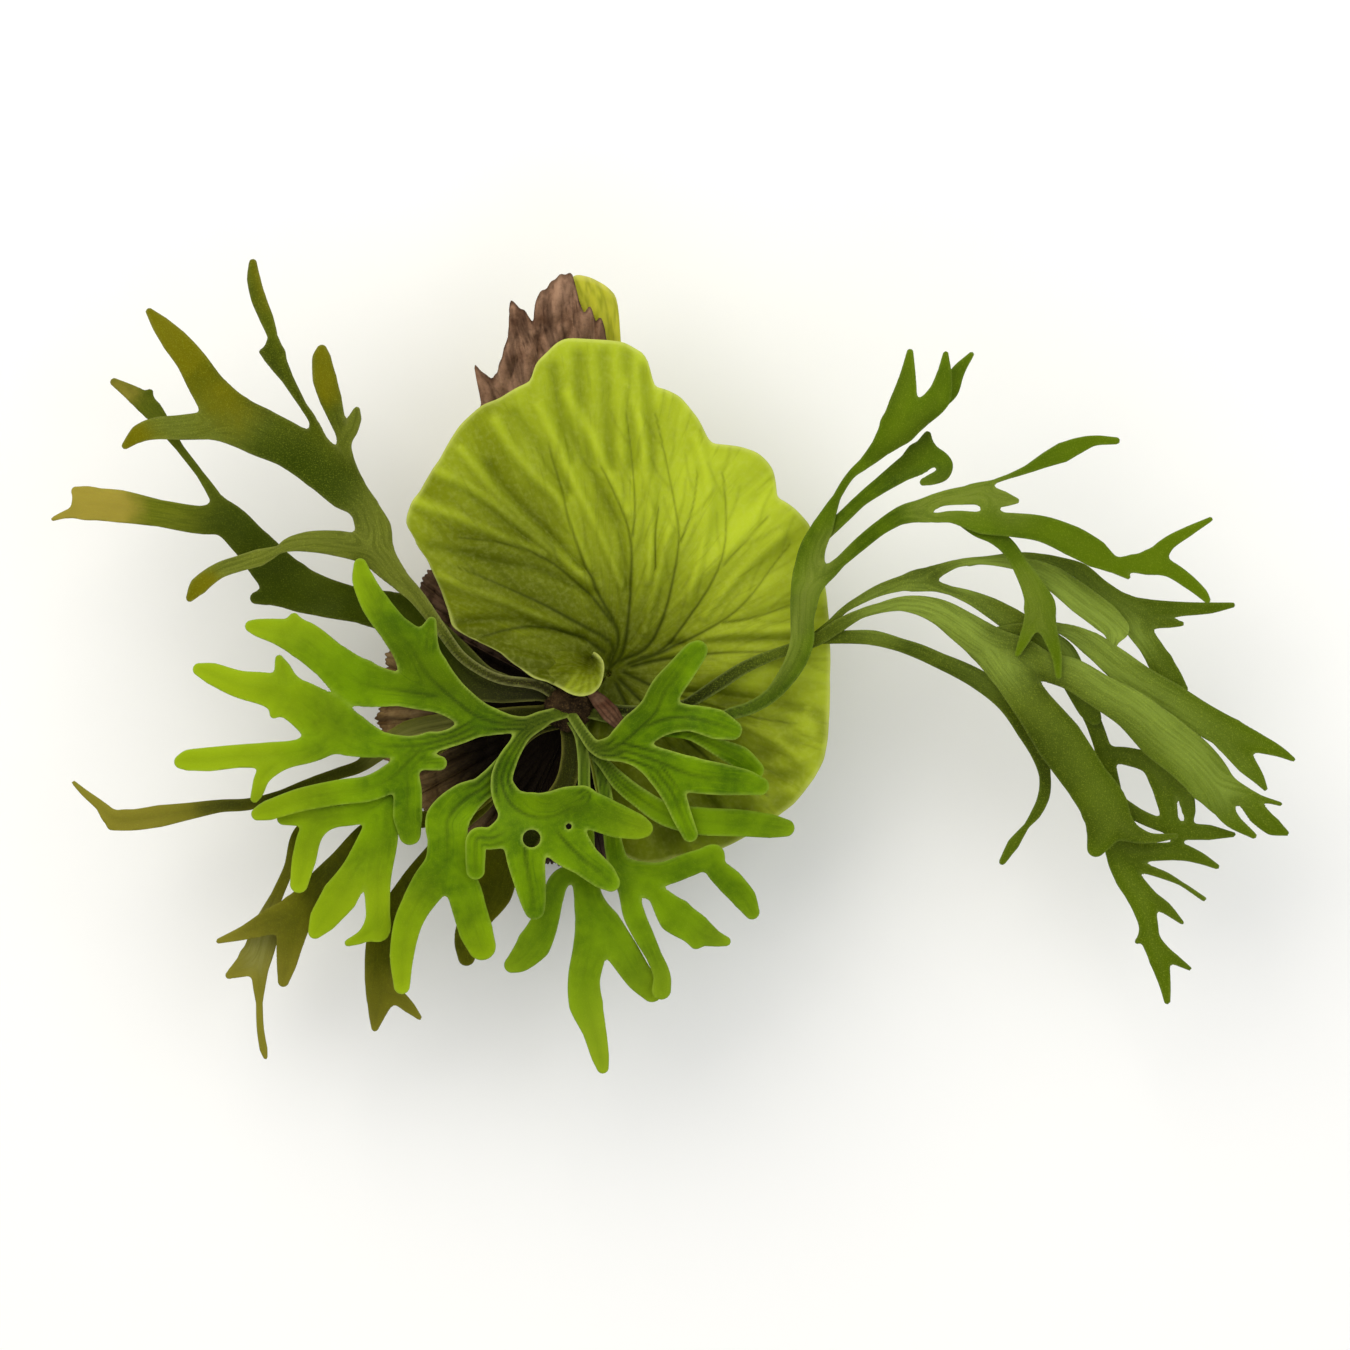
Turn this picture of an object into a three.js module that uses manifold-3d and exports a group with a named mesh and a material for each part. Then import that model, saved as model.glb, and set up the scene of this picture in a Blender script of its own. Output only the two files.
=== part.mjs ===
// Staghorn fern, lying on the flat back of its root ball with its crown and fronds facing up.
// Millimetres. +Z is the way the crown faces, +Y runs up the tall shield fronds, +X to the viewer's
// right. The origin is on the flat back of the root ball, under the foot of the shields.
// Every frond is a thin waved blade: an outline in plan, lifted to a height that follows its strips.
import * as THREE from "three";
import { mergeVertices } from "three/addons/utils/BufferGeometryUtils.js";
import Module from "manifold-3d";

const wasm = await Module();
wasm.setup();

// Driving dimensions
const BLADE_THICKNESS = 1.3; // a fertile frond's blade
const STALK_THICKNESS = 2.6; // its stalk, beside the crown
const STALK_FROM = 20; // distance from the crown's axis where the stalk starts to thin
const STALK_TO = 90; // and where it has become blade
const SHIELD_THICKNESS = 1.2;
const BROWN_THICKNESS = 1.1;
const SEAT_GAP = 0.3; // between a frond's foot and the crown that carries it

// The crown: the short upright rhizome that every frond grows from
const CROWN = { x: -16, y: -4, radius: 12, bottom: 58.3, top: 94 };
const CROWN_SIDES = 28;

// The root ball: a dome of roots and moss with a flat back
const BALL = { x: -14, y: -14, halfWidth: 72, halfHeight: 66, depth: 58, flatRadius: 15 };
const BALL_SIDES = 30;
const BROAD_LUMPS = 0.035; // share of the radius that its five broad lumps add
const SMALL_LUMPS = 0.025; // and that its nine smaller ones add

const GRID_STEP = 2; // spacing of the lattice on which an outline is followed
const OUTLINE_TOLERANCE = 0.4; // how far a straightened outline may leave the curve
const LONGEST_EDGE = 15; // longest outline edge, so that an arched blade stays curved
const FORK_ROUNDING = 3; // how softly two strips melt together where a frond forks
const BLEND_REACH = 3; // how far the height of one strip carries into the next
const STEEPEST = 2.2; // most that a steep blade is thickened upwards
const LINKS_PER_STRETCH = 3; // straight links between two stations of a strip
const MERGE_DISTANCE = 1e-4; // corners closer than this are one
const MOST_ROUNDS = 40; // limit on the rounds that even out a blade's triangles

// Colours
const COLOUR = {
  bright: "#7a9a1c",
  mid: "#5a7d16",
  dark: "#4a5f12",
  olive: "#66641a",
  lime: "#a3b132",
  yellowGreen: "#a9a62a",
  brown: "#7d5f4a",
  darkBrown: "#4a3426",
  crown: "#3a2d1e",
  roots: "#4b3a2a",
};

// Fertile fronds. A frond is one or more sheets, each a set of strips that melt together where they
// meet, and each strip is a row of stations [x, y, z, half width]. holes are [x, y, radius].

// The many-forked bright frond in front: one foot, a left arm and a lower arm
const FRONT_FROND = {
  sheets: [
    {
      strips: [
        // left arm, with its upper finger
        [[-18, -6, 88, 3.2], [-28, -8.8, 91.5, 3.5], [-37, -12, 95.5, 3.8], [-45, -12, 98.5, 4.5],
          [-55, -10.5, 102, 7], [-62, -8, 104, 8], [-75, 2, 108, 9], [-87, 14, 112, 12],
          [-94, 26, 115, 10], [-103, 36, 117, 7.5], [-112, 48, 118, 7], [-118, 60, 118, 5.5],
          [-119.5, 67.5, 117, 3.2]],
        [[-88, 20, 113, 8], [-86, 32, 116, 5], [-84, 39, 117, 2.5]],
        // upper middle finger
        [[-76, 1, 108.5, 8], [-100, 5, 112, 8], [-120, 9, 115, 12], [-135, 20, 117, 9.5],
          [-148, 30, 118, 9.5], [-160, 34, 118, 6.5], [-170, 36, 116, 4.5], [-174, 36.8, 115, 3]],
        [[-149, 32, 118, 5], [-152.5, 41, 118, 2.5]],
        // lower middle finger and its side tips
        [[-58, -11, 103, 6], [-75, -19, 107, 4.5], [-95, -23, 109, 5], [-110, -22, 111, 6.5],
          [-125, -17, 113, 11], [-137, -10, 115, 13], [-150, -1, 116.5, 11], [-165, 5, 117, 8.5],
          [-180, 8, 116.5, 6.8], [-193, 13, 115, 5.5], [-200, 15.3, 113, 3.2]],
        [[-153, 3, 117, 6], [-158, 15, 117, 4.2], [-160, 20.5, 116.5, 2]],
        [[-158, 0, 117, 5], [-162.5, -7, 117, 2.2]],
        // lowest finger of the left arm
        [[-130, -14, 114, 9], [-138, -21, 115, 7.5], [-150, -26, 116, 6.5], [-165, -27.5, 116, 6.5],
          [-180, -28, 115.5, 5.8], [-195, -29.5, 114, 6], [-205, -30, 112, 5.3],
          [-209, -30.8, 111, 3.5]],
        [[-158, -29, 116, 5], [-168, -38, 115, 4], [-171, -46, 114, 3], [-172.5, -49, 113.5, 2]],
        // lower blade of the left arm
        [[-85, -21, 108, 4.5], [-95, -30, 108, 6], [-103, -38, 108, 7], [-115, -44, 108, 6.5],
          [-130, -46, 109, 6.3], [-150, -50, 108, 5.8], [-165, -55, 106, 5], [-171, -57, 105, 3.2]],
        [[-93, -30, 108, 5], [-86, -31, 108, 4], [-80, -31.5, 107.5, 3.6]],
        [[-97, -35, 108, 6], [-96, -45, 107.5, 7], [-96, -58, 106.5, 7.3], [-95, -67, 105, 5.5]],
        // lower arm, which spreads into a broad blade with four fingers
        [[-30, -11, 92, 3.6], [-38, -17, 96, 3.8], [-42, -23, 99, 4], [-46.5, -31, 104, 5],
          [-49, -41, 109, 5.5], [-44, -52, 114, 8], [-34, -58, 118, 12], [-24, -58, 119, 12.5],
          [-14, -54, 118, 11], [-5, -55, 117.5, 9.5], [8, -60, 117, 8.5], [18, -63, 116, 6.5],
          [22, -64, 115.5, 4.5]],
        [[-14, -54, 118, 8], [-8, -48, 117, 5]],
        [[-36, -62, 119, 13], [-37, -76, 120, 10], [-35, -90, 118.5, 8], [-33.3, -100, 116, 6.3],
          [-32.6, -104.5, 115, 5]],
        [[-24, -62, 119, 12], [-16, -72, 119.5, 11], [-8, -79.5, 119, 8], [1, -87, 117, 6.8],
          [5.5, -91, 116, 4.6]],
        [[-44, -64, 119, 8], [-54, -69, 119, 5.5], [-61, -69, 118.5, 5.2], [-62, -78, 118, 5],
          [-62, -85, 116, 4.6]],
      ],
      holes: [[-34, -69, 4.5], [-15.5, -63, 1.6]],
    },
    {
      // two long lobes of the lower arm, a little behind its blade
      strips: [
        [[-41, -21.5, 97, 3.2], [-47, -31, 102.3, 4.6], [-55, -41, 106, 6], [-60, -45, 107, 6],
          [-68, -50, 109, 8.5], [-76, -60, 111, 11], [-76, -70, 112, 10], [-77, -82, 112, 10.5],
          [-85, -92, 111, 9], [-92, -103, 110, 7.5], [-96, -112, 108, 7], [-99, -128, 105, 6],
          [-99, -143, 101, 4]],
        [[-74, -84, 112, 9], [-68, -95, 111, 8.7], [-65, -105, 109.5, 8.5], [-62, -115, 108, 8.5],
          [-59, -123, 106, 7]],
      ],
    },
    {
      // lobes carried behind the left arm
      strips: [
        [[-101, -42, 107, 6], [-112, -53, 104.5, 6.5], [-130, -58, 104, 5.3], [-148, -58.5, 103, 4.6],
          [-158, -59, 102, 3.5]],
        [[-106, -48, 106, 6], [-108, -70, 103, 7], [-111, -90, 101, 6.5], [-111, -108, 98, 6],
          [-111, -115, 97, 6]],
        [[-111, -112, 98, 5.5], [-119, -118.5, 96, 3.2], [-126, -121.5, 95, 1.8]],
        [[-110, -60, 104, 6], [-122, -85, 102, 7], [-130, -98, 100, 9], [-138, -109, 98, 7],
          [-142.5, -116, 97, 3.5]],
        [[-135, -58, 104, 5], [-144, -66, 103, 6], [-148, -80, 101, 6], [-150.5, -92, 99, 4.5]],
      ],
    },
  ],
  colour: COLOUR.bright,
};

// The bright frond to the right of it: three fingers, one that hangs and a shaded one behind
const RIGHT_BRIGHT_FROND = {
  sheets: [
    {
      strips: [
        [[-14, -8, 88, 2.6], [-8, -17, 92, 2.8], [-2, -24, 97, 3.5], [5, -25, 101, 5],
          [13, -20, 104, 8], [20, -14, 107, 9], [28, -6, 110, 9], [33, 5, 112, 8], [40, 14, 114, 7],
          [47, 23, 114, 6], [49, 25, 113.5, 4.8]],
        [[18, -16, 106, 8], [32, -9.5, 109, 8], [45, -9, 111, 6.5], [58, -12, 112, 7.5], [66, -15, 111, 5]],
        [[3, -24, 100, 4.5], [15, -26, 104, 6], [30, -31, 107, 7], [45, -37, 110, 9],
          [60, -39.5, 111, 8], [72, -41, 110, 6.5], [80, -43, 108.5, 4.5]],
        [[24, -30, 106, 6], [36, -46, 107, 6], [41, -58, 106, 5], [45, -67, 104, 4]],
      ],
    },
    {
      strips: [
        [[30, -14, 106, 4], [45, -16, 105, 4], [52, -20, 104, 3.5], [60, -24, 103.5, 4.5],
          [70, -29, 102.5, 6], [77, -35, 101, 5]],
      ],
    },
  ],
  colour: COLOUR.bright,
};

// Upper left frond: a light twisted strip in front of a dark antlered blade
const UPPER_LEFT_FROND = {
  sheets: [
    {
      strips: [
        [[-18, -1, 86, 3], [-30, 7, 90, 2.6], [-50, 10.5, 96, 2.4], [-60, 15, 98, 2.4],
          [-70, 22.5, 100, 2.6], [-80, 36, 102.5, 3], [-92, 52, 105, 4], [-100, 60, 107, 5],
          [-111, 74, 110, 8.5], [-113, 85, 112, 9], [-117, 95, 114, 7], [-121, 105, 117, 3.5],
          [-125, 120, 121, 2.5], [-129, 134, 124, 3], [-134, 150, 128, 5.5], [-137, 160, 128, 6],
          [-138.5, 170, 127, 4.7], [-138.5, 174.5, 125, 2.6]],
        [[-127.5, 128, 123, 2.4], [-124, 134, 126, 3.3], [-122, 140, 129, 3.3], [-121, 144.5, 132, 1.6]],
        [[-112, 74, 110, 7], [-130, 78, 114, 6.5], [-145, 79, 118, 5.2], [-155, 77.5, 120, 3.5],
          [-160, 75, 121, 2], [-170, 71, 122, 4.3], [-180, 68, 121, 4], [-190, 64.5, 119, 4],
          [-200, 57, 116, 4.5], [-204.5, 51, 113, 2]],
        [[-118, 97, 114.5, 6], [-127, 105, 116, 10], [-139, 117, 117, 12], [-155, 127, 116, 11],
          [-170, 134, 115, 12], [-183, 141, 114, 12], [-195, 155, 113, 9], [-204.5, 170, 112, 7.3],
          [-212, 179, 111, 6.5], [-219, 187, 109, 4.5], [-225, 194, 107, 1.8]],
        [[-180, 138, 114, 10], [-195, 137, 114, 7], [-210, 136, 114, 6.2], [-222, 135.5, 113, 5.5],
          [-230, 133, 111, 4.5], [-237, 127, 109, 1.8]],
        [[-139, 122, 117, 6], [-143, 139, 119, 2], [-148, 147, 121, 1.8], [-155.5, 160, 123, 3],
          [-162, 172, 124, 5.5], [-163, 181, 125, 2.5], [-166, 190, 125, 3.5], [-170, 200, 124, 3.8],
          [-172.5, 210, 122, 3.4], [-173, 218, 120, 2]],
        [[-162, 172, 124, 4], [-168.5, 173.5, 123, 1.2]],
      ],
    },
  ],
  colour: COLOUR.mid,
};

// Dark frond below it, with a broad channelled stalk
const DARK_LEFT_FROND = {
  sheets: [
    {
      strips: [
        [[-18, 1, 80.5, 4], [-30, 3.5, 82.3, 4], [-40, 4.5, 83.3, 5.5], [-50, 6, 84.7, 7.5],
          [-60, 9, 86, 9], [-75, 22, 89, 10], [-100, 42, 93, 11], [-120, 47, 96, 8.5],
          [-140, 52, 98, 10], [-155, 58, 100, 12], [-175, 79, 102.5, 9], [-187, 90, 103, 8.5],
          [-200, 90, 104, 7], [-220, 93.3, 104, 6.7], [-240, 96.8, 103.5, 8.2], [-256, 98.2, 102, 8]],
        [[-155, 58, 100, 10], [-165, 52.5, 99, 5], [-172, 51, 98, 3]],
        [[-186, 90, 103, 7], [-192, 101, 102.5, 3], [-200, 113, 102, 1.9], [-210, 126, 101, 2],
          [-215, 133, 101, 3], [-224, 145, 100, 5], [-232, 152, 99, 4.5], [-243, 159, 97, 2]],
        [[-228, 148, 99.5, 3], [-225, 154, 98.5, 1.5]],
        [[-255, 101, 102, 5], [-262, 104.5, 101, 2.2]],
        [[-256, 95, 102, 4], [-268, 92.5, 100, 1.8], [-273.5, 90.5, 99, 1]],
      ],
    },
  ],
  colour: COLOUR.dark,
};

// Mid-green fronds that hang below the front frond
const LOWER_CENTRE_FROND = {
  sheets: [
    {
      strips: [
        [[-17, -7, 83, 2.4], [-14, -11, 84.5, 2.5], [-10.5, -17, 87, 2.6], [-8.2, -30, 92, 3],
          [-8, -42, 95, 3], [-7, -65, 100, 4], [-8, -86, 102, 6], [-6, -98, 103, 7],
          [-4, -112, 103, 8.5], [-5, -124, 102, 8.5], [-8, -140, 100.5, 8], [-7, -152, 99, 8.5],
          [-3, -165, 96, 6], [0, -178, 93, 4.5], [1.3, -184, 91, 3]],
        [[-4, -104, 103, 7], [2, -112, 102.5, 8.5], [12, -127, 100, 8], [20, -139, 97, 7],
          [26, -146, 94, 5.2]],
        [[-10, -84, 101, 4], [-20, -90, 102, 5], [-24, -100, 103, 5.5], [-28, -112, 102, 7],
          [-33, -122, 101, 8.5], [-40, -130, 98, 6], [-44, -132.5, 97, 4]],
      ],
    },
  ],
  colour: COLOUR.mid,
};

const LOWER_RIGHT_FROND = {
  sheets: [
    {
      strips: [
        [[-12, -9, 76.5, 2.5], [-6, -20, 80, 2.6], [-1, -30, 84, 3], [4, -55, 92, 3.5], [8, -78, 98, 5],
          [14, -95, 102, 5], [17, -107, 103.5, 5.5], [22, -118, 103, 5], [27, -128, 102, 4],
          [31, -138, 100.5, 4.3], [30.7, -145, 99, 4.8]],
        [[14, -88, 101, 6], [28, -97, 103, 4.5], [38, -108, 104, 9], [48, -114.5, 103, 7.5],
          [57, -119, 101, 4.2], [63, -120.7, 99, 2.4]],
        [[46, -113, 103, 6], [48, -121.5, 101.5, 3]],
        [[10, -84, 100, 5], [30, -87, 104, 6], [45, -82, 105, 6], [57, -77.5, 105, 5]],
        [[56, -78, 105, 5], [58, -84, 104, 5.5], [65, -91, 102, 6.5], [72, -99, 99, 6],
          [76, -106, 97, 3.8]],
      ],
    },
  ],
  colour: COLOUR.mid,
};

const RIGHT_LOW_FROND = {
  sheets: [
    {
      strips: [
        [[-12, -6, 79.8, 2.6], [-9, -14, 82, 2.6], [-5, -24, 86, 2.6], [2, -32, 90.5, 3],
          [10, -41, 95, 4.5], [20, -49, 98, 5], [33, -57, 99.5, 6], [50, -60.5, 100, 7],
          [70, -61.5, 99.5, 6.8], [85, -63, 98, 6], [93, -64, 97, 4.3]],
      ],
    },
  ],
  colour: COLOUR.mid,
};

// Old olive fronds that hang behind the front frond
const OLD_FRONDS = {
  old_side_frond: [
    [[-20, -5, 77, 3], [-50, -8, 82, 4], [-74, -12, 87, 6], [-95, -17, 90, 7], [-110, -25, 92, 5],
      [-120, -33, 93.5, 3.2], [-130, -36.5, 94, 3], [-145, -41, 95, 2], [-160, -47, 96, 1.8],
      [-175, -52, 97, 3], [-190, -53, 98, 3.2], [-205, -55.5, 98.5, 4.2], [-220, -58, 98.5, 5.5],
      [-235, -60, 97, 5.3], [-244, -59, 95.5, 4.5], [-250, -53, 94, 2.6], [-258, -46.5, 92, 1.8],
      [-263.5, -41.4, 90, 1]],
    [[-238, -60, 97, 4], [-244.5, -63.5, 96, 1.4]],
  ],
  old_low_frond: [
    [[-22, -9, 73.7, 2.8], [-31, -12.5, 76, 2.8], [-41, -22, 79, 3], [-47, -34, 81.5, 3.2],
      [-56, -47, 83.5, 3.6], [-72, -57, 85, 4], [-90, -60, 86, 4.2], [-105, -60, 87, 4.5],
      [-117, -66, 88, 4.6], [-130, -80, 89, 5], [-142, -93, 90, 6], [-152, -106, 90, 9],
      [-165, -111, 89, 6.5], [-178, -116.5, 88, 3.6], [-191, -120.7, 86, 1.3]],
    [[-151, -107, 90, 8], [-155, -120, 88.5, 7], [-157, -132, 86, 5], [-158.7, -141, 84, 2.8]],
  ],
  old_trailing_frond: [
    [[-22, -6, 71, 2.4], [-32, -8, 73, 2.5], [-42, -10.5, 74.2, 2.6], [-60, -14, 75, 3], [-78, -22, 75.5, 3],
      [-95, -35, 77, 3], [-112, -46, 78, 3], [-130, -54, 79, 3], [-151, -66, 80.5, 2.6],
      [-156, -84, 81, 2.6], [-162, -98, 81, 3], [-168, -112, 80.5, 5], [-169, -120, 80, 7],
      [-174, -130, 79, 7.5], [-186, -138, 76, 2]],
    [[-170, -122, 80, 6], [-171, -142, 78, 3.4], [-171, -152, 76.5, 1.7], [-170.5, -165, 74, 1.8],
      [-169, -175, 72, 2], [-168, -179.5, 71, 1]],
  ],
  old_forked_frond: [
    [[-21, -12, 70, 2.6], [-32, -15, 71, 3], [-42, -24, 72.5, 3], [-48, -38, 74, 3.2],
      [-58, -52, 75.5, 3.6], [-72, -64, 76.5, 4], [-85, -78, 77.5, 4.4], [-98, -95, 79, 5],
      [-110, -118, 80, 6.5], [-111, -140, 78, 7], [-110.5, -150, 76.5, 6.5], [-112, -158, 75, 4],
      [-113, -164.5, 73.5, 1.8]],
    [[-110, -147, 77, 6], [-102, -149, 76, 4], [-96, -154, 74.5, 3], [-90.7, -159.4, 73, 1.2]],
  ],
  old_blunt_frond: [
    [[-18, -11, 77, 2.6], [-15.5, -20, 79, 4], [-15, -32, 81, 5], [-18, -43, 82, 5.2],
      [-27, -56, 83, 6], [-38, -68, 84, 8], [-50, -82, 84.5, 10.5], [-54, -96, 85, 10],
      [-62, -108, 85, 8], [-68, -120, 84, 5], [-67, -129, 82, 4.3]],
  ],
};

// The tall frond on the right: one pale stalk that fans into three arching arms
const TALL_RIGHT_FROND = {
  sheets: [
    {
      strips: [
        [[-8, -6, 83.5, 2.6], [5, -9, 86, 2.8], [22, -13, 89, 3], [42, -14, 92, 3], [56, -11, 94, 3],
          [65, -7, 96, 3], [75, -4, 98, 3.2], [85, 2, 100, 3.5], [92, 10, 102, 4.5], [98, 20, 105, 5.5],
          [101, 30, 108, 6], [101, 40, 111, 5.8], [102, 50, 115, 7], [104, 62, 119, 8],
          [106, 75, 125, 6.5], [111, 86, 130, 5.3], [118, 101, 135, 2], [125, 112, 139, 2],
          [132, 118, 142, 3], [140, 126, 145, 5], [148, 136, 147, 9], [151, 148, 148, 6.8],
          [153, 160, 147, 4.2], [154.3, 173, 145, 1.6]],
        [[150, 136, 147, 8], [159, 142, 147.5, 6.5], [168, 150, 148, 6.3], [171, 160, 147, 4.2],
          [172, 172, 145, 1.4]],
        [[103, 57, 117.5, 6], [112, 62, 121, 4], [120, 69, 126, 2.8], [130, 78, 132, 3.5],
          [140, 86, 137, 3.7], [150, 92, 142, 4.5], [160, 96, 146, 4], [170, 100, 149, 3.6],
          [180, 101.5, 151, 4.5], [190, 102, 151, 5.3], [200, 100, 150, 4], [207, 99, 149, 1.5]],
        [[193, 99, 151, 4], [194.5, 93, 151, 4], [196, 89, 151, 4]],
        [[186, 104, 151, 3], [196, 108.5, 151, 1.1], [203, 111, 150.5, 1.2], [212, 114.5, 150, 2],
          [222, 119.5, 149, 3.8], [230, 123, 147, 5], [238, 126.5, 145, 4], [246, 129, 142, 2.6],
          [257, 129, 139, 1.8]],
        [[154, 92.5, 144, 4], [165, 90.5, 147, 2.2], [175, 91, 149, 3], [190, 88, 151, 5.5],
          [205, 87, 151, 6], [220, 85, 150, 6.5], [235, 79, 147, 7.5], [246, 73, 144, 7],
          [256, 66, 140, 3], [263, 61, 137, 1]],
        [[248, 73, 143, 3], [256, 69, 141, 2], [265, 68, 139, 4.5], [274, 69, 137, 5.8],
          [283, 78, 136, 3.5], [293, 84, 135, 2.6], [304, 90, 133, 1.2]],
        [[274, 68.5, 137, 5.5], [284, 65, 136, 4], [293, 59, 134, 3.5], [300, 53, 132, 2.6],
          [302.5, 49.8, 131, 1.6]],
      ],
    },
    {
      strips: [
        [[108, 80, 127.5, 4], [120, 90, 131, 3.2], [130, 99.5, 134, 3.2], [140, 107, 137, 4.2],
          [150, 114, 139, 5.5], [160, 121, 140, 7.3], [163, 132, 140, 1.8]],
        [[158, 121, 140, 6], [166, 121.5, 140, 4.5], [171.5, 117, 141, 4.2], [170.5, 112.5, 142, 3.6],
          [165.5, 109.8, 143, 2.8], [160.8, 108.3, 143, 1.7]],
      ],
    },
    {
      strips: [
        [[151, 136, 146.5, 5], [160, 142, 143.5, 5], [167, 148, 141.5, 5], [174, 154, 140, 4.5],
          [178, 163, 139, 3.5], [185, 172, 136, 1.3]],
      ],
    },
    {
      strips: [
        [[180, 89.5, 149, 3], [188, 84.5, 148.5, 3.5], [196, 81.5, 147.5, 4], [203, 76, 146, 4],
          [209, 67, 143, 4], [216, 55, 140, 6], [219, 46, 137, 7.5], [214, 36, 133, 3.6],
          [209.5, 26, 130, 2], [208, 22.8, 129, 1.3]],
        [[219, 46, 137, 7], [224, 33, 134, 4], [227.5, 22, 132.5, 2.6], [228.5, 12, 131.5, 1.5]],
      ],
    },
  ],
  colour: COLOUR.mid,
};

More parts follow.
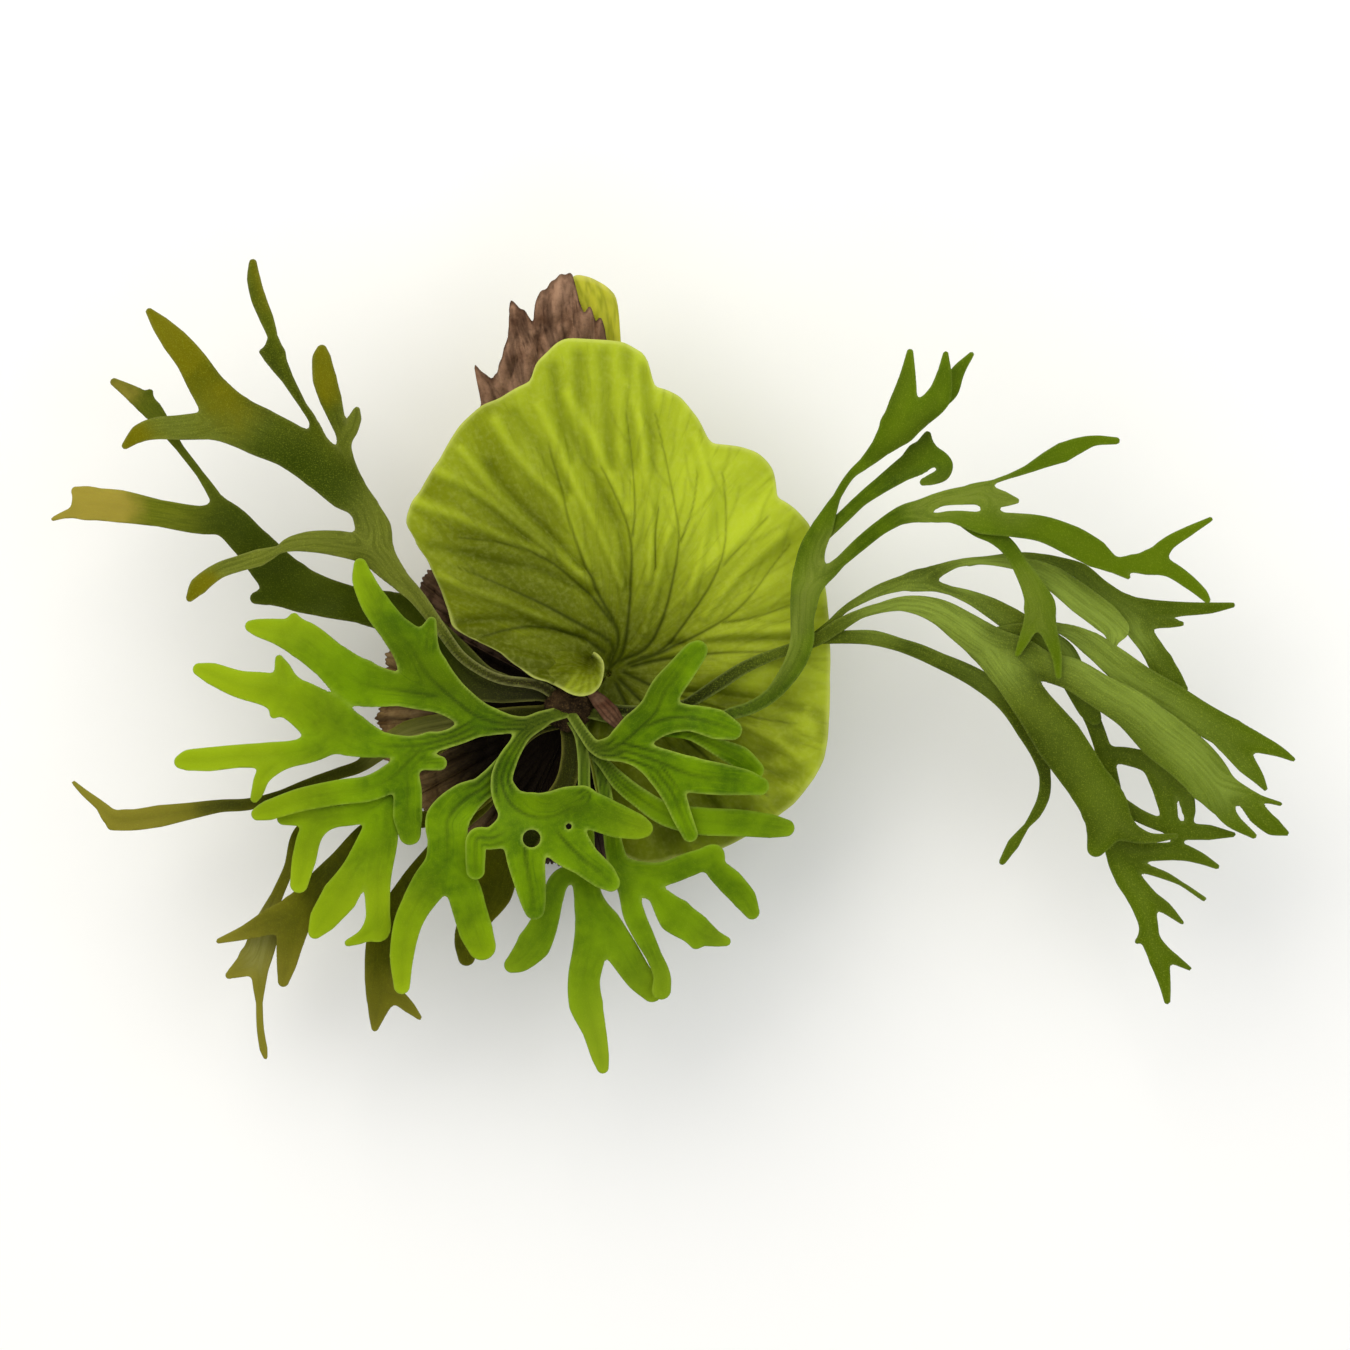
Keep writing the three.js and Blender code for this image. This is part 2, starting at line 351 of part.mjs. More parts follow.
// The long arching frond on the right: a dark stalk, then arms that droop to the lower right
const ARCHING_FROND = {
  sheets: [
    {
      strips: [
        [[-8, -2, 78.5, 2.4], [10, -5, 81.5, 2.6], [28, -5, 85, 2.6], [43, -2, 88.5, 2.6],
          [50, 2, 90.5, 3], [60, 8.5, 93, 3.4], [70, 15, 95, 3.2], [80, 20, 96.5, 3],
          [92, 24.5, 98.5, 2.7], [108, 30, 102, 3.2], [119, 37, 107, 3.4], [130, 43, 111, 2.4],
          [140, 46, 115, 2.6], [150, 48, 118, 3.6], [160, 47, 121, 5], [170, 43.5, 123, 6.5],
          [180, 37, 124, 8], [192, 28, 124, 9.5], [205, 12, 123, 9], [217, -4, 120, 10],
          [229, -20, 116, 12], [243, -40, 110, 11], [252, -54, 106, 12], [252, -64, 102, 9],
          [248, -74, 98.5, 4.5]],
        [[255, -58, 104.5, 9], [265, -66, 101.5, 5], [275, -69, 100, 2.6], [288, -68, 97, 1.3]],
        [[192, 29, 124, 8], [210, 24, 126, 7], [222, 17, 127, 7], [235, 13, 126.5, 8],
          [250, 4, 124.5, 8.5], [265, -5, 121.5, 9.8], [280, -18, 117, 12], [295, -30, 112, 12],
          [304, -40, 108.5, 11.5], [311, -53, 104, 5.5], [316, -60, 101, 4], [327, -68, 97, 1.4]],
        [[308, -42, 107, 7], [322, -50, 104, 3.6], [329, -57, 102, 5], [336, -63, 100, 4.5],
          [343, -66.5, 98, 1.5]],
        [[313, -42, 106, 4], [330, -49, 103, 1.5], [340, -52, 101, 1]],
      ],
    },
    {
      strips: [
        [[106, 29.5, 102, 3], [115, 38, 106, 1.9], [122, 45, 109, 1.7], [130, 50, 113, 2.2],
          [140, 55, 117, 3], [150, 58, 120, 3.8], [160, 60.5, 123, 5], [170, 65, 125.5, 3],
          [178, 68, 127, 2], [190, 69.5, 128.5, 2], [202, 69, 129, 3], [212, 67, 129, 3.7],
          [225, 61, 128, 6], [240, 50, 125, 7.2], [252, 41, 122, 7.2], [258, 35.5, 120, 6]],
        [[256, 31, 120, 3], [256, 26, 118, 1.3]],
        [[157, 59, 122.5, 4.5], [168, 56.5, 124, 2.6], [175, 54.5, 124.5, 2.3], [185, 51, 124, 3.5],
          [195, 46, 123, 5], [205, 40, 121.5, 6], [220, 31, 118, 6], [231, 23, 115, 6.5],
          [238, 8, 111, 6.5], [244, -4, 107.5, 5.5], [247, -9, 106, 3.5]],
      ],
    },
    {
      strips: [
        [[184, 68.5, 127.5, 1.9], [198, 71, 125, 1.5], [208, 72.3, 123.5, 1.4], [220, 71, 122, 2],
          [230, 68, 120, 3.2], [240, 64, 118, 4.2], [250, 55, 116, 5], [262, 47, 114, 6],
          [275, 46, 112, 4.2], [290, 45.5, 110, 3.6], [305, 46, 108, 2.8], [316, 47.4, 106, 1.3]],
        [[264, 43, 114, 4], [275, 39, 112.5, 3], [284, 38.5, 111, 2.5], [290.5, 38, 110, 1.2]],
        [[263, 44, 114, 5], [268, 36, 113, 5.8], [274, 28, 111, 5.5], [280, 19, 108.5, 6],
          [287, 12, 106, 3.6], [292.5, 5.5, 104, 1.4]],
        [[280, 18, 108.5, 5], [281.5, 8, 106, 4], [282, 0, 104.5, 2.4], [282, -4.5, 103, 1.3]],
      ],
    },
    {
      strips: [
        [[190, 31, 123.5, 4], [212, 36, 122.5, 2.6], [230, 35.5, 121.5, 2.8], [245, 28, 120, 6],
          [258, 18, 118, 7.5], [270, 9, 115.5, 8], [285, 0, 112, 8.5], [300, -9, 108.5, 8],
          [315, -17, 106, 8], [330, -22, 104, 4.6], [340, -26, 102, 2.6], [346.5, -29.7, 100.5, 1.1]],
        [[314, -21, 106, 6], [323, -32, 103.5, 5], [329, -39, 101.5, 3], [332.6, -44.4, 100, 1.1]],
      ],
    },
    {
      strips: [
        [[110, 31, 102.5, 3], [125, 31.5, 106, 3.4], [137, 31, 109, 3.8], [150, 27.5, 111, 3.4],
          [160, 24, 112, 3.8], [170, 19.5, 112.5, 4], [180, 15, 112.5, 4.5], [190, 9.5, 111.5, 5],
          [203, -1, 109, 5], [213, -15, 105, 5], [220, -28, 101, 4], [222.5, -38, 98, 2.9],
          [222, -48, 95, 3], [218, -57, 92, 2.6], [213.5, -63, 90, 1.4], [207, -72, 88, 3],
          [201.5, -81, 85, 1.7]],
      ],
    },
    {
      strips: [
        [[238, 8, 110.5, 5], [247, -12, 104, 4], [253, -30, 99, 4], [257, -50, 95, 4.5],
          [257, -66, 92, 5], [258, -78, 90, 4.5], [264, -89, 89, 6.2], [270, -98, 88, 6.5],
          [274, -110, 86, 5], [276, -120, 84.5, 4.5], [280, -130, 83, 5], [283, -142, 80, 3],
          [284.3, -151, 78, 1.6]],
        [[268, -94, 88.5, 4], [283, -104, 85, 3], [291.5, -111.5, 83, 1]],
        [[277, -122, 84, 3.5], [288, -130, 82, 2.5], [295.5, -134.7, 80.5, 1]],
        [[274, -117, 85, 3], [269, -121, 84, 1.2]],
        [[258, -70, 91.5, 4], [266, -75, 90.5, 5.2], [275, -76, 90, 4.6], [290, -76, 88.5, 4.4],
          [300, -79, 87, 3], [309, -83.5, 85, 1.3]],
        [[264, -80, 90, 3], [272, -84, 89, 2.4], [283, -88, 87.5, 2], [291, -92, 86, 1.1],
          [302.5, -99.7, 84, 1.2]],
        [[257, -50, 95, 4], [270, -58, 93.5, 3.4], [282, -63, 92, 3.2], [292, -65.5, 91, 4.2],
          [305, -66.3, 90, 3.8], [317, -67.4, 88.5, 1.3]],
        [[252, -27, 100, 3.5], [263, -28, 99.5, 4.5], [275, -32, 98.5, 5], [280, -40, 97.5, 5.5],
          [283, -50, 96, 4.8], [286, -62, 94, 3.8], [289, -70, 92.5, 2.2]],
        [[282, -38, 97.5, 4], [292, -46, 96.5, 4.2], [294.5, -55, 95.5, 3.4], [295, -61, 95, 1.7]],
      ],
    },
  ],
  colour: COLOUR.dark,
};

// A small dead scale beside the crown
const DRY_SCALE = {
  sheets: [{ strips: [[[-4, 3, 89.5, 2.6], [0, -1, 91.5, 4], [5, -6.5, 91.5, 4.6], [9.5, -12, 90.5, 3.2]]] }],
  colour: COLOUR.brown,
};

// Shield fronds. Each is a fan of rays round a centre: [angle in degrees, reach, rim height].
// Between its rays the rim runs in straight or curved steps, and it climbs from foot to rim.

const MAIN_SHIELD = {
  centre: [4, 13],
  foot: 73.5,
  inner: 1.5,
  rise: (share) => 1 - (1 - share) ** 1.8,
  thickness: SHIELD_THICKNESS,
  rows: 7,
  pleats: { count: 34, height: 1.5 },
  colour: COLOUR.lime,
  // the lower left lobe, which rolls over the throat of the funnel
  lobe: {
    centre: [-5, 21],
    foot: 78,
    inner: 1,
    rise: (share) => 1 - (1 - share) ** 3,
    thickness: SHIELD_THICKNESS,
    rows: 6,
    pleats: { count: 1, height: 0 },
    rays: [
      [150, 22, 84], [165, 25, 85.5], [180, 26, 88], [192, 25, 91], [202, 24, 95], [211, 23.3, 98.5],
      [227, 21, 100.5], [244, 20.4, 101.5], [259, 19.6, 102], [276, 17.6, 102], [292, 14.5, 102],
      [303, 11.8, 102], [314, 10, 102], [329, 8.3, 102], [344, 7, 102], [360, 5.6, 101.5], [375, 4.7, 101],
      [395, 4, 99.5], [416, 3.6, 98],
    ],
  },
  rays: [
    [-122.9, 20.2, 75.5], [-115.6, 27.7, 76], [-105.1, 38.3, 77], [-99.3, 49.6, 77.5],
    [-94.5, 63.2, 78], [-89.3, 79, 78.5], [-85, 91.4, 79.5], [-79.3, 96.7, 80.5], [-73.4, 98.1, 81.5],
    [-70.3, 97.7, 82], [-64.2, 101.1, 83], [-56.3, 104.6, 84], [-50.3, 106.5, 85], [-43.9, 109.6, 86],
    [-38.6, 111.4, 86.5], [-35, 113.5, 87], [-30.4, 114.7, 87.5], [-26.1, 115.8, 88],
    [-21.7, 116.2, 89], [-16.7, 114.8, 90], [-11.8, 112.9, 91], [-6.7, 111.8, 92], [-1, 111, 93],
    [7.7, 112, 95], [16.2, 114.6, 97], [23.5, 117.8, 99], [30.6, 121.9, 101], [36.7, 125.4, 103],
    [39.2, 125.1, 104], [41.7, 124.7, 105], [44.5, 123.4, 106], [46.2, 122, 107], [48.5, 126.8, 108],
    [51, 131.2, 109], [53.6, 133, 110], [56.3, 133.4, 111], [59.8, 131.3, 112], [63.1, 128.4, 113],
    [65.7, 126.2, 114], [67.6, 128.7, 115], [69.9, 134.1, 116], [75.4, 143.1, 118], [78.5, 144.9, 119],
    [80.9, 145.3, 119.5], [81.6, 146.6, 119.5], [81.95, 158.1, 120], [82.3, 152.5, 119.5],
    [83.2, 160.6, 120], [85.4, 163, 120.5], [87.2, 165.7, 121], [93.1, 167.2, 122], [97.1, 168.8, 122],
    [99, 167, 122], [100.2, 164.1, 121.5], [102.6, 159.9, 121], [104, 156.7, 121],
    [104.35, 151.1, 120.5], [107.9, 149.7, 120], [111.4, 147.7, 119], [115.2, 148.1, 118.5],
    [120.8, 144.4, 117], [128.1, 136, 115], [132.6, 133.1, 114], [135.9, 130.8, 113],
    [138.7, 130.4, 112], [141.8, 127.8, 111], [143.8, 125.2, 110], [145.1, 114.6, 107],
    [145.45, 120.7, 108.5], [147, 108.5, 105], [150.8, 98.5, 103], [153.7, 92.6, 101],
    [158.2, 86.2, 99], [162.9, 81.6, 98], [164.5, 76.8, 97.5], [166, 66, 97], [168.5, 55.1, 97],
    [176.1, 44.1, 97.5], [183.1, 37.1, 98], [187.4, 30.5, 98], [198.4, 22.5, 95], [220.2, 12, 84],
  ],
};

// A second live shield, upright behind the first; only its top shows from in front
const BACK_SHIELD = {
  centre: [-12, 0],
  foot: 65.5,
  inner: 9,
  rise: (share) => 1 - (1 - share) ** 1.2,
  thickness: SHIELD_THICKNESS,
  rows: 6,
  pleats: { count: 26, height: 1.2 },
  colour: COLOUR.yellowGreen,
  rays: [
    [38, 62, 68], [45, 82, 71], [53, 102, 75], [61, 118, 79], [69, 133, 82], [76, 148, 86],
    [81, 165, 91], [83, 180, 95], [83.4, 191, 96], [84.2, 203, 97], [86, 208, 97.5], [88, 211.5, 98],
    [90, 213, 98], [92.5, 206, 97], [96, 190, 94], [102, 160, 88], [108, 135, 82], [114, 112, 76],
    [120, 90, 71], [126, 66, 67.5],
  ],
};

// Dead brown shields wrapped round the root ball
const BROWN_TOP_SHIELD = {
  centre: [-12, 0],
  foot: 68.5,
  inner: 9,
  rise: (share) => 1 - (1 - share) ** 1.15,
  thickness: BROWN_THICKNESS,
  rows: 7,
  pleats: { count: 44, height: 1.3 },
  colour: COLOUR.brown,
  rays: [
    [58, 60, 76], [64, 92, 81], [72, 118, 86], [79, 142, 91], [84, 168, 96], [85.6, 186, 99],
    [86.3, 193, 100.5], [87, 189, 100], [87.8, 197, 101.5], [88.8, 193, 101.5], [89.6, 199, 102],
    [90.4, 212.5, 104], [91.8, 214, 104], [94, 207, 103], [95.8, 201, 101],
    [96.4, 190, 99], [97.6, 196.5, 100], [98.6, 200.5, 101], [99.4, 203.5, 101], [100.2, 188, 99],
    [102, 176, 97], [104.4, 166, 95], [105.6, 169, 95], [107, 175, 95], [107.6, 156, 92],
    [113, 138, 88], [121, 118, 82], [129, 103, 76], [135, 97, 71], [139, 99, 70], [144, 97, 69],
    [148, 93, 68.5], [152, 82, 68],
  ],
};

const BROWN_LEFT_SHIELD = {
  centre: [-12, -4],
  foot: 63.5,
  inner: 9,
  rise: (share) => share ** 3,
  thickness: BROWN_THICKNESS,
  rows: 6,
  pleats: { count: 40, height: 1.4 },
  colour: COLOUR.brown,
  rays: [
    [128, 66, 54], [134, 84, 50], [140, 92, 47], [145, 90, 46], [149, 96, 45], [154, 100, 44],
    [160, 97, 43], [164, 99.5, 42], [168, 98, 42], [173, 102, 41], [178, 98, 41], [183, 101, 40],
    [188, 99, 40], [193, 103, 40], [197, 97, 40], [203, 98, 40], [209, 92, 41], [216, 93, 41],
    [223, 87, 42], [231, 86, 43], [238, 80, 44], [246, 74, 46],
  ],
};

const BROWN_LOW_SHIELD = {
  centre: [-12, -6],
  foot: 60.6,
  inner: 9,
  rise: (share) => share ** 4,
  thickness: BROWN_THICKNESS,
  rows: 6,
  pleats: { count: 36, height: 1.2 },
  colour: COLOUR.darkBrown,
  rays: [
    [212, 74, 35], [220, 80, 33], [228, 78, 31], [236, 82, 30], [244, 78, 29], [252, 81, 29],
    [260, 77, 29], [268, 79, 29], [276, 75, 29], [284, 78, 30], [292, 74, 31], [300, 77, 32],
    [308, 74, 33], [316, 76, 35], [324, 78, 37], [332, 80, 39],
  ],
};

const smoothstep = (from, to, value) => THREE.MathUtils.smoothstep(value, from, to);

// Geometry and solids

// A closed solid from a triangle list, with coincident corners merged.
function toSolid(geometry) {
  const bare = geometry.clone();
  bare.deleteAttribute("normal");
  bare.deleteAttribute("uv");
  const merged = mergeVertices(bare, MERGE_DISTANCE);
  const mesh = new wasm.Mesh({
    numProp: 3,
    vertProperties: new Float32Array(merged.attributes.position.array),
    triVerts: new Uint32Array(merged.index.array),
  });
  return new wasm.Manifold(mesh);
}

function toGeometry(solid) {
  const mesh = solid.getMesh();
  const geometry = new THREE.BufferGeometry();
  geometry.setAttribute("position", new THREE.BufferAttribute(mesh.vertProperties, 3));
  geometry.setIndex(new THREE.BufferAttribute(mesh.triVerts, 1));
  geometry.computeVertexNormals();
  return geometry;
}

// A plan mesh given thickness: top and bottom copies of the same triangles, joined by walls along
// the rim. plan holds corners [x, y], faces counter-clockwise triangles, rims closed walks of corners.
function thicken(plan, faces, rims, height, thickness) {
  const positions = [];
  for (const side of [1, -1]) {
    for (const [x, y] of plan) positions.push(x, y, height(x, y) + (side * thickness(x, y)) / 2);
  }
  const below = plan.length;
  const index = [];
  for (const [a, b, c] of faces) {
    index.push(a, b, c);
    index.push(a + below, c + below, b + below);
  }
  for (const rim of rims) {
    rim.forEach((a, i) => {
      const b = rim[(i + 1) % rim.length];
      index.push(a, a + below, b + below);
      index.push(a, b + below, b);
    });
  }
  const geometry = new THREE.BufferGeometry();
  geometry.setAttribute("position", new THREE.Float32BufferAttribute(positions, 3));
  geometry.setIndex(index);
  return geometry;
}

// Strips of a fertile frond

// A strip's stations drawn as a smooth curve and cut into short links.
function linksOf(strip) {
  const centres = new THREE.CatmullRomCurve3(
    strip.map(([x, y, z]) => new THREE.Vector3(x, y, z)), false, "centripetal");
  const steps = (strip.length - 1) * LINKS_PER_STRETCH;
  const points = [];
  for (let i = 0; i <= steps; i++) {
    const along = (i / steps) * (strip.length - 1);
    const before = Math.min(Math.floor(along), strip.length - 2);
    const share = along - before;
    const width = THREE.MathUtils.lerp(strip[before][3], strip[before + 1][3], share);
    points.push({ at: centres.getPoint(i / steps), width });
  }
  return points.slice(1).map((end, i) => ({ start: points[i], end }));
}

// How far a point lies outside a strip, and the strip's height beside it.
function nearestOn(links, x, y) {
  let best = { outside: Infinity, z: 0 };
  for (const { start, end } of links) {
    const dx = end.at.x - start.at.x;
    const dy = end.at.y - start.at.y;
    const raw = ((x - start.at.x) * dx + (y - start.at.y) * dy) / (dx * dx + dy * dy + 1e-9);
    const t = THREE.MathUtils.clamp(raw, 0, 1);
    const distance = Math.hypot(x - start.at.x - t * dx, y - start.at.y - t * dy);
    const outside = distance - THREE.MathUtils.lerp(start.width, end.width, t);
    if (outside < best.outside) best = { outside, z: THREE.MathUtils.lerp(start.at.z, end.at.z, t) };
  }
  return best;
}

function makeSheet({ strips, holes = [] }) {
  const chains = strips.map(linksOf);

  // Negative inside the blade; strips melt together by a smooth minimum, and holes are cut out.
  const outside = (x, y) => {
    let value = Infinity;
    for (const links of chains) {
      const next = nearestOn(links, x, y).outside;
      const melt = Math.max(FORK_ROUNDING - Math.abs(value - next), 0) / FORK_ROUNDING;
      value = Math.min(value, next) - (Number.isFinite(value) ? (melt * melt * FORK_ROUNDING) / 4 : 0);
    }
    for (const [hx, hy, radius] of holes) {
      value = Math.max(value, radius - Math.hypot(x - hx, y - hy));
    }
    return value;
  };

  // Height of the blade: the strips' heights, each weighed by how near its strip is.
  const height = (x, y) => {
    const near = chains.map((links) => nearestOn(links, x, y));
    const least = Math.min(...near.map((n) => n.outside));
    let sum = 0;
    let weight = 0;
    for (const { outside: gap, z } of near) {
      const share = Math.exp((least - gap) / BLEND_REACH);
      sum += share * z;
      weight += share;
    }
    return sum / weight;
  };

  return { chains, outside, height };
}

// Outlines

// Closed walks along the zero line of a field, found cell by cell on a square lattice.
function followOutline(field, box) {
  const columns = Math.ceil((box.max.x - box.min.x) / GRID_STEP) + 1;
  const rows = Math.ceil((box.max.y - box.min.y) / GRID_STEP) + 1;
  const xAt = (i) => box.min.x + i * GRID_STEP;
  const yAt = (j) => box.min.y + j * GRID_STEP;
  const values = [];
  for (let j = 0; j < rows; j++) {
    for (let i = 0; i < columns; i++) values.push(field(xAt(i), yAt(j)) || 1e-6);
  }
  const value = (i, j) => values[j * columns + i];

  // Where the zero line crosses the lattice edge from one corner to another
  const crossings = new Map();
  const crossing = (i, j, k, l) => {
    const key = i < k || j < l ? `${i},${j},${k},${l}` : `${k},${l},${i},${j}`;
    if (!crossings.has(key)) {
      const t = value(i, j) / (value(i, j) - value(k, l));
      crossings.set(key, [xAt(i) + t * (xAt(k) - xAt(i)), yAt(j) + t * (yAt(l) - yAt(j))]);
    }
    return key;
  };

  // Each lattice cell is cut into two triangles; the inside is kept on the left of each step
  const next = new Map();
  const visit = (a, b, c) => {
    const corners = [a, b, c];
    const inside = corners.map(([i, j]) => value(i, j) < 0);
    const count = inside.filter(Boolean).length;
    if (count === 0 || count === 3) return;
    const odd = inside.indexOf(count === 1);
    const lone = corners[odd];
    const after = corners[(odd + 1) % 3];
    const before = corners[(odd + 2) % 3];
    const first = crossing(...lone, ...after);
    const second = crossing(...lone, ...before);
    if (count === 1) next.set(first, second);
    else next.set(second, first);
  };
  for (let j = 0; j < rows - 1; j++) {
    for (let i = 0; i < columns - 1; i++) {
      visit([i, j], [i + 1, j], [i + 1, j + 1]);
      visit([i, j], [i + 1, j + 1], [i, j + 1]);
    }
  }

  const walks = [];
  while (next.size) {
    const start = next.keys().next().value;
    const walk = [];
    let key = start;
    do {
      walk.push(crossings.get(key));
      const following = next.get(key);
      next.delete(key);
      key = following;
    } while (key !== start);
    walks.push(walk);
  }
  return walks;
}

// Drops corners that lie within the tolerance of a straight edge, but keeps edges short.
function straighten(walk) {
  const keep = (from, to) => {
    const [ax, ay] = walk[from];
    const [bx, by] = walk[to % walk.length];
    const length = Math.hypot(bx - ax, by - ay);
    let worst = -1;
    let split = -1;
    for (let i = from + 1; i < to; i++) {
      const [x, y] = walk[i];
      const off = length < 1e-6
        ? Math.hypot(x - ax, y - ay)
        : Math.abs((x - ax) * (by - ay) - (y - ay) * (bx - ax)) / length;
      if (off > worst) {
        worst = off;
        split = i;
      }
    }
    if (split < 0) return [from];
    if (worst > OUTLINE_TOLERANCE) return [...keep(from, split), ...keep(split, to)];
    if (length <= LONGEST_EDGE) return [from];
    const middle = Math.round((from + to) / 2);
    return [...keep(from, middle), ...keep(middle, to)];
  };
  const half = Math.floor(walk.length / 2);
  return [...keep(0, half), ...keep(half, walk.length)].map((i) => walk[i]);
}

const areaOf = (walk) => THREE.ShapeUtils.area(walk.map(([x, y]) => new THREE.Vector2(x, y)));

// Swaps the shared edge of two triangles wherever the other diagonal makes them rounder.
function evenOut(plan, faces) {
  const inCircle = (a, b, c, d) => {
    const rows = [a, b, c].map((i) => {
      const dx = plan[i][0] - plan[d][0];
      const dy = plan[i][1] - plan[d][1];
      return [dx, dy, dx * dx + dy * dy];
    });
    const [p, q, r] = rows;
    return (
      p[0] * (q[1] * r[2] - q[2] * r[1]) -
      p[1] * (q[0] * r[2] - q[2] * r[0]) +
      p[2] * (q[0] * r[1] - q[1] * r[0])
    );
  };
  const turn = (a, b, c) =>
    (plan[b][0] - plan[a][0]) * (plan[c][1] - plan[a][1]) -
    (plan[b][1] - plan[a][1]) * (plan[c][0] - plan[a][0]);
  for (let round = 0; round < MOST_ROUNDS; round++) {
    const owner = new Map();
    faces.forEach((face, f) => face.forEach((a, k) => owner.set(`${a},${face[(k + 1) % 3]}`, f)));
    const touched = new Set();
    let swaps = 0;
    faces.forEach((face, f) => {
      for (let k = 0; k < 3; k++) {
        const a = face[k];
        const b = face[(k + 1) % 3];
        const c = face[(k + 2) % 3];
        const g = owner.get(`${b},${a}`);
        if (g === undefined || touched.has(f) || touched.has(g)) continue;
        const d = faces[g].find((v) => v !== a && v !== b);
        const rounder = inCircle(a, b, c, d) > 1e-3;
        if (rounder && turn(c, a, d) > 1e-3 && turn(c, d, b) > 1e-3) {
          faces[f] = [c, a, d];
          faces[g] = [c, d, b];
          touched.add(f);
          touched.add(g);
          swaps++;
        }
      }
    });
    if (!swaps) return;
  }
}

// A blade is thicker by its stalk, and steep stretches are thickened upwards to keep their wall.
function bladeThickness(height) {
  const probe = 0.5;
  return (x, y) => {
    const away = Math.hypot(x - CROWN.x, y - CROWN.y);
    const thinning = smoothstep(STALK_FROM, STALK_TO, away);
    const blade = THREE.MathUtils.lerp(STALK_THICKNESS, BLADE_THICKNESS, thinning);
    const slopeX = (height(x + probe, y) - height(x - probe, y)) / (2 * probe);
    const slopeY = (height(x, y + probe) - height(x, y - probe)) / (2 * probe);
    return blade * Math.min(Math.hypot(1, slopeX, slopeY), STEEPEST);
  };
}

function sheetSolid(sheetPlan) {
  const sheet = makeSheet(sheetPlan);
  const box = new THREE.Box2();
  for (const links of sheet.chains) {
    for (const { start, end } of links) {
      for (const { at, width } of [start, end]) {
        const reach = width + 2 * GRID_STEP;
        box.expandByPoint(new THREE.Vector2(at.x - reach, at.y - reach));
        box.expandByPoint(new THREE.Vector2(at.x + reach, at.y + reach));
      }
    }
  }
  const walks = followOutline(sheet.outside, box).map(straighten).filter((walk) => walk.length > 2);
  walks.sort((a, b) => areaOf(b) - areaOf(a));
  const [outer, ...inner] = walks;
  const holes = inner.filter((walk) => areaOf(walk) < 0);
  const asVectors = (walk) => walk.map(([x, y]) => new THREE.Vector2(x, y));
  const faces = THREE.ShapeUtils.triangulateShape(asVectors(outer), holes.map(asVectors));
  const plan = [outer, ...holes].flat();
  for (const face of faces) {
    const [a, b, c] = face.map((i) => plan[i]);
    if ((b[0] - a[0]) * (c[1] - a[1]) < (b[1] - a[1]) * (c[0] - a[0])) face.reverse();
  }
  evenOut(plan, faces);
  const rims = [];
  let first = 0;
  for (const walk of [outer, ...holes]) {
    rims.push(walk.map((_, i) => first + i));
    first += walk.length;
  }
  return toSolid(thicken(plan, faces, rims, sheet.height, bladeThickness(sheet.height)));
}

// Round bodies

// The crown: a bluntly domed stump, or the same grown by a clearance for cutting its neighbours back.
function crownSolid(clearance) {
  const r = CROWN.radius + clearance;
  const top = CROWN.top + clearance;
  const profile = [
    [0, CROWN.bottom - clearance],
    [r, CROWN.bottom - clearance],
    [r, top - 5],
    [r * 0.86, top - 2],
    [r * 0.5, top - 0.4],
    [0, top],
  ].map(([x, y]) => new THREE.Vector2(x, y));
  const geometry = new THREE.LatheGeometry(profile, CROWN_SIDES);
  geometry.rotateX(Math.PI / 2);
  geometry.translate(CROWN.x, CROWN.y, 0);
  return toSolid(geometry);
}

// The root ball: a dome with lumps, flat behind and with a small flat seat for the crown.
function ballGeometry() {
  const around = BALL_SIDES;
  const profile = [
    [0.84, 0], [0.96, 0.12], [1, 0.27], [0.97, 0.44],
    [0.89, 0.61], [0.76, 0.76], [0.58, 0.89], [0.38, 0.965],
  ];
  const seat = [CROWN.x, CROWN.y];
  const corners = [];
  profile.forEach(([spread, rise], row) => {
    for (let i = 0; i < around; i++) {
      const angle = (i / around) * 2 * Math.PI;
      const broad = BROAD_LUMPS * Math.sin(5 * angle + 1.7 * row);
      const small = SMALL_LUMPS * Math.sin(9 * angle - 2.3 * row);
      const lump = 1 + broad + small;
      corners.push([
        BALL.x + BALL.halfWidth * spread * lump * Math.cos(angle),
        BALL.y + BALL.halfHeight * spread * lump * Math.sin(angle),
        BALL.depth * rise,
      ]);
    }
  });
  for (let i = 0; i < around; i++) {
    const angle = (i / around) * 2 * Math.PI;
    const x = seat[0] + BALL.flatRadius * Math.cos(angle);
    const y = seat[1] + BALL.flatRadius * Math.sin(angle);
    corners.push([x, y, BALL.depth]);
  }
  const rings = profile.length + 1;
  const back = corners.push([BALL.x, BALL.y, 0]) - 1;
  const front = corners.push([seat[0], seat[1], BALL.depth]) - 1;
  const index = [];
  for (let i = 0; i < around; i++) {
    const j = (i + 1) % around;
    index.push(back, j, i);
    for (let row = 0; row < rings - 1; row++) {
      const a = row * around;
      const b = a + around;
      index.push(a + i, a + j, b + j);
      index.push(a + i, b + j, b + i);
    }
    const last = (rings - 1) * around;
    index.push(last + i, last + j, front);
  }
  const geometry = new THREE.BufferGeometry();
  geometry.setAttribute("position", new THREE.Float32BufferAttribute(corners.flat(), 3));
  geometry.setIndex(index);
  return geometry;
}

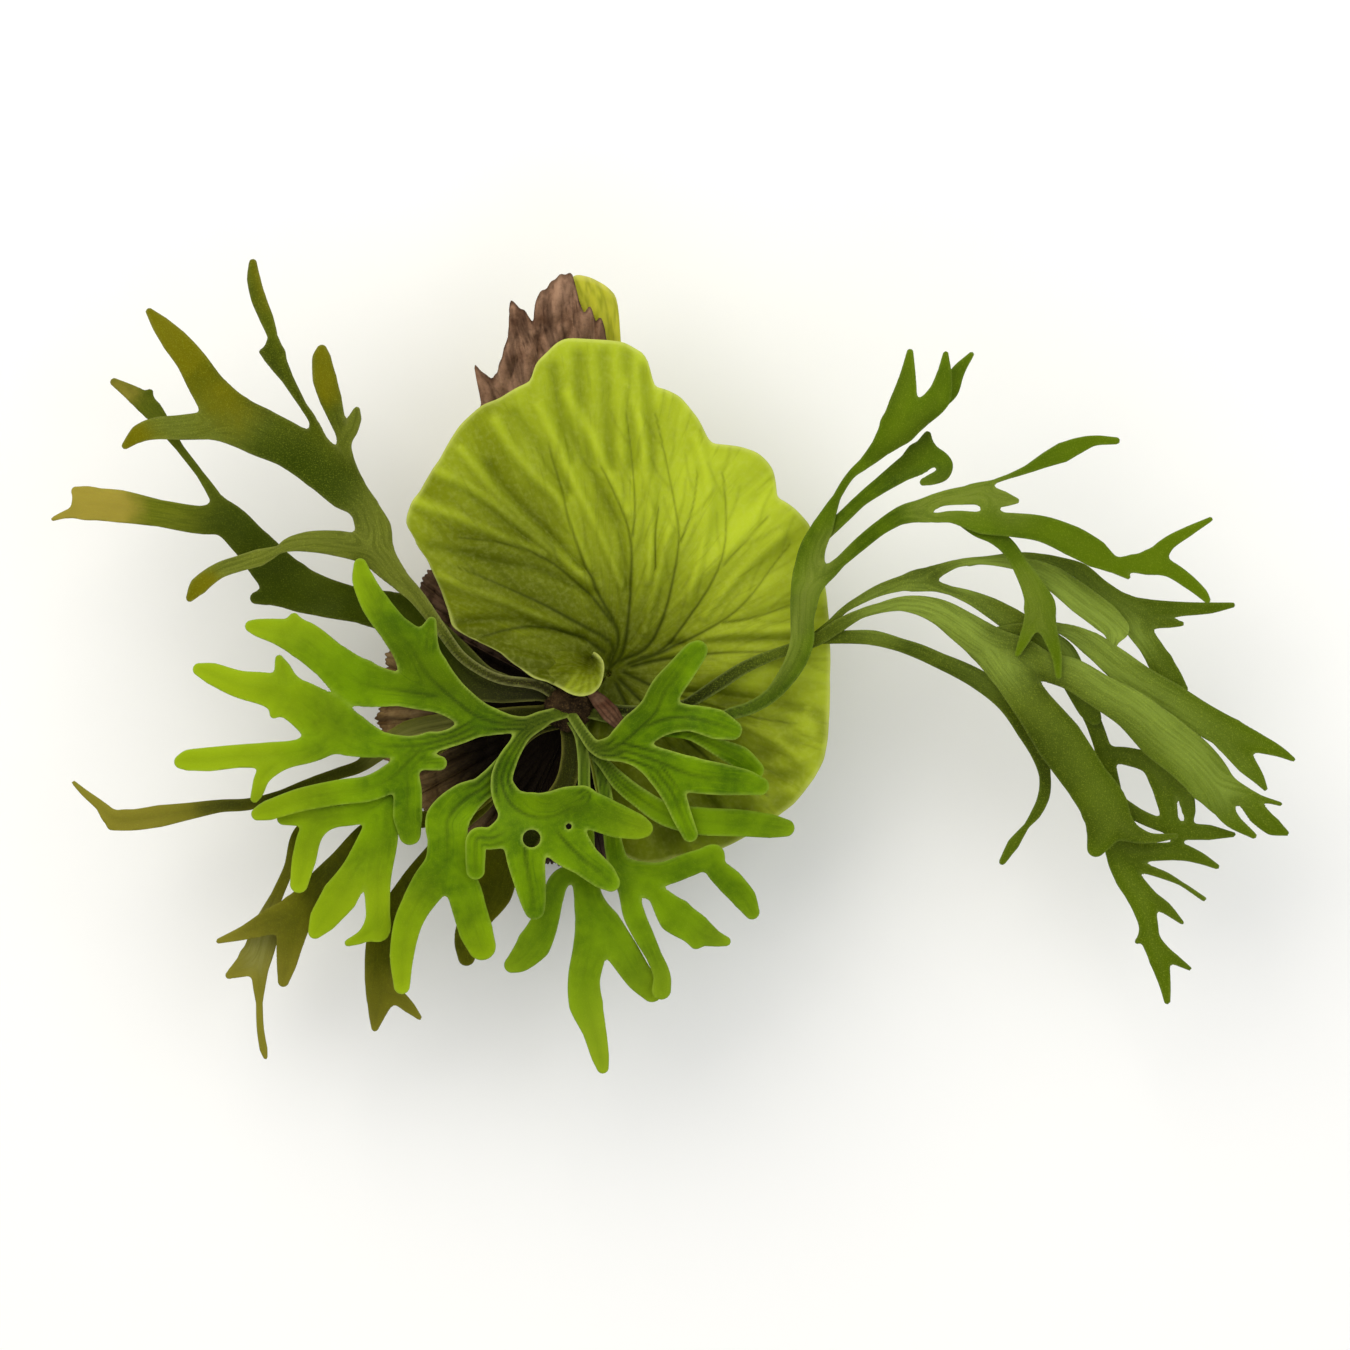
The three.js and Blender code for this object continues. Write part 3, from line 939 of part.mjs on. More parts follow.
// A shield: rays from the centre, rows along each ray, pleats that deepen towards the rim.
function shieldGeometry(shield) {
  const { centre, foot, inner, rise, rows, pleats, rays } = shield;
  const [from] = rays[0];
  const span = rays[rays.length - 1][0] - from;
  const columns = rays.length;
  const plan = [];
  const heights = [];
  rays.forEach(([degrees, reach, rim], column) => {
    const angle = THREE.MathUtils.degToRad(degrees);
    const phase = (((degrees - from) / span) * pleats.count + (column % 2) * 0.5) * Math.PI;
    for (let row = 0; row <= rows; row++) {
      const share = row / rows;
      const r = inner + (reach - inner) * share;
      plan.push([centre[0] + r * Math.cos(angle), centre[1] + r * Math.sin(angle)]);
      const fold = pleats.height * Math.sin(phase) * smoothstep(0.1, 0.8, share);
      heights.push(foot + (rim - foot) * rise(share) + fold);
    }
  });
  const faces = [];
  for (let column = 0; column < columns - 1; column++) {
    for (let row = 0; row < rows; row++) {
      const a = column * (rows + 1) + row;
      const b = a + rows + 1;
      faces.push([a, a + 1, b + 1], [a, b + 1, b]);
    }
  }
  const rim = [];
  for (let row = 0; row <= rows; row++) rim.push(row);
  for (let column = 1; column < columns; column++) rim.push(column * (rows + 1) + rows);
  for (let row = rows - 1; row >= 0; row--) rim.push((columns - 1) * (rows + 1) + row);
  for (let column = columns - 2; column > 0; column--) rim.push(column * (rows + 1));
  const heightOf = new Map(plan.map(([x, y], i) => [`${x},${y}`, heights[i]]));
  const height = (x, y) => heightOf.get(`${x},${y}`);
  return thicken(plan, faces, [rim], height, () => shield.thickness);
}

// Assembly

const fern = new THREE.Group();
const crownClearance = crownSolid(SEAT_GAP);

function addNode(name, geometry, colour, roughness) {
  const material = new THREE.MeshStandardMaterial({ color: colour, roughness, metalness: 0 });
  const mesh = new THREE.Mesh(geometry, material);
  mesh.name = name;
  fern.add(mesh);
}

// Seats a frond on the crown: what would reach into the crown is cut back to the seat gap.
function seated(solid) {
  const cut = solid.subtract(crownClearance);
  return cut.decompose().reduce((a, b) => (a.volume() > b.volume() ? a : b));
}

function addFrond(name, { sheets, colour }) {
  const joined = sheets.map(sheetSolid).reduce((a, b) => a.add(b));
  addNode(name, toGeometry(seated(joined)), colour, 0.6);
}

function addShield(name, shield) {
  const fan = toSolid(shieldGeometry(shield));
  const whole = shield.lobe ? fan.add(toSolid(shieldGeometry(shield.lobe))) : fan;
  addNode(name, toGeometry(seated(whole)), shield.colour, 0.7);
}

addNode("root_ball", ballGeometry(), COLOUR.roots, 0.95);
addNode("crown", toGeometry(crownSolid(0)), COLOUR.crown, 0.95);

addShield("brown_low_shield", BROWN_LOW_SHIELD);
addShield("brown_left_shield", BROWN_LEFT_SHIELD);
addShield("back_shield", BACK_SHIELD);
addShield("brown_top_shield", BROWN_TOP_SHIELD);
addShield("main_shield", MAIN_SHIELD);

addFrond("front_frond", FRONT_FROND);
addFrond("right_bright_frond", RIGHT_BRIGHT_FROND);
addFrond("upper_left_frond", UPPER_LEFT_FROND);
addFrond("dark_left_frond", DARK_LEFT_FROND);
addFrond("lower_centre_frond", LOWER_CENTRE_FROND);
addFrond("lower_right_frond", LOWER_RIGHT_FROND);
addFrond("right_low_frond", RIGHT_LOW_FROND);
addFrond("tall_right_frond", TALL_RIGHT_FROND);
addFrond("arching_frond", ARCHING_FROND);
for (const [name, strips] of Object.entries(OLD_FRONDS)) {
  addFrond(name, { sheets: [{ strips }], colour: COLOUR.olive });
}
addFrond("dry_scale", DRY_SCALE);

export default fern;
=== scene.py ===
"""Staghorn fern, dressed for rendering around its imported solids.

The plant lies on the flat back of its root ball with its crown facing up, and the camera looks
straight down on it. Every leaf is a thin solid sheet worked out as whole arrays: a fertile frond is
an outline in plan lifted to a height that follows its strips, and a shield is a fan of rays round a
centre. Lengths in the tables are millimetres in the part's own frame; meshes are in metres.
"""

from __future__ import annotations

import logging
import math
from dataclasses import dataclass, field
from enum import Enum

import bpy
import numpy as np
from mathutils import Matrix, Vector

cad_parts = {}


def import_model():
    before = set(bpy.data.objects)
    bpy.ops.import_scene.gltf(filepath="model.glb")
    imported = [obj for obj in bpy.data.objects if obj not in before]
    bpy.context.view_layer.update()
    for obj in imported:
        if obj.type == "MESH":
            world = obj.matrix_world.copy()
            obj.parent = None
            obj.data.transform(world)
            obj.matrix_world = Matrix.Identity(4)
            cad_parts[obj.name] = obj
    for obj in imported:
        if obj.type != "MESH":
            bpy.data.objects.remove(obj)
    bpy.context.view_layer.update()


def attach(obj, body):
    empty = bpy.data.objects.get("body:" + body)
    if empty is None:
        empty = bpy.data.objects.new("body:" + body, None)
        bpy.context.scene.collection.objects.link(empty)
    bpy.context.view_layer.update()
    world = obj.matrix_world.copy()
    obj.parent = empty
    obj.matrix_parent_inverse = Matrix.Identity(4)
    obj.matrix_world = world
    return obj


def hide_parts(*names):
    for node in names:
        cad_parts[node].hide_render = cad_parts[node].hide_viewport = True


LOG = logging.getLogger("staghorn_fern")

Array = np.ndarray
Socket = bpy.types.NodeSocket
Strip = list[list[float]]
Path = list[tuple[float, float]]
Mark = tuple[float, float, Path]
Rim = list[tuple[float, float, float]]

MM = 0.001
SEED = 20617
CROWN_AXIS = (-16.0, -4.0)

# A frond's blade: full thickness, that of its stalk, and where it thins from one to the other
BLADE_THICKNESS = 1.25
STALK_THICKNESS = 2.5
STALK_FROM = 20.0
STALK_TO = 90.0

# How strips melt into each other: radius in a fork, and reach over which their heights blend
FORK_ROUNDING = 3.0
BLEND_REACH = 3.0

CURVE_STEPS = 6  # points on each stretch of a strip's midline
BLOCK = 16384  # lattice points measured at a time, which keeps the arrays small
CORNER_CUTS = 2  # rounds of corner cutting on a drawn path
HEIGHT_BLURS = 9  # rounds of softening on a blade's height
STEEPEST = 1.6  # greatest slope that a blade's normal follows

# Along a frond, in mm from the crown: where the stalk's colour is full, where its veins begin and
# end to fade, and how far the tip's colour strays
BASE_FULL = 22.0
VEINS_FULL = 60.0
VEINS_FAINT = 130.0
TIP_STRAYS = 40.0

# Fibres of a shield: how many mm a radian round the hub counts as, wherever it is
TURN_LENGTH = 80.0

# A shield's rays: the least angle at which they start, and the least between two of them
RAY_START = -135
RAY_GAP = 0.35

# Half the width in degrees over which a shaded sector of a shield fades in
SECTOR_FADE = 11

# Pucker on the low side of a shield: angles and distances over which it comes and goes
PUCKER_COMES = (-82.0, -58.0)
PUCKER_GOES = (2.0, -16.0)
PUCKER_OUTWARD = (34.0, 66.0)

# Side veins: where the first leaves its vein, how far it turns from it, and its two links
SIDE_VEIN_FROM = 14.0
SIDE_VEIN_TURN = math.radians(28.0)
SIDE_VEIN_LINKS = (0.55, 0.6)


# Colour and shader helpers


class Slot(Enum):
    """The record's material slots."""

    BRIGHT = "leaf_bright"
    GREEN = "leaf_green"
    DARK = "leaf_dark"
    OLIVE = "leaf_olive"
    LIME = "shield_lime"
    YELLOW = "shield_yellow"
    BROWN = "shield_brown"
    FUZZ = "crown_fuzz"
    MOSS = "root_moss"


class Kind(Enum):
    """Kinds of node: Blender's name, settings, inputs in the order they are given, and output."""

    PLACE = ("ShaderNodeTexCoord", {}, (), "Object")
    READ = ("ShaderNodeAttribute", {}, (), "Fac")
    PAIR = ("ShaderNodeCombineXYZ", {}, (0, 1), 0)
    NOISE = ("ShaderNodeTexNoise", {}, ("Vector", "Scale", "Detail", "Roughness"), "Fac")
    TIMES = ("ShaderNodeMath", {"operation": "MULTIPLY"}, (0, 1), 0)
    PLUS = ("ShaderNodeMath", {"operation": "ADD"}, (0, 1), 0)
    STRETCH = (
        "ShaderNodeMapRange",
        {"interpolation_type": "SMOOTHSTEP", "clamp": True},
        ("Value", "From Min", "From Max"),
        "Result",
    )
    MIX = ("ShaderNodeMix", {"data_type": "RGBA", "clamp_factor": True}, (0, 6, 7), 2)
    BUMP = ("ShaderNodeBump", {}, ("Height", "Distance", "Strength", "Normal"), "Normal")
    SURFACE = ("ShaderNodeBsdfPrincipled", {}, (), "BSDF")
    OUTPUT = ("ShaderNodeOutputMaterial", {}, ("Surface",), None)


def linear(code: str) -> tuple[float, float, float, float]:
    """Turns an sRGB hex code into linear colour.

    Args:
        code: Colour such as "#7a9a1c".

    Returns:
        Linear red, green and blue, and full opacity.
    """
    values = [int(code[i : i + 2], 16) / 255 for i in (1, 3, 5)]
    return tuple(v / 12.92 if v <= 0.04045 else ((v + 0.055) / 1.055) ** 2.4 for v in values) + (1.0,)


def per_metre(size_mm: float) -> float:
    """Gives the scale of a pattern on Object coordinates whose blotches are size_mm across."""
    return 1.0 / (size_mm * MM)


class Shader:
    """A material under construction: its node tree and the ways in which patterns are laid on it."""

    def __init__(self, name: str) -> None:
        """Starts an empty node material that reads Object coordinates.

        Args:
            name: The material's name.
        """
        self.material = bpy.data.materials.new(name)
        self.material.use_nodes = True
        self.tree = self.material.node_tree
        self.tree.nodes.clear()
        self.place = self.add(Kind.PLACE)

    def add(
        self, kind: Kind, *values: object, named: dict | None = None, **settings: object
    ) -> Socket | None:
        """Adds one node with its settings and links.

        Args:
            kind: Kind of the node.
            *values: Plain value or feeding socket for each of the kind's inputs, in their order; an
                input given None keeps its own value.
            named: The same for inputs by name.
            **settings: Further attributes of the node.

        Returns:
            The node's output socket.
        """
        node_type, fixed, order, output = kind.value
        node = self.tree.nodes.new(node_type)
        for key, value in {**fixed, **settings}.items():
            setattr(node, key, value)
        for key, value in [*zip(order, values), *(named or {}).items()]:
            if isinstance(value, Socket):
                self.tree.links.new(value, node.inputs[key])
            elif value is not None:
                node.inputs[key].default_value = value
        return None if output is None else node.outputs[output]

    def read(self, keys: str) -> list[Socket]:
        """Gives the sockets of the mesh attributes named in keys, parted by blanks."""
        return [self.add(Kind.READ, attribute_name=key) for key in keys.split()]

    def streaks(self, across: Socket, width_mm: float, along: Socket, length_mm: float) -> Socket:
        """Gives noise drawn out into streaks, read in two coordinates kept with the mesh's corners.

        Args:
            across: Place across the streaks, in mm.
            width_mm: Width of a streak.
            along: Place along them, in mm.
            length_mm: Length of a streak.

        Returns:
            The noise value, between 0 and 1.
        """
        column = self.add(Kind.TIMES, across, 1 / width_mm)
        row = self.add(Kind.TIMES, along, 1 / length_mm)
        return self.add(Kind.NOISE, self.add(Kind.PAIR, column, row), 1.0, 3.0, 0.55)

    def part(self, value: Socket, low: float, high: float, share: float) -> Socket:
        """Stretches a value smoothly so that low becomes 0 and high becomes share.

        Args:
            value: The value.
            low: Value that becomes 0.
            high: Value that becomes the share; below low, the scale runs the other way.
            share: Greatest share of a coat.

        Returns:
            The share at each point.
        """
        return self.add(Kind.TIMES, self.add(Kind.STRETCH, value, low, high), share)

    def level(self, share: Socket, low: float, high: float) -> Socket:
        """Gives low where the share is 0 and high where it is 1: low plus share times their difference.

        Args:
            share: Share at each point.
            low: Result at share 0.
            high: Result at share 1.

        Returns:
            The level at each point.
        """
        return self.add(Kind.PLUS, self.add(Kind.TIMES, share, high - low), low)

    def coats(self, ground: str, layers: list[tuple[Socket, str]]) -> Socket:
        """Lays colours over a ground, one after another.

        Args:
            ground: Hex colour of the ground.
            layers: Share and hex colour of each coat.

        Returns:
            The colour.
        """
        colour = linear(ground)
        for share, code in layers:
            colour = self.add(Kind.MIX, share, colour, linear(code))
        return colour

    def relief(self, layers: list[tuple[Socket, float, float]]) -> Socket:
        """Bumps the normal by patterns, one after another.

        Args:
            layers: Pattern, depth in mm and strength of each.

        Returns:
            The normal.
        """
        normal = None
        for pattern, depth_mm, strength in layers:
            normal = self.add(Kind.BUMP, pattern, depth_mm * MM, strength, normal)
        return normal

    def finish(self, **sockets: object) -> bpy.types.Material:
        """Closes the material with its surface shader.

        Args:
            **sockets: Inputs of the shader, their names with underscores for blanks, each with a
                plain value or a feeding socket.

        Returns:
            The finished material.
        """
        named = {key.replace("_", " "): value for key, value in sockets.items()}
        self.add(Kind.OUTPUT, self.add(Kind.SURFACE, named=named))
        return self.material


# Finishes


@dataclass(frozen=True)
class Finish:
    """What every finish has: the name of its material and its slot in the record."""

    name: str
    slot: Slot

    def make(self) -> bpy.types.Material:
        """Makes the material; each finish has its own way."""
        raise NotImplementedError

    def material(self) -> bpy.types.Material:
        """Gives the material, made at its first use."""
        return bpy.data.materials.get(self.name) or self.make()


@dataclass(frozen=True)
class FrondFinish(Finish):
    """Living staghorn frond: a leathery blade under a thin felt of star-shaped hairs.

    The felt gives the eye a soft bloom over a saturated green, dark threads where the main veins
    run, and a fine pale line along the margin. Hairs are drawn 0.6 mm apart, coarser than life, so
    that they show.
    """

    deep: str
    light: str
    vein: str
    margin: str
    under: str
    tip: str
    tip_from: float = 110.0
    tip_to: float = 200.0
    base: str = "#414a10"
    base_to: float = 62.0
    # crest: colour of a blade's middle; paler than deep in HOARY, SHADED and DARK, where it is a painted
    # highlight on the arched crown, and darker in BRIGHT, where it is a deeper tone
    crest: str = ""
    crest_share: float = 0.25
    # colour of the pale marks: felt of hairs, and on the arching frond a painted highlight
    felt_and_highlight: str = "#7d8f3e"
    # painted shade: colour laid where the blade lies in shadow
    dusk: str = "#2c3800"
    hair: str = "#b9c840"
    bloom: float = 0.08

    def make(self) -> bpy.types.Material:
        """Makes the material: greens from stalk to tip, then marks, among them painted shade and painted
        highlights, veins, margin and bloom.

        Returns:
            The material.
        """
        s = Shader(self.name)
        add = s.add
        vein, edge, along, side, under = s.read("vein edge along side under")
        centre, pale, dusk, aged = s.read("inner pale dusk aged")
        blotch = add(Kind.STRETCH, add(Kind.NOISE, s.place, per_metre(24), 3.0, 0.55), 0.3, 0.7)
        grain = add(Kind.NOISE, s.place, per_metre(3.0), 4.0, 0.6)
        felt = add(Kind.NOISE, s.place, per_metre(0.6), 2.0, 0.6)
        uneven = add(Kind.TIMES, add(Kind.NOISE, s.place, per_metre(11), 3.0, 0.6), 0.5)
        straying = add(Kind.TIMES, add(Kind.NOISE, s.place, per_metre(30), 2.0, 0.5), TIP_STRAYS)
        fibre = s.streaks(side, 1.2, along, 24.0)
        brushed = s.level(add(Kind.STRETCH, fibre, 0.36, 0.6), 0.6, 1.0)
        near = add(Kind.STRETCH, along, VEINS_FAINT, VEINS_FULL)
        strayed = add(Kind.PLUS, along, straying)
        mean = TIP_STRAYS / 2
        tipward = add(Kind.STRETCH, strayed, self.tip_from + mean, self.tip_to + mean)
        colour = s.coats(self.deep, [
            (blotch, self.light),
            (s.part(grain, 0.35, 0.7, 0.2), self.light),
            (s.part(fibre, 0.5, 0.72, 0.4), self.light),
            (s.part(fibre, 0.46, 0.26, 0.38), self.deep),
            (tipward, self.tip),
            # blade's middle: painted highlight in HOARY, SHADED and DARK, a darker tone in the others
            (s.part(centre, 0.3, 1.0, self.crest_share), self.crest or self.deep),
            (add(Kind.STRETCH, along, self.base_to, BASE_FULL), self.base),
            # pale marks: felt, and on the arching frond painted highlights
            (add(Kind.TIMES, pale, brushed), self.felt_and_highlight),
            # painted shade where the blade lies in shadow
            (add(Kind.TIMES, dusk, 0.85), self.dusk),
            (add(Kind.STRETCH, add(Kind.PLUS, aged, uneven), 0.35, 1.15), self.tip),
            (add(Kind.TIMES, vein, s.level(near, 0.35, 0.95)), self.vein),
            (add(Kind.TIMES, edge, s.level(near, 0.16, 0.5)), self.margin),
            (s.part(felt, 0.5, 0.74, self.bloom), self.hair),
            (add(Kind.TIMES, under, 0.75), self.under),
        ])
        normal = s.relief([
            (add(Kind.NOISE, s.place, per_metre(0.7), 3.0, 0.6), 0.12, 0.5),
            (add(Kind.NOISE, s.place, per_metre(4.5), 3.0, 0.5), 0.6, 0.5),
            (fibre, 0.3, 0.5),
        ])
        return s.finish(
            Base_Color=colour,
            Roughness=0.5,
            Normal=normal,
            IOR=1.45,
            Subsurface_Weight=0.1,
            Subsurface_Radius=(0.9, 1.3, 0.15),
            Subsurface_Scale=0.0012,
            Sheen_Weight=0.02,
            Sheen_Roughness=0.4,
            Sheen_Tint=linear("#dfe8a0"),
            Specular_IOR_Level=0.05,
        )


@dataclass(frozen=True)
class ShieldFinish(Finish):
    """Living shield leaf: a thin waxy disc, bright between dark sunken veins and pale at its rim."""

    light: str
    deep: str
    # dark green laid in valleys as painted shade, and in fine dark streaks
    valley: str
    shade: str
    vein: str
    margin: str
    under: str

    def make(self) -> bpy.types.Material:
        """Makes the material: greens that spread from the hub and pale towards the lit side as painted
        light, painted highlights on ridges and painted shade in valleys, shade, veins and rim.

        Returns:
            The material.
        """
        s = Shader(self.name)
        add = s.add
        vein, edge, ridge, valley, shade = s.read("vein edge ridge valley shade")
        under, pale, turn, spoke = s.read("under pale turn spoke")
        blotch = add(Kind.STRETCH, add(Kind.NOISE, s.place, per_metre(38), 3.0, 0.5), 0.3, 0.7)
        grain = add(Kind.NOISE, s.place, per_metre(2.6), 4.0, 0.6)
        broad = s.streaks(turn, 8.0, spoke, 60.0)
        fine = s.streaks(turn, 2.4, spoke, 30.0)
        # painted light: paler towards the lit side, with random blotches
        paler = add(Kind.PLUS, add(Kind.TIMES, blotch, 0.2), add(Kind.TIMES, pale, 0.8))
        colour = s.coats(self.deep, [
            (paler, self.light),
            (s.part(broad, 0.6, 0.35, 0.3), self.deep),
            (s.part(fine, 0.5, 0.7, 0.16), self.light),
            # painted shade in the valleys of the folds
            (add(Kind.TIMES, valley, 0.5), self.valley),
            # painted highlight on ridges and pleat crests
            (add(Kind.TIMES, ridge, 0.55), self.light),
            (s.part(fine, 0.45, 0.3, 0.22), self.valley),
            (add(Kind.TIMES, shade, 0.78), self.shade),
            (s.part(grain, 0.4, 0.75, 0.1), self.margin),
            (add(Kind.TIMES, vein, 0.88), self.vein),
            (add(Kind.TIMES, edge, 0.55), self.margin),
            (add(Kind.TIMES, under, 0.6), self.under),
        ])
        normal = s.relief([
            (add(Kind.NOISE, s.place, per_metre(1.1), 3.0, 0.55), 0.1, 0.5),
            (fine, 0.3, 0.5),
            (broad, 0.8, 0.5),
        ])
        return s.finish(
            Base_Color=colour,
            Roughness=0.48,
            Normal=normal,
            IOR=1.45,
            Subsurface_Weight=0.12,
            Subsurface_Radius=(1.1, 1.4, 0.15),
            Subsurface_Scale=0.0015,
            Specular_IOR_Level=0.07,
        )


@dataclass(frozen=True)
class PaperFinish(Finish):
    """Dead shield leaf: brown parchment with raised darker ribs, painted lighter on its folds as painted
    highlight.
    """

    light: str
    deep: str
    rib: str
    edge: str
    gloom: str = "#150d06"

    def make(self) -> bpy.types.Material:
        """Makes the material: blotched browns, fibres that run out from the hub, painted highlights on
        folds, ribs with dark crease lines of painted shade, and shade.

        Returns:
            The material.
        """
        s = Shader(self.name)
        add = s.add
        ridge, vein, edge, shade, turn, along = s.read("ridge vein edge shade turn spoke")
        blotch = add(Kind.STRETCH, add(Kind.NOISE, s.place, per_metre(14), 5.0, 0.65), 0.3, 0.72)
        fibre = add(Kind.NOISE, s.place, per_metre(2.2), 5.0, 0.7)
        spoke = s.streaks(turn, 2.6, along, 40.0)
        colour = s.coats(self.deep, [
            (blotch, self.light),
            # painted highlight on folds and crease crests
            (add(Kind.TIMES, ridge, 0.7), self.light),
            (s.part(fibre, 0.42, 0.7, 0.32), self.rib),
            (s.part(spoke, 0.52, 0.36, 0.55), self.rib),
            (s.part(spoke, 0.56, 0.7, 0.4), self.edge),
            # ribs of the veins, and dark crease lines that are painted shade
            (add(Kind.TIMES, vein, 0.8), self.rib),
            (add(Kind.TIMES, edge, 0.6), self.rib),
            (shade, self.gloom),
        ])
        normal = s.relief([
            (add(Kind.NOISE, s.place, per_metre(0.9), 4.0, 0.65), 0.2, 0.7),
            (add(Kind.NOISE, s.place, per_metre(5.5), 4.0, 0.6), 0.9, 0.7),
            (spoke, 1.2, 0.8),
        ])
        return s.finish(Base_Color=colour, Roughness=0.85, Normal=normal, Specular_IOR_Level=0.12)


@dataclass(frozen=True)
class FuzzFinish(Finish):
    """Matted roots, moss or bud scales: dull dark fibre with lighter flecks."""

    light: str
    deep: str
    fleck: str
    size: float = 5.0

    def make(self) -> bpy.types.Material:
        """Makes the material: blotches three sizes wide under flecks of four tenths of a size.

        Returns:
            The material.
        """
        s = Shader(self.name)
        add = s.add
        blotch = add(Kind.STRETCH, add(Kind.NOISE, s.place, per_metre(self.size * 3), 4.0, 0.6), 0.32, 0.68)
        fleck = add(Kind.NOISE, s.place, per_metre(self.size * 0.4), 4.0, 0.7)
        colour = s.coats(self.deep, [(blotch, self.light), (s.part(fleck, 0.5, 0.72, 0.6), self.fleck)])
        normal = s.relief([
            (add(Kind.NOISE, s.place, per_metre(self.size * 0.25), 4.0, 0.7), 0.6, 0.9),
            (add(Kind.NOISE, s.place, per_metre(self.size), 4.0, 0.6), 1.6, 0.8),
        ])
        return s.finish(Base_Color=colour, Roughness=0.92, Normal=normal, Specular_IOR_Level=0.1)


# In the frond finishes below, the colour for shadowed marks is painted shade.
BRIGHT = FrondFinish(
    "young_frond_skin", Slot.BRIGHT, deep="#3e5e00", light="#6c8e00", vein="#243702", margin="#a8ba50",
    under="#7c9440", tip="#8ca40e", tip_from=100.0, tip_to=185.0, base="#4a5a0e", base_to=48.0,
    crest="#3a5400", crest_share=0.15,
)
GREEN = FrondFinish(
    "grown_frond_skin", Slot.GREEN, deep="#4a6800", light="#6c8c02", vein="#2a3c02", margin="#9db04c",
    under="#849448", tip="#89a01a", base="#465610", base_to=55.0,
)
# its crest, paler than deep, is a painted highlight on arched blades
SHADED = FrondFinish(
    "shaded_frond_skin", Slot.GREEN, deep="#304600", light="#506704", vein="#1b2604", margin="#8f9f4a",
    under="#85934c", tip="#566c00", tip_from=190.0, tip_to=330.0, base="#454d12", base_to=80.0,
    crest="#6a7e10", crest_share=0.22, bloom=0.12, felt_and_highlight="#74822e",
)
# its crest, paler than deep, is a painted highlight on arched blades
HOARY = FrondFinish(
    "hoary_frond_skin", Slot.GREEN, deep="#2f3800", light="#4d5604", vein="#24260a", margin="#98995c",
    under="#858a50", tip="#686400", tip_from=600.0, tip_to=700.0, bloom=0.16, base="#2a250e",
    base_to=92.0, crest="#3c4800", crest_share=0.2, felt_and_highlight="#6c7426", dusk="#2c3a00",
)
# its crest, paler than deep, is a painted highlight on arched blades
DARK = FrondFinish(
    "old_green_frond_skin", Slot.DARK, deep="#303d02", light="#4d5a10", vein="#1c2206",
    margin="#8d9a4c", under="#76803c", tip="#4e6200", tip_from=230.0, tip_to=400.0, base="#26270c",
    base_to=120.0, crest="#687824", crest_share=0.3, felt_and_highlight="#869a3c", bloom=0.2,
)
BROWN_TIPPED = FrondFinish(
    "brown_tipped_frond_skin", Slot.DARK, deep="#333f00", light="#454f06", vein="#22260a",
    margin="#8b8c48", under="#6d7434", tip="#988a34", tip_from=600.0, tip_to=700.0, base="#2d2b15",
    base_to=88.0, felt_and_highlight="#666d14", dusk="#2b3600",
)
OLIVE = FrondFinish(
    "ageing_frond_skin", Slot.OLIVE, deep="#3c3f00", light="#595902", vein="#2a2b02", margin="#8e8a3c",
    under="#76743a", tip="#7c7624", tip_from=150.0, tip_to=240.0, base="#262a06", base_to=95.0,
    felt_and_highlight="#8c8a48", dusk="#1e2406",
)
LIME_SHIELD = ShieldFinish(
    "living_shield_skin", Slot.LIME, light="#b4c42c", deep="#6c7600", valley="#4f5a00",
    shade="#2f3600", vein="#2e3600", margin="#ccd374", under="#9da33c",
)
YELLOW_SHIELD = ShieldFinish(
    "upright_shield_skin", Slot.YELLOW, light="#bcbb34", deep="#a3a322", valley="#8a9016",
    shade="#5a5f10", vein="#66700c", margin="#cfcb70", under="#9a9a48",
)
PARCHMENT = PaperFinish(
    "dead_shield_parchment", Slot.BROWN, light="#967358", deep="#5c3a27", rib="#221209", edge="#ac8a6e",
)
WEATHERED = PaperFinish(
    "weathered_shield_parchment", Slot.BROWN, light="#a68267", deep="#664631", rib="#2a180e",
    edge="#b8967a",
)
# a lighter copy of the dead parchment, painted light for the left shield, which lies in shade under the
# fronds
LIT_PARCHMENT = PaperFinish(
    "lit_shield_parchment", Slot.BROWN, light="#a88a5c", deep="#6e4e2a", rib="#3a2614",
    edge="#bca078",
)
BUD_FUZZ = FuzzFinish("crown_scales", Slot.FUZZ, light="#4a3822", deep="#1f160c", fleck="#7a6038", size=3.0)
ROOT_MAT = FuzzFinish("matted_roots", Slot.MOSS, light="#5f482e", deep="#2a1d11", fleck="#857044", size=6.0)


# Sheet geometry


class Ripple(Enum):
    """Sets of uneven waves: about how long they are, in mm, and the number that seeds them."""

    WAVE = (60.0, 5)
    WAVELET = (24.0, 6)
    SWAY = (75.0, 7)
    CREASE = (26.0, 11)
    FINE_CREASE = (15.0, 12)
    FIBRE = (50.0, 14)
    PUCKER = (21.0, 21)


def ripples(x: Array, y: Array, kind: Ripple, count: int = 9) -> Array:
    """Gives smooth uneven waves about 1 high.

    They are a sum of sines of random heading, length and phase, over the root of their count.

    Args:
        x: Points' x.
        y: Points' y.
        kind: Which set of waves.
        count: How many sines.

    Returns:
        The height of the waves at each point.
    """
    size, number = kind.value
    rng = np.random.default_rng(SEED + number)
    total = np.zeros(np.broadcast(x, y).shape)
    draws = (rng.random(count) * 2 * math.pi, 0.6 + rng.random(count), rng.random(count) * 7)
    for heading, stretch, phase in zip(*draws):
        way = x * math.cos(heading) + y * math.sin(heading)
        total += np.sin(way * 2 * math.pi / (size * stretch) + phase)
    return total / math.sqrt(count)


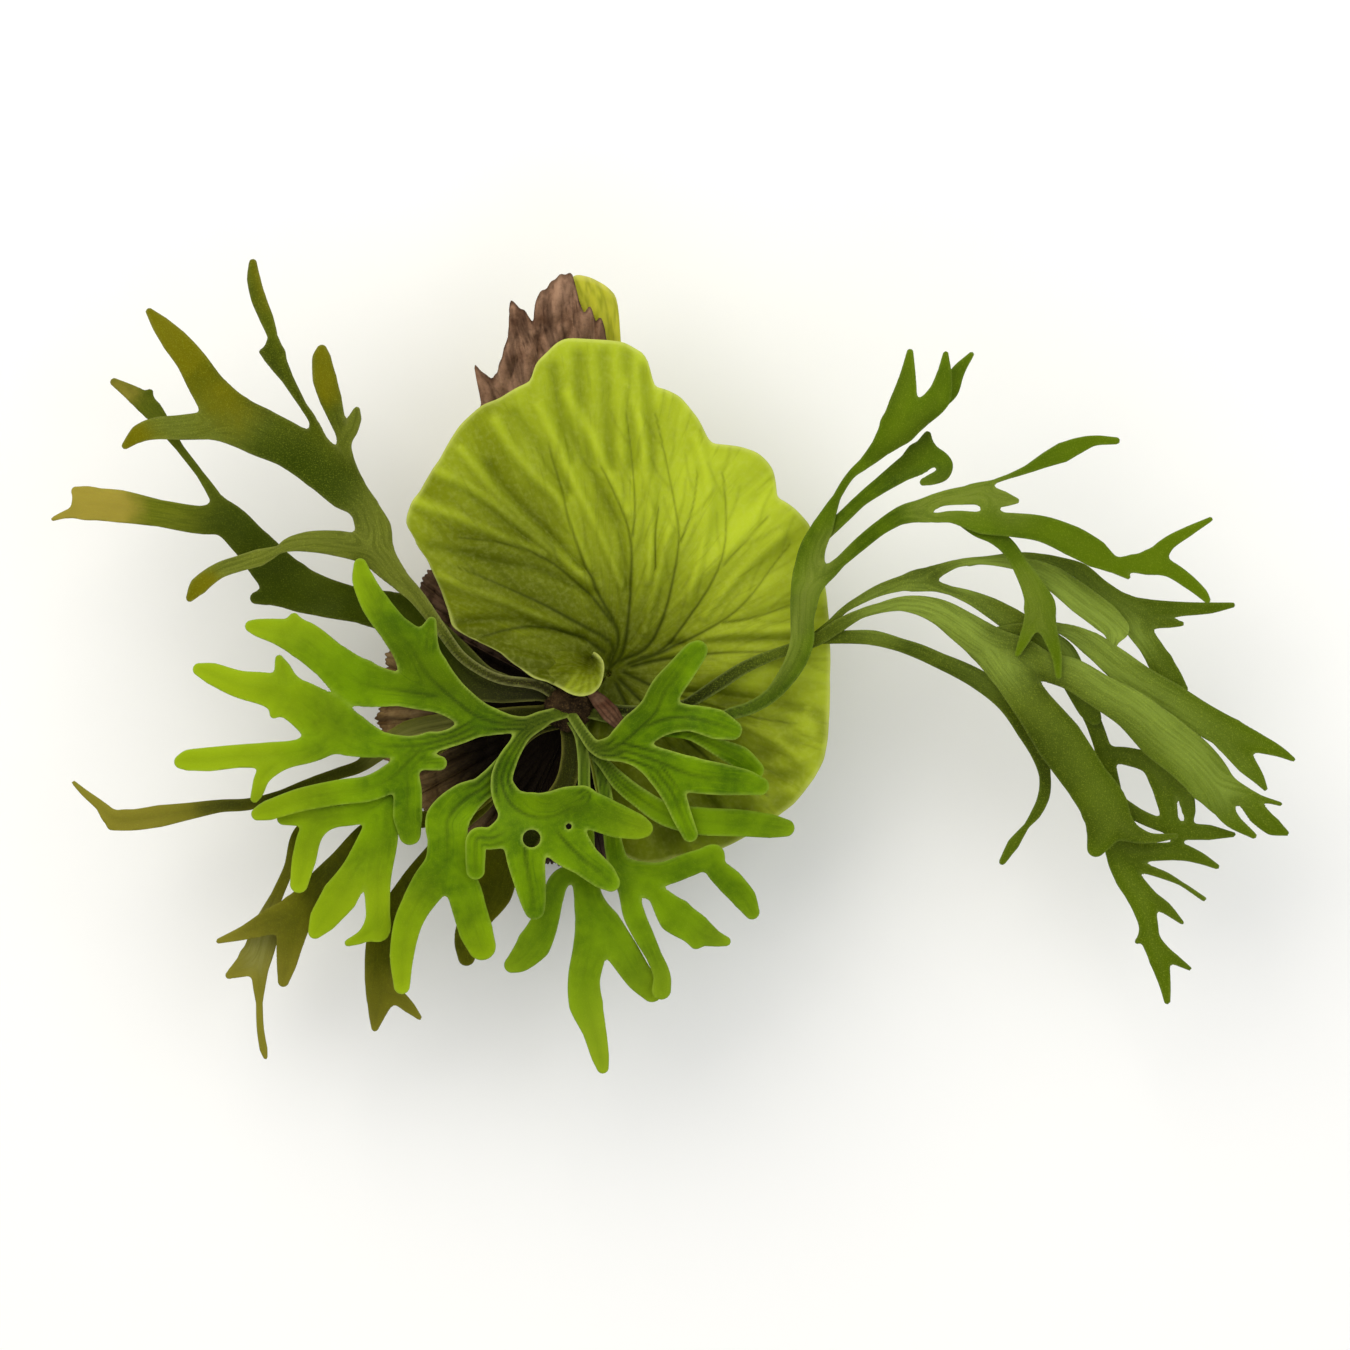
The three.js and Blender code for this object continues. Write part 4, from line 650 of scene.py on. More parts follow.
def smoothstep(low: float, high: float, value: Array) -> Array:
    """Gives 0 below low, 1 above high and a smooth S between: 3t squared less 2t cubed.

    Args:
        low: Value where it starts.
        high: Value where it ends; below low, the S runs the other way.
        value: Values to map.

    Returns:
        The share at each value.
    """
    t = np.clip((value - low) / (high - low), 0.0, 1.0)
    return t * t * (3.0 - 2.0 * t)


def bell(gap: Array, width: float | Array) -> Array:
    """Gives e to the minus squared gap over width: 1 on a line, fading to either side."""
    return np.exp(-((gap / width) ** 2))


def smooth_curve(stations: Array) -> Array:
    """Draws a centripetal Catmull-Rom curve through stations; the half width runs straight between.

    Each stretch is a cubic between two stations, whose end slopes come from the chords on either
    side, each divided by the square root of its length.

    Args:
        stations: Rows of x, y, z and half width.

    Returns:
        Rows of the same kind along the curve.
    """
    points = stations[:, :3]
    padded = np.vstack([2 * points[0] - points[1], points, 2 * points[-1] - points[-2]])
    reach = np.maximum(np.linalg.norm(np.diff(padded, axis=0), axis=1) ** 0.5, 1e-4)[:, None]
    p0, p1, p2, p3 = padded[:-3], padded[1:-2], padded[2:-1], padded[3:]
    d0, d1, d2 = reach[:-2], reach[1:-1], reach[2:]
    m1 = ((p1 - p0) / d0 - (p2 - p0) / (d0 + d1) + (p2 - p1) / d1) * d1
    m2 = ((p2 - p1) / d1 - (p3 - p1) / (d1 + d2) + (p3 - p2) / d2) * d1
    t = (np.arange(CURVE_STEPS) / CURVE_STEPS)[None, :, None]
    a, b, m, n = p1[:, None], p2[:, None], m1[:, None], m2[:, None]
    ends = (2 * t**3 - 3 * t**2 + 1) * a + (t**3 - 2 * t**2 + t) * m
    curve = ends + (3 * t**2 - 2 * t**3) * b + (t**3 - t**2) * n
    widths = stations[:-1, 3:4] * (1 - t[:, :, 0]) + stations[1:, 3:4] * t[:, :, 0]
    rows = np.concatenate([curve, widths[:, :, None]], axis=2).reshape(-1, 4)
    return np.vstack([rows, stations[-1]])


@dataclass
class StripReading:
    """What one strip says at each point of a lattice, in mm but for across, which is a share."""

    outside: Array
    height: Array
    off_centre: Array
    width: Array
    along: Array
    across: Array


def read_strip(strip: Strip, x: Array, y: Array) -> StripReading:
    """Measures points against one strip of a blade.

    A strip is a chain of tapered capsules. The gap outside it is the least, over its links, of the
    distance to the link less the half width there; the height is that of the nearest place. Along is
    the way grown from the crown, straight to the first station and then down the strip. Across is
    the signed distance from the midline over the half width, positive on the left of its course.

    Args:
        strip: Stations of x, y, z and half width.
        x: Points' x.
        y: Points' y.

    Returns:
        Readings with one value for each point.
    """
    rows = smooth_curve(np.asarray(strip, float))
    a, b = rows[:-1], rows[1:]
    step = b - a
    length = np.linalg.norm(step[:, :3], axis=1)
    start = float(np.hypot(*(np.asarray(strip[0][:2], float) - CROWN_AXIS)))
    grown = start + np.concatenate([[0.0], np.cumsum(length)[:-1]])
    squared = step[:, 0] ** 2 + step[:, 1] ** 2 + 1e-9
    parts = []
    for block in range(0, len(x), BLOCK):
        px = x[block : block + BLOCK, None]
        py = y[block : block + BLOCK, None]
        t = np.clip(((px - a[:, 0]) * step[:, 0] + (py - a[:, 1]) * step[:, 1]) / squared, 0.0, 1.0)
        distance = np.hypot(px - a[:, 0] - t * step[:, 0], py - a[:, 1] - t * step[:, 1])
        width = a[:, 3] + t * step[:, 3]
        gap = distance - width
        best = np.argmin(gap, axis=1)
        pick = (np.arange(len(best)), best)
        side = (step[:, 0] * (py - a[:, 1]) - step[:, 1] * (px - a[:, 0])) / np.sqrt(squared)
        height = a[best, 2] + t[pick] * step[best, 2]
        along = grown[best] + t[pick] * length[best]
        across = np.clip(side[pick] / np.maximum(width[pick], 0.8), -1.1, 1.1)
        parts.append(np.stack([gap[pick], height, distance[pick], width[pick], along, across]))
    return StripReading(*np.concatenate(parts, axis=1))


def blur(values: Array, weight: Array, rounds: int) -> Array:
    """Softens a lattice of values: each round is a 1-2-1 mean both ways over points that have weight.

    Args:
        values: The lattice.
        weight: 1 where a point counts and 0 where it doesn't.
        rounds: Rounds of softening.

    Returns:
        The softened lattice.
    """
    total = values * weight
    share = weight.astype(float).copy()
    for _ in range(rounds):
        for axis in (0, 1):
            for grid in (total, share):
                grid[:] = (np.roll(grid, 1, axis) + 2 * grid + np.roll(grid, -1, axis)) / 4
    return np.where(share > 1e-6, total / np.maximum(share, 1e-6), values)


def lattice_faces(ids: Array) -> Array:
    """Gives two triangles for each cell of a lattice of corner numbers."""
    a, b, c, d = ids[:-1, :-1].ravel(), ids[:-1, 1:].ravel(), ids[1:, 1:].ravel(), ids[1:, :-1].ravel()
    return np.concatenate([np.stack([a, b, c], 1), np.stack([a, c, d], 1)])


def cut_lattice(values: Array) -> tuple[Array, Array, Array, Array, Array]:
    """Cuts a lattice along the zero line of its values, keeping the part below zero.

    Every cell is two triangles. A triangle wholly below zero is kept, and one that the line crosses
    is trimmed where its edges reach zero.

    Args:
        values: Signed distances on the lattice, rows along Y and columns along X.

    Returns:
        Edge starts, edge ends and shares along them for all new corners (a kept lattice corner is
        an edge of share 0), the triangles, and the directed rim edges.
    """
    total = values.size
    triangles = lattice_faces(np.arange(total).reshape(values.shape))
    flat = values.ravel()
    below = flat[triangles] < 0
    count = below.sum(1)
    whole = triangles[count == 3]

    def turned(kind: int, lone_is_below: bool) -> Array:
        """Turns each crossed triangle so that its lone corner comes first.

        Args:
            kind: How many corners are below zero.
            lone_is_below: Whether the lone corner is the one below.

        Returns:
            The turned triangles.
        """
        mask = below[count == kind]
        lone = np.argmax(mask if lone_is_below else ~mask, axis=1)
        order = (lone[:, None] + np.arange(3)) % 3
        return np.take_along_axis(triangles[count == kind], order, axis=1)

    one, two = turned(1, True), turned(2, False)
    first = np.concatenate([one[:, 0], one[:, 0], two[:, 0], two[:, 0]])
    second = np.concatenate([one[:, 1], one[:, 2], two[:, 1], two[:, 2]])
    low, high = np.minimum(first, second), np.maximum(first, second)
    keys, inverse = np.unique(low.astype(np.int64) * total + high, return_inverse=True)
    start, end = keys // total, keys % total
    share = flat[start] / (flat[start] - flat[end])
    kept = np.flatnonzero(flat < 0)
    kept = kept[np.isin(kept, np.concatenate([whole.ravel(), one[:, 0], two[:, 1], two[:, 2]]))]
    renumber = np.full(total, -1)
    renumber[kept] = np.arange(len(kept))
    n1, n2 = len(one), len(two)
    one_ab, one_ac, two_ab, two_ac = np.split(inverse + len(kept), [n1, 2 * n1, 2 * n1 + n2])
    faces = np.concatenate([
        renumber[whole],
        np.stack([renumber[one[:, 0]], one_ab, one_ac], 1),
        np.stack([two_ab, renumber[two[:, 1]], renumber[two[:, 2]]], 1),
        np.stack([two_ab, renumber[two[:, 2]], two_ac], 1),
    ])
    rim = np.concatenate([np.stack([one_ab, one_ac], 1), np.stack([two_ac, two_ab], 1)])
    starts = np.concatenate([kept, start])
    ends = np.concatenate([kept, end])
    shares = np.concatenate([np.zeros(len(kept)), share])
    return starts, ends, shares, faces, rim


@dataclass
class Skin:
    """A closed sheet: its corners in mm, its faces and its values for the shader."""

    corners: Array
    faces: Array
    values: dict[str, Array]

    @staticmethod
    def plain(corners: Array, faces: Array) -> Skin:
        """Gives a closed body without veins, whose shader values are all 0."""
        return Skin(corners, faces, {key: np.zeros(len(corners)) for key in ("vein", "edge", "under")})

    @staticmethod
    def thickened(
        middle: Array, normal: Array, thickness: Array, faces: Array, rim: Array, values: dict[str, Array]
    ) -> Skin:
        """Gives a surface a thickness: a copy half of it above and one half of it below, joined.

        Args:
            middle: Corners of the middle surface.
            normal: Unit normal at each corner.
            thickness: Thickness at each corner.
            faces: Counter-clockwise triangles seen from above.
            rim: Directed rim edges with the sheet on their left.
            values: Shader values at each corner.

        Returns:
            The closed sheet.
        """
        half = (thickness / 2)[:, None] * normal
        below = len(middle)
        u, v = rim[:, 0], rim[:, 1]
        walls = [np.stack([u, u + below, v + below], 1), np.stack([u, v + below, v], 1)]
        corners = np.concatenate([middle + half, middle - half])
        both = {key: np.concatenate([value, value]) for key, value in values.items()}
        both["under"] = np.concatenate([np.zeros(below), np.ones(below)])
        return Skin(corners, np.concatenate([faces, faces[:, ::-1] + below, *walls]), both)

    @staticmethod
    def joined(skins: list[Skin]) -> Skin:
        """Puts several sheets into one; a value that a sheet lacks is 0 there.

        Args:
            skins: The sheets.

        Returns:
            One sheet of all their corners and faces.
        """
        shift = np.cumsum([0] + [len(s.corners) for s in skins[:-1]])
        keys = sorted({key for s in skins for key in s.values})
        corners = np.concatenate([s.corners for s in skins])
        faces = np.concatenate([s.faces + n for s, n in zip(skins, shift)])
        values = {
            key: np.concatenate([s.values.get(key, np.zeros(len(s.corners))) for s in skins])
            for key in keys
        }
        return Skin(corners, faces, values)

    def piece(self, name: str, finish: Finish, node: str) -> bpy.types.Object:
        """Makes the sheet a smooth piece of the scene and dresses it.

        Args:
            name: Name of the piece.
            finish: Its finish.
            node: Solid of the frame that it is shown instead of.

        Returns:
            The new object.
        """
        mesh = bpy.data.meshes.new(name)
        mesh.vertices.add(len(self.corners))
        mesh.vertices.foreach_set("co", (self.corners * MM).astype(np.float32).ravel())
        mesh.loops.add(self.faces.size)
        mesh.loops.foreach_set("vertex_index", self.faces.astype(np.int32).ravel())
        mesh.polygons.add(len(self.faces))
        mesh.polygons.foreach_set("loop_start", np.arange(0, self.faces.size, 3, dtype=np.int32))
        mesh.update(calc_edges=True)
        mesh.polygons.foreach_set("use_smooth", np.ones(len(self.faces), bool))
        for key, value in self.values.items():
            layer = mesh.attributes.new(key, "FLOAT", "POINT")
            layer.data.foreach_set("value", value.astype(np.float32))
        mesh.validate()
        mesh.update()
        mesh.materials.append(finish.material())
        piece = bpy.data.objects.new(name, mesh)
        bpy.context.scene.collection.objects.link(piece)
        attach(piece, "root")
        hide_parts(node)
        LOG.info("%s: %d triangles", name, len(self.faces))
        return piece


def rounded(path: Path) -> Array:
    """Rounds a path's corners: each round cuts every link at a quarter and three quarters.

    Args:
        path: Points of x and y.

    Returns:
        The rounded points.
    """
    points = np.asarray(path, float)
    for _ in range(CORNER_CUTS):
        near = 0.75 * points[:-1] + 0.25 * points[1:]
        far = 0.25 * points[:-1] + 0.75 * points[1:]
        points = np.vstack([points[:1], np.stack([near, far], 1).reshape(-1, 2), points[-1:]])
    return points


def side_veins(paths: list[Path], every: float, length: float) -> list[Path]:
    """Gives short side veins that leave each path by turns on either side and bend back to its course.

    Args:
        paths: The main veins.
        every: Distance between side veins in mm.
        length: About how long they are in mm.

    Returns:
        A path of three points for each side vein.
    """
    sides = []
    for path in paths:
        points = rounded(path)
        links = np.diff(points, axis=0)
        walked = np.concatenate([[0.0], np.cumsum(np.linalg.norm(links, axis=1))])
        for count, reached in enumerate(np.arange(SIDE_VEIN_FROM, walked[-1], every)):
            link = min(int(np.searchsorted(walked, reached)) - 1, len(links) - 1)
            side = [points[link]]
            course = math.atan2(links[link][1], links[link][0])
            turned = course + SIDE_VEIN_TURN * (1 if count % 2 else -1)
            for share, way in zip(SIDE_VEIN_LINKS, (turned, 0.5 * (course + turned))):
                side.append(side[-1] + share * length * np.array([math.cos(way), math.sin(way)]))
            sides.append(side)
    return sides


def soft_lines(paths: list[Path], x: Array, y: Array, width: float | Array) -> Array:
    """Draws soft lines along rounded paths: e to the minus squared distance over width, greatest of all.

    Args:
        paths: The paths.
        x: Points' x.
        y: Points' y.
        width: Half width of the lines in mm.

    Returns:
        1 on a line and 0 far from all of them.
    """
    drawn = np.zeros(x.shape)
    for path in paths:
        points = rounded(path)
        for (ax, ay), (bx, by) in zip(points[:-1], points[1:]):
            dx, dy = bx - ax, by - ay
            t = np.clip(((x - ax) * dx + (y - ay) * dy) / (dx * dx + dy * dy + 1e-9), 0, 1)
            drawn = np.maximum(drawn, bell(np.hypot(x - ax - t * dx, y - ay - t * dy), width))
    return drawn


def patches(marks: list[Mark], x: Array, y: Array) -> Array:
    """Gives soft patches along paths, the strongest of all at each point.

    Args:
        marks: Radius in mm, strength and path of each.
        x: Points' x.
        y: Points' y.

    Returns:
        The strength at each point.
    """
    drawn = np.zeros(x.shape)
    for radius, strength, path in marks:
        drawn = np.maximum(drawn, strength * soft_lines([path], x, y, radius))
    return drawn


# Fertile fronds


@dataclass
class BladeSheet:
    """One sheet of a frond: strips that melt together where they meet, and round holes in it."""

    strips: list[Strip]
    holes: list[list[float]] = field(default_factory=list)

    def measure(self, x: Array, y: Array, frond: Frond) -> tuple[Array, dict[str, Array]]:
        """Measures points against the whole sheet.

        The gap outside it is a smooth least over its strips, which rounds each fork by a few
        millimetres. The height is the strips' heights, each weighed by e to the minus gap over the
        blend's reach, with a section that arches as 1 less across squared and sways as across, both
        times the half width.
        A sheet that starts away from the crown dips under the one that carries it.

        Args:
            x: Points' x.
            y: Points' y.
            frond: The frond, whose sizes hold for each of its sheets.

        Returns:
            Signed gap outside the sheet, and height, vein, along, side and clear values.
        """
        readings = [read_strip(strip, x, y) for strip in self.strips]
        total = readings[0].outside
        for reading in readings[1:]:
            melt = np.maximum(FORK_ROUNDING - np.abs(total - reading.outside), 0) / FORK_ROUNDING
            total = np.minimum(total, reading.outside) - melt**2 * FORK_ROUNDING / 4
        gaps = np.stack([r.outside for r in readings])
        weight = np.exp(-(gaps - gaps.min(0)) / BLEND_REACH)
        weight /= weight.sum(0)
        sway = frond.sway * ripples(x, y, Ripple.SWAY)
        height = sum(
            w * (r.height + r.width * (frond.arch * (1 - r.across**2) + sway * r.across))
            for w, r in zip(weight, readings)
        )
        along = sum(w * r.along for w, r in zip(weight, readings))
        side = sum(w * r.across * r.width for w, r in zip(weight, readings))
        vein = np.max([self.vein(reading, frond.stalk) for reading in readings], axis=0)
        clear = np.ones(len(x))
        first = readings[0].along.min()
        if first > frond.carried_from:
            height = height - frond.carried_dip * smoothstep(13.0, 2.0, along - first)
            clear = smoothstep(10.0, 20.0, along - first)
        for hx, hy, radius in self.holes:
            total = np.maximum(total, radius - np.hypot(x - hx, y - hy))
        return total, {"height": height, "vein": vein, "along": along, "side": side, "clear": clear}

    def vein(self, reading: StripReading, stalk: float) -> Array:
        """Draws a strip's midline, dark in the stalk and faint beyond, and two flanking lines there.

        Each is e to the minus squared distance over its width. They start 1 to 10 mm up the strip,
        end at its outline, and the midline needs a strip some millimetres wide.

        Args:
            reading: The strip's readings.
            stalk: How far from the crown the dark lines reach, in mm.

        Returns:
            How much of the vein's colour each point has.
        """
        inside = smoothstep(0.2, -1.2, reading.outside)
        inside *= smoothstep(1.0, 10.0, reading.along - reading.along.min())
        fade = 0.13 + 0.7 * smoothstep(1.5 * stalk, 0.7 * stalk, reading.along)
        line = bell(reading.off_centre, 1.0) * fade * smoothstep(1.5, 4.0, reading.width)
        flank = bell(reading.off_centre / reading.width - 0.6, 0.14)
        flank *= smoothstep(1.2 * stalk, 0.7 * stalk, reading.along) * smoothstep(8.5, 6.0, reading.width)
        return np.maximum(line, flank) * inside

    def skin(self, frond: Frond) -> Skin:
        """Works the sheet out on a square lattice and cuts it at its outline.

        To the blurred height it adds cupping, a rise towards the margins that grows with the
        distance from the midline, slow waves, and a fine channel along each vein. The two skins lie
        half a thickness either way along the normal, and the blade thins in its last 1.7 mm.

        Args:
            frond: The frond, whose sizes hold for each of its sheets.

        Returns:
            The closed sheet.
        """
        cell = frond.cell
        stations = np.concatenate([np.asarray(s, float) for s in self.strips])
        low = (stations[:, :2] - stations[:, 3:4]).min(0) - 4 * cell
        high = (stations[:, :2] + stations[:, 3:4]).max(0) + 4 * cell
        gx, gy = np.meshgrid(np.arange(low[0], high[0], cell), np.arange(low[1], high[1], cell))
        gap, measured = self.measure(gx.ravel(), gy.ravel(), frond)
        gap = gap.reshape(gx.shape)
        grids = {key: value.reshape(gx.shape) for key, value in measured.items()}
        gap = np.where(np.abs(gap) < 0.02 * cell, -0.02 * cell, gap)
        near = (gap < 2.5).astype(float)
        height = blur(grids["height"], near, HEIGHT_BLURS)
        depth = np.maximum(-gap, 0)
        wave = frond.waviness * (ripples(gx, gy, Ripple.WAVE) + 0.3 * ripples(gx, gy, Ripple.WAVELET))
        wave *= smoothstep(0.0, 6.0, grids["along"] - 60)
        height = height + frond.cupping * np.exp(-depth / 3.5) + wave * np.exp(-depth / 14.0)
        height -= 0.4 * blur(grids["vein"], near, 1)
        slope_y, slope_x = np.gradient(height, cell)
        starts, ends, shares, faces, rim = cut_lattice(gap)

        def at(grid: Array) -> Array:
            """Reads a lattice at the cut corners, in proportion along each crossed edge."""
            return grid.ravel()[starts] * (1 - shares) + grid.ravel()[ends] * shares

        middle = np.stack([at(gx), at(gy), at(height)], 1)
        normal = np.stack([-at(slope_x), -at(slope_y), np.ones(len(middle))], 1)
        normal[:, :2] = np.clip(normal[:, :2], -STEEPEST, STEEPEST)
        normal /= np.linalg.norm(normal, axis=1)[:, None]
        away = np.hypot(middle[:, 0] - CROWN_AXIS[0], middle[:, 1] - CROWN_AXIS[1])
        thinning = smoothstep(STALK_FROM, STALK_TO, away)
        body = STALK_THICKNESS + (BLADE_THICKNESS - STALK_THICKNESS) * thinning
        margin = np.maximum(-at(gap), 0)
        thickness = body * (0.45 + 0.55 * smoothstep(0.0, 1.7, margin))
        values = {
            "vein": at(grids["vein"]),
            "edge": bell(margin, 0.6) * at(grids["clear"]),
            "inner": 1 - np.exp(-margin / 4.0),
            "along": at(grids["along"]),
            "side": at(grids["side"]),
        }
        return Skin.thickened(middle, normal, thickness, faces, rim, values)


@dataclass
class Frond:
    """A fertile frond: sheets that grow from one foot on the crown.

    Cell is the spacing of its lattice, and stalk is how far its dark lines reach. Aged marks give
    the blade its tip's colour; pale marks show its felt, and on the arching frond they are painted
    highlights; the shade marks are painted shade where the blade lies in shadow.
    """

    node: str
    finish: FrondFinish | PaperFinish
    sheets: list[BladeSheet]
    cell: float = 1.2
    waviness: float = 1.1
    cupping: float = 0.9
    stalk: float = 62.0
    arch: float = 0.1
    sway: float = 0.14
    carried_from: float = 30.0
    carried_dip: float = 2.0
    aged: list[Mark] = field(default_factory=list)
    pale: list[Mark] = field(default_factory=list)
    # painted shade: marks where the blade lies in shadow
    dusk: list[Mark] = field(default_factory=list)

    def build(self) -> bpy.types.Object:
        """Builds the frond from its sheets, marks it and dresses it.

        Returns:
            The blade.
        """
        whole = Skin.joined([sheet.skin(self) for sheet in self.sheets])
        for key, marks in (("aged", self.aged), ("pale", self.pale), ("dusk", self.dusk)):
            whole.values[key] = patches(marks, whole.corners[:, 0], whole.corners[:, 1])
        return whole.piece(f"{self.node}_blade", self.finish, self.node)


# Shields


def rim_rays(rim: Rim, centre: tuple[float, float]) -> list[list[float]]:
    """Turns points of a rim into rays from its centre, in the order of their angles.

    A ray's angle is the arc tangent of the way from centre to point, and its reach is the length of
    that way, both to a tenth. Each ray stands at least the gap between rays after the last.

    Args:
        rim: Points of x, y and z.
        centre: The centre's x and y.

    Returns:
        Rows of angle in degrees, reach and height.
    """
    ways = [(x - centre[0], y - centre[1], z) for x, y, z in rim]
    found = [(math.degrees(math.atan2(dy, dx)), math.hypot(dx, dy), z) for dx, dy, z in ways]
    rounded_off = [(round(a + 360 if a < RAY_START else a, 1), round(r, 1), z) for a, r, z in found]
    rays: list[list[float]] = []
    for angle, reach, z in sorted(rounded_off):
        if rays and angle - rays[-1][0] < RAY_GAP:
            angle = round(rays[-1][0] + RAY_GAP, 2)
        rays.append([angle, reach, z])
    return rays


@dataclass
class Shield:
    """A shield: rays round a centre, each with its angle, its reach and the height of its rim.

    Its table gives the rays, or points of the rim in plan with their heights, which give the rays.
    Between foot and rim it climbs by 1 less (1 less share) to the power climb, or where it wraps the
    root ball it falls by share to the power fall. Veins, ridges and valleys are drawn paths; ridges
    are also painted lighter and valleys darker, as painted highlight and painted shade. It is also
    painted paler towards +x and +y, its lit side. A sector is its first and last angle, a depth of
    shade and how far out it reaches.
    """

    node: str
    finish: ShieldFinish | PaperFinish
    centre: tuple[float, float]
    foot: float
    rays: list[list[float]] = field(default_factory=list)
    rim: Rim = field(default_factory=list)
    inner: float = 9.0
    climb: float = 0.0
    fall: float = 0.0
    pleats: int = 34
    pleat_height: float = 1.4
    thickness: float = 1.1
    columns: int = 420
    rows: int = 70
    rounding: int = 2
    veins: list[Path] = field(default_factory=list)
    ridges: list[Path] = field(default_factory=list)
    valleys: list[Path] = field(default_factory=list)
    net: float = 0.22
    net_every: float = 12.0
    net_length: float = 18.0
    fray: float = 0.0
    crumple: float = 0.0
    pucker: float = 0.0
    gloom: float = 0.8
    gloom_reach: float = 26.0
    sectors: list[tuple[float, float, float, float]] = field(default_factory=list)
    groove: float = 0.9
    fold_height: float = 2.6
    # painted light: how much paler the shield is painted towards its lit side
    lit_side_paleness: float = 1.0
    free_from: float = -200.0
    hub: tuple[float, float] | None = None
    lobe: Shield | None = None

    def __post_init__(self) -> None:
        """Works out the rays of a shield whose rim is given as points."""
        if self.rim:
            self.rays = rim_rays(self.rim, self.centre)

    def outline(self, angle: Array) -> tuple[Array, Array]:
        """Gives the reach and rim height at each angle: straight between rays, softened at corners.

        Args:
            angle: Angles in degrees.

        Returns:
            Reach, with the small teeth of a frayed rim, and height of the rim.
        """
        rays = np.asarray(self.rays, float)
        reach = np.interp(angle, rays[:, 0], rays[:, 1])
        rim = np.interp(angle, rays[:, 0], rays[:, 2])
        for grid in (reach, rim):
            for _ in range(self.rounding):
                grid[1:-1] = (grid[:-2] + 2 * grid[1:-1] + grid[2:]) / 4
        reach += self.fray * (np.sin(angle * 1.9) * np.sin(angle * 0.83 + 1) + 0.6 * np.sin(angle * 4.7 + 2))
        return reach, rim

    def skin(self) -> Skin:
        """Works the shield out on a fan of angles by shares of the reach.

        The height is foot to rim by the law of the class, with pleats that are a sine of the angle
        and wander with the radius, grooves along the veins and swells along the ridges, each e to
        the minus squared distance. A dead shield is creased where uneven waves cross zero. The masks
        of ridges, valleys, pleat crests, creases and pucker also lay painted highlights and painted
        shade into the colour.

        Returns:
            The closed sheet.
        """
        angle = np.linspace(self.rays[0][0], self.rays[-1][0], self.columns)
        reach, rim_height = self.outline(angle)
        share = np.linspace(0, 1, self.rows)[None, :]
        radius = self.inner + (reach[:, None] - self.inner) * share
        turn = np.radians(angle)[:, None]
        x = self.centre[0] + radius * np.cos(turn)
        y = self.centre[1] + radius * np.sin(turn)
        rise = share**self.fall if self.fall else 1 - (1 - share) ** self.climb
        z = self.foot + (rim_height[:, None] - self.foot) * rise
        phase = (angle - angle[0]) / (angle[-1] - angle[0]) * self.pleats * math.pi
        wander = 0.9 * np.sin(radius / 23.0 + 0.05 * angle[:, None])
        fold = np.sin(phase[:, None] + wander) * smoothstep(0.1, 0.8, share)
        z = z + self.pleat_height * fold
        away = np.hypot(x - self.centre[0], y - self.centre[1])
        vein = soft_lines(self.veins, x, y, 0.62 + 0.7 * smoothstep(90.0, 12.0, away))
        vein *= 0.5 + 0.5 * smoothstep(110.0, 20.0, away)
        net = soft_lines(side_veins(self.veins, self.net_every, self.net_length), x, y, 0.8)
        vein = np.maximum(vein, self.net * net)
        # ridge and valley masks shape the folds and also carry painted highlight and painted shade
        ridge = soft_lines(self.ridges, x, y, 1.5 + 0.014 * away)
        valley = soft_lines(self.valleys, x, y, 1.8 + 0.012 * away)
        z = z - self.groove * soft_lines(self.veins, x, y, 2.4) + self.fold_height * (ridge - valley)
        if self.crumple:
            fold_line = np.abs(ripples(x, y, Ripple.CREASE))
            crease = fold_line + 0.5 * np.abs(ripples(x, y, Ripple.FINE_CREASE))
            # painted shade: dark lines along the creases, laid into the vein mask
            vein = np.maximum(vein, 0.85 * bell(fold_line, 0.08))
            z = z + self.crumple * (crease - 0.9) * smoothstep(0.1, 0.5, share)
            # painted highlight on the crests of the creases
            ridge = np.maximum(ridge, np.clip(crease - 0.7, 0, 1))
        if self.pucker:
            low_side = smoothstep(*PUCKER_COMES, angle) * smoothstep(*PUCKER_GOES, angle)
            bulge = ripples(x, y, Ripple.PUCKER) * low_side[:, None]
            bulge = bulge * smoothstep(*PUCKER_OUTWARD, away)
            z = z + self.pucker * bulge
            # painted highlight on the pucker's swells and painted shade in its hollows
            ridge = np.maximum(ridge, np.clip(bulge, 0, 1))
            valley = np.maximum(valley, np.clip(-1.2 * bulge, 0, 1))
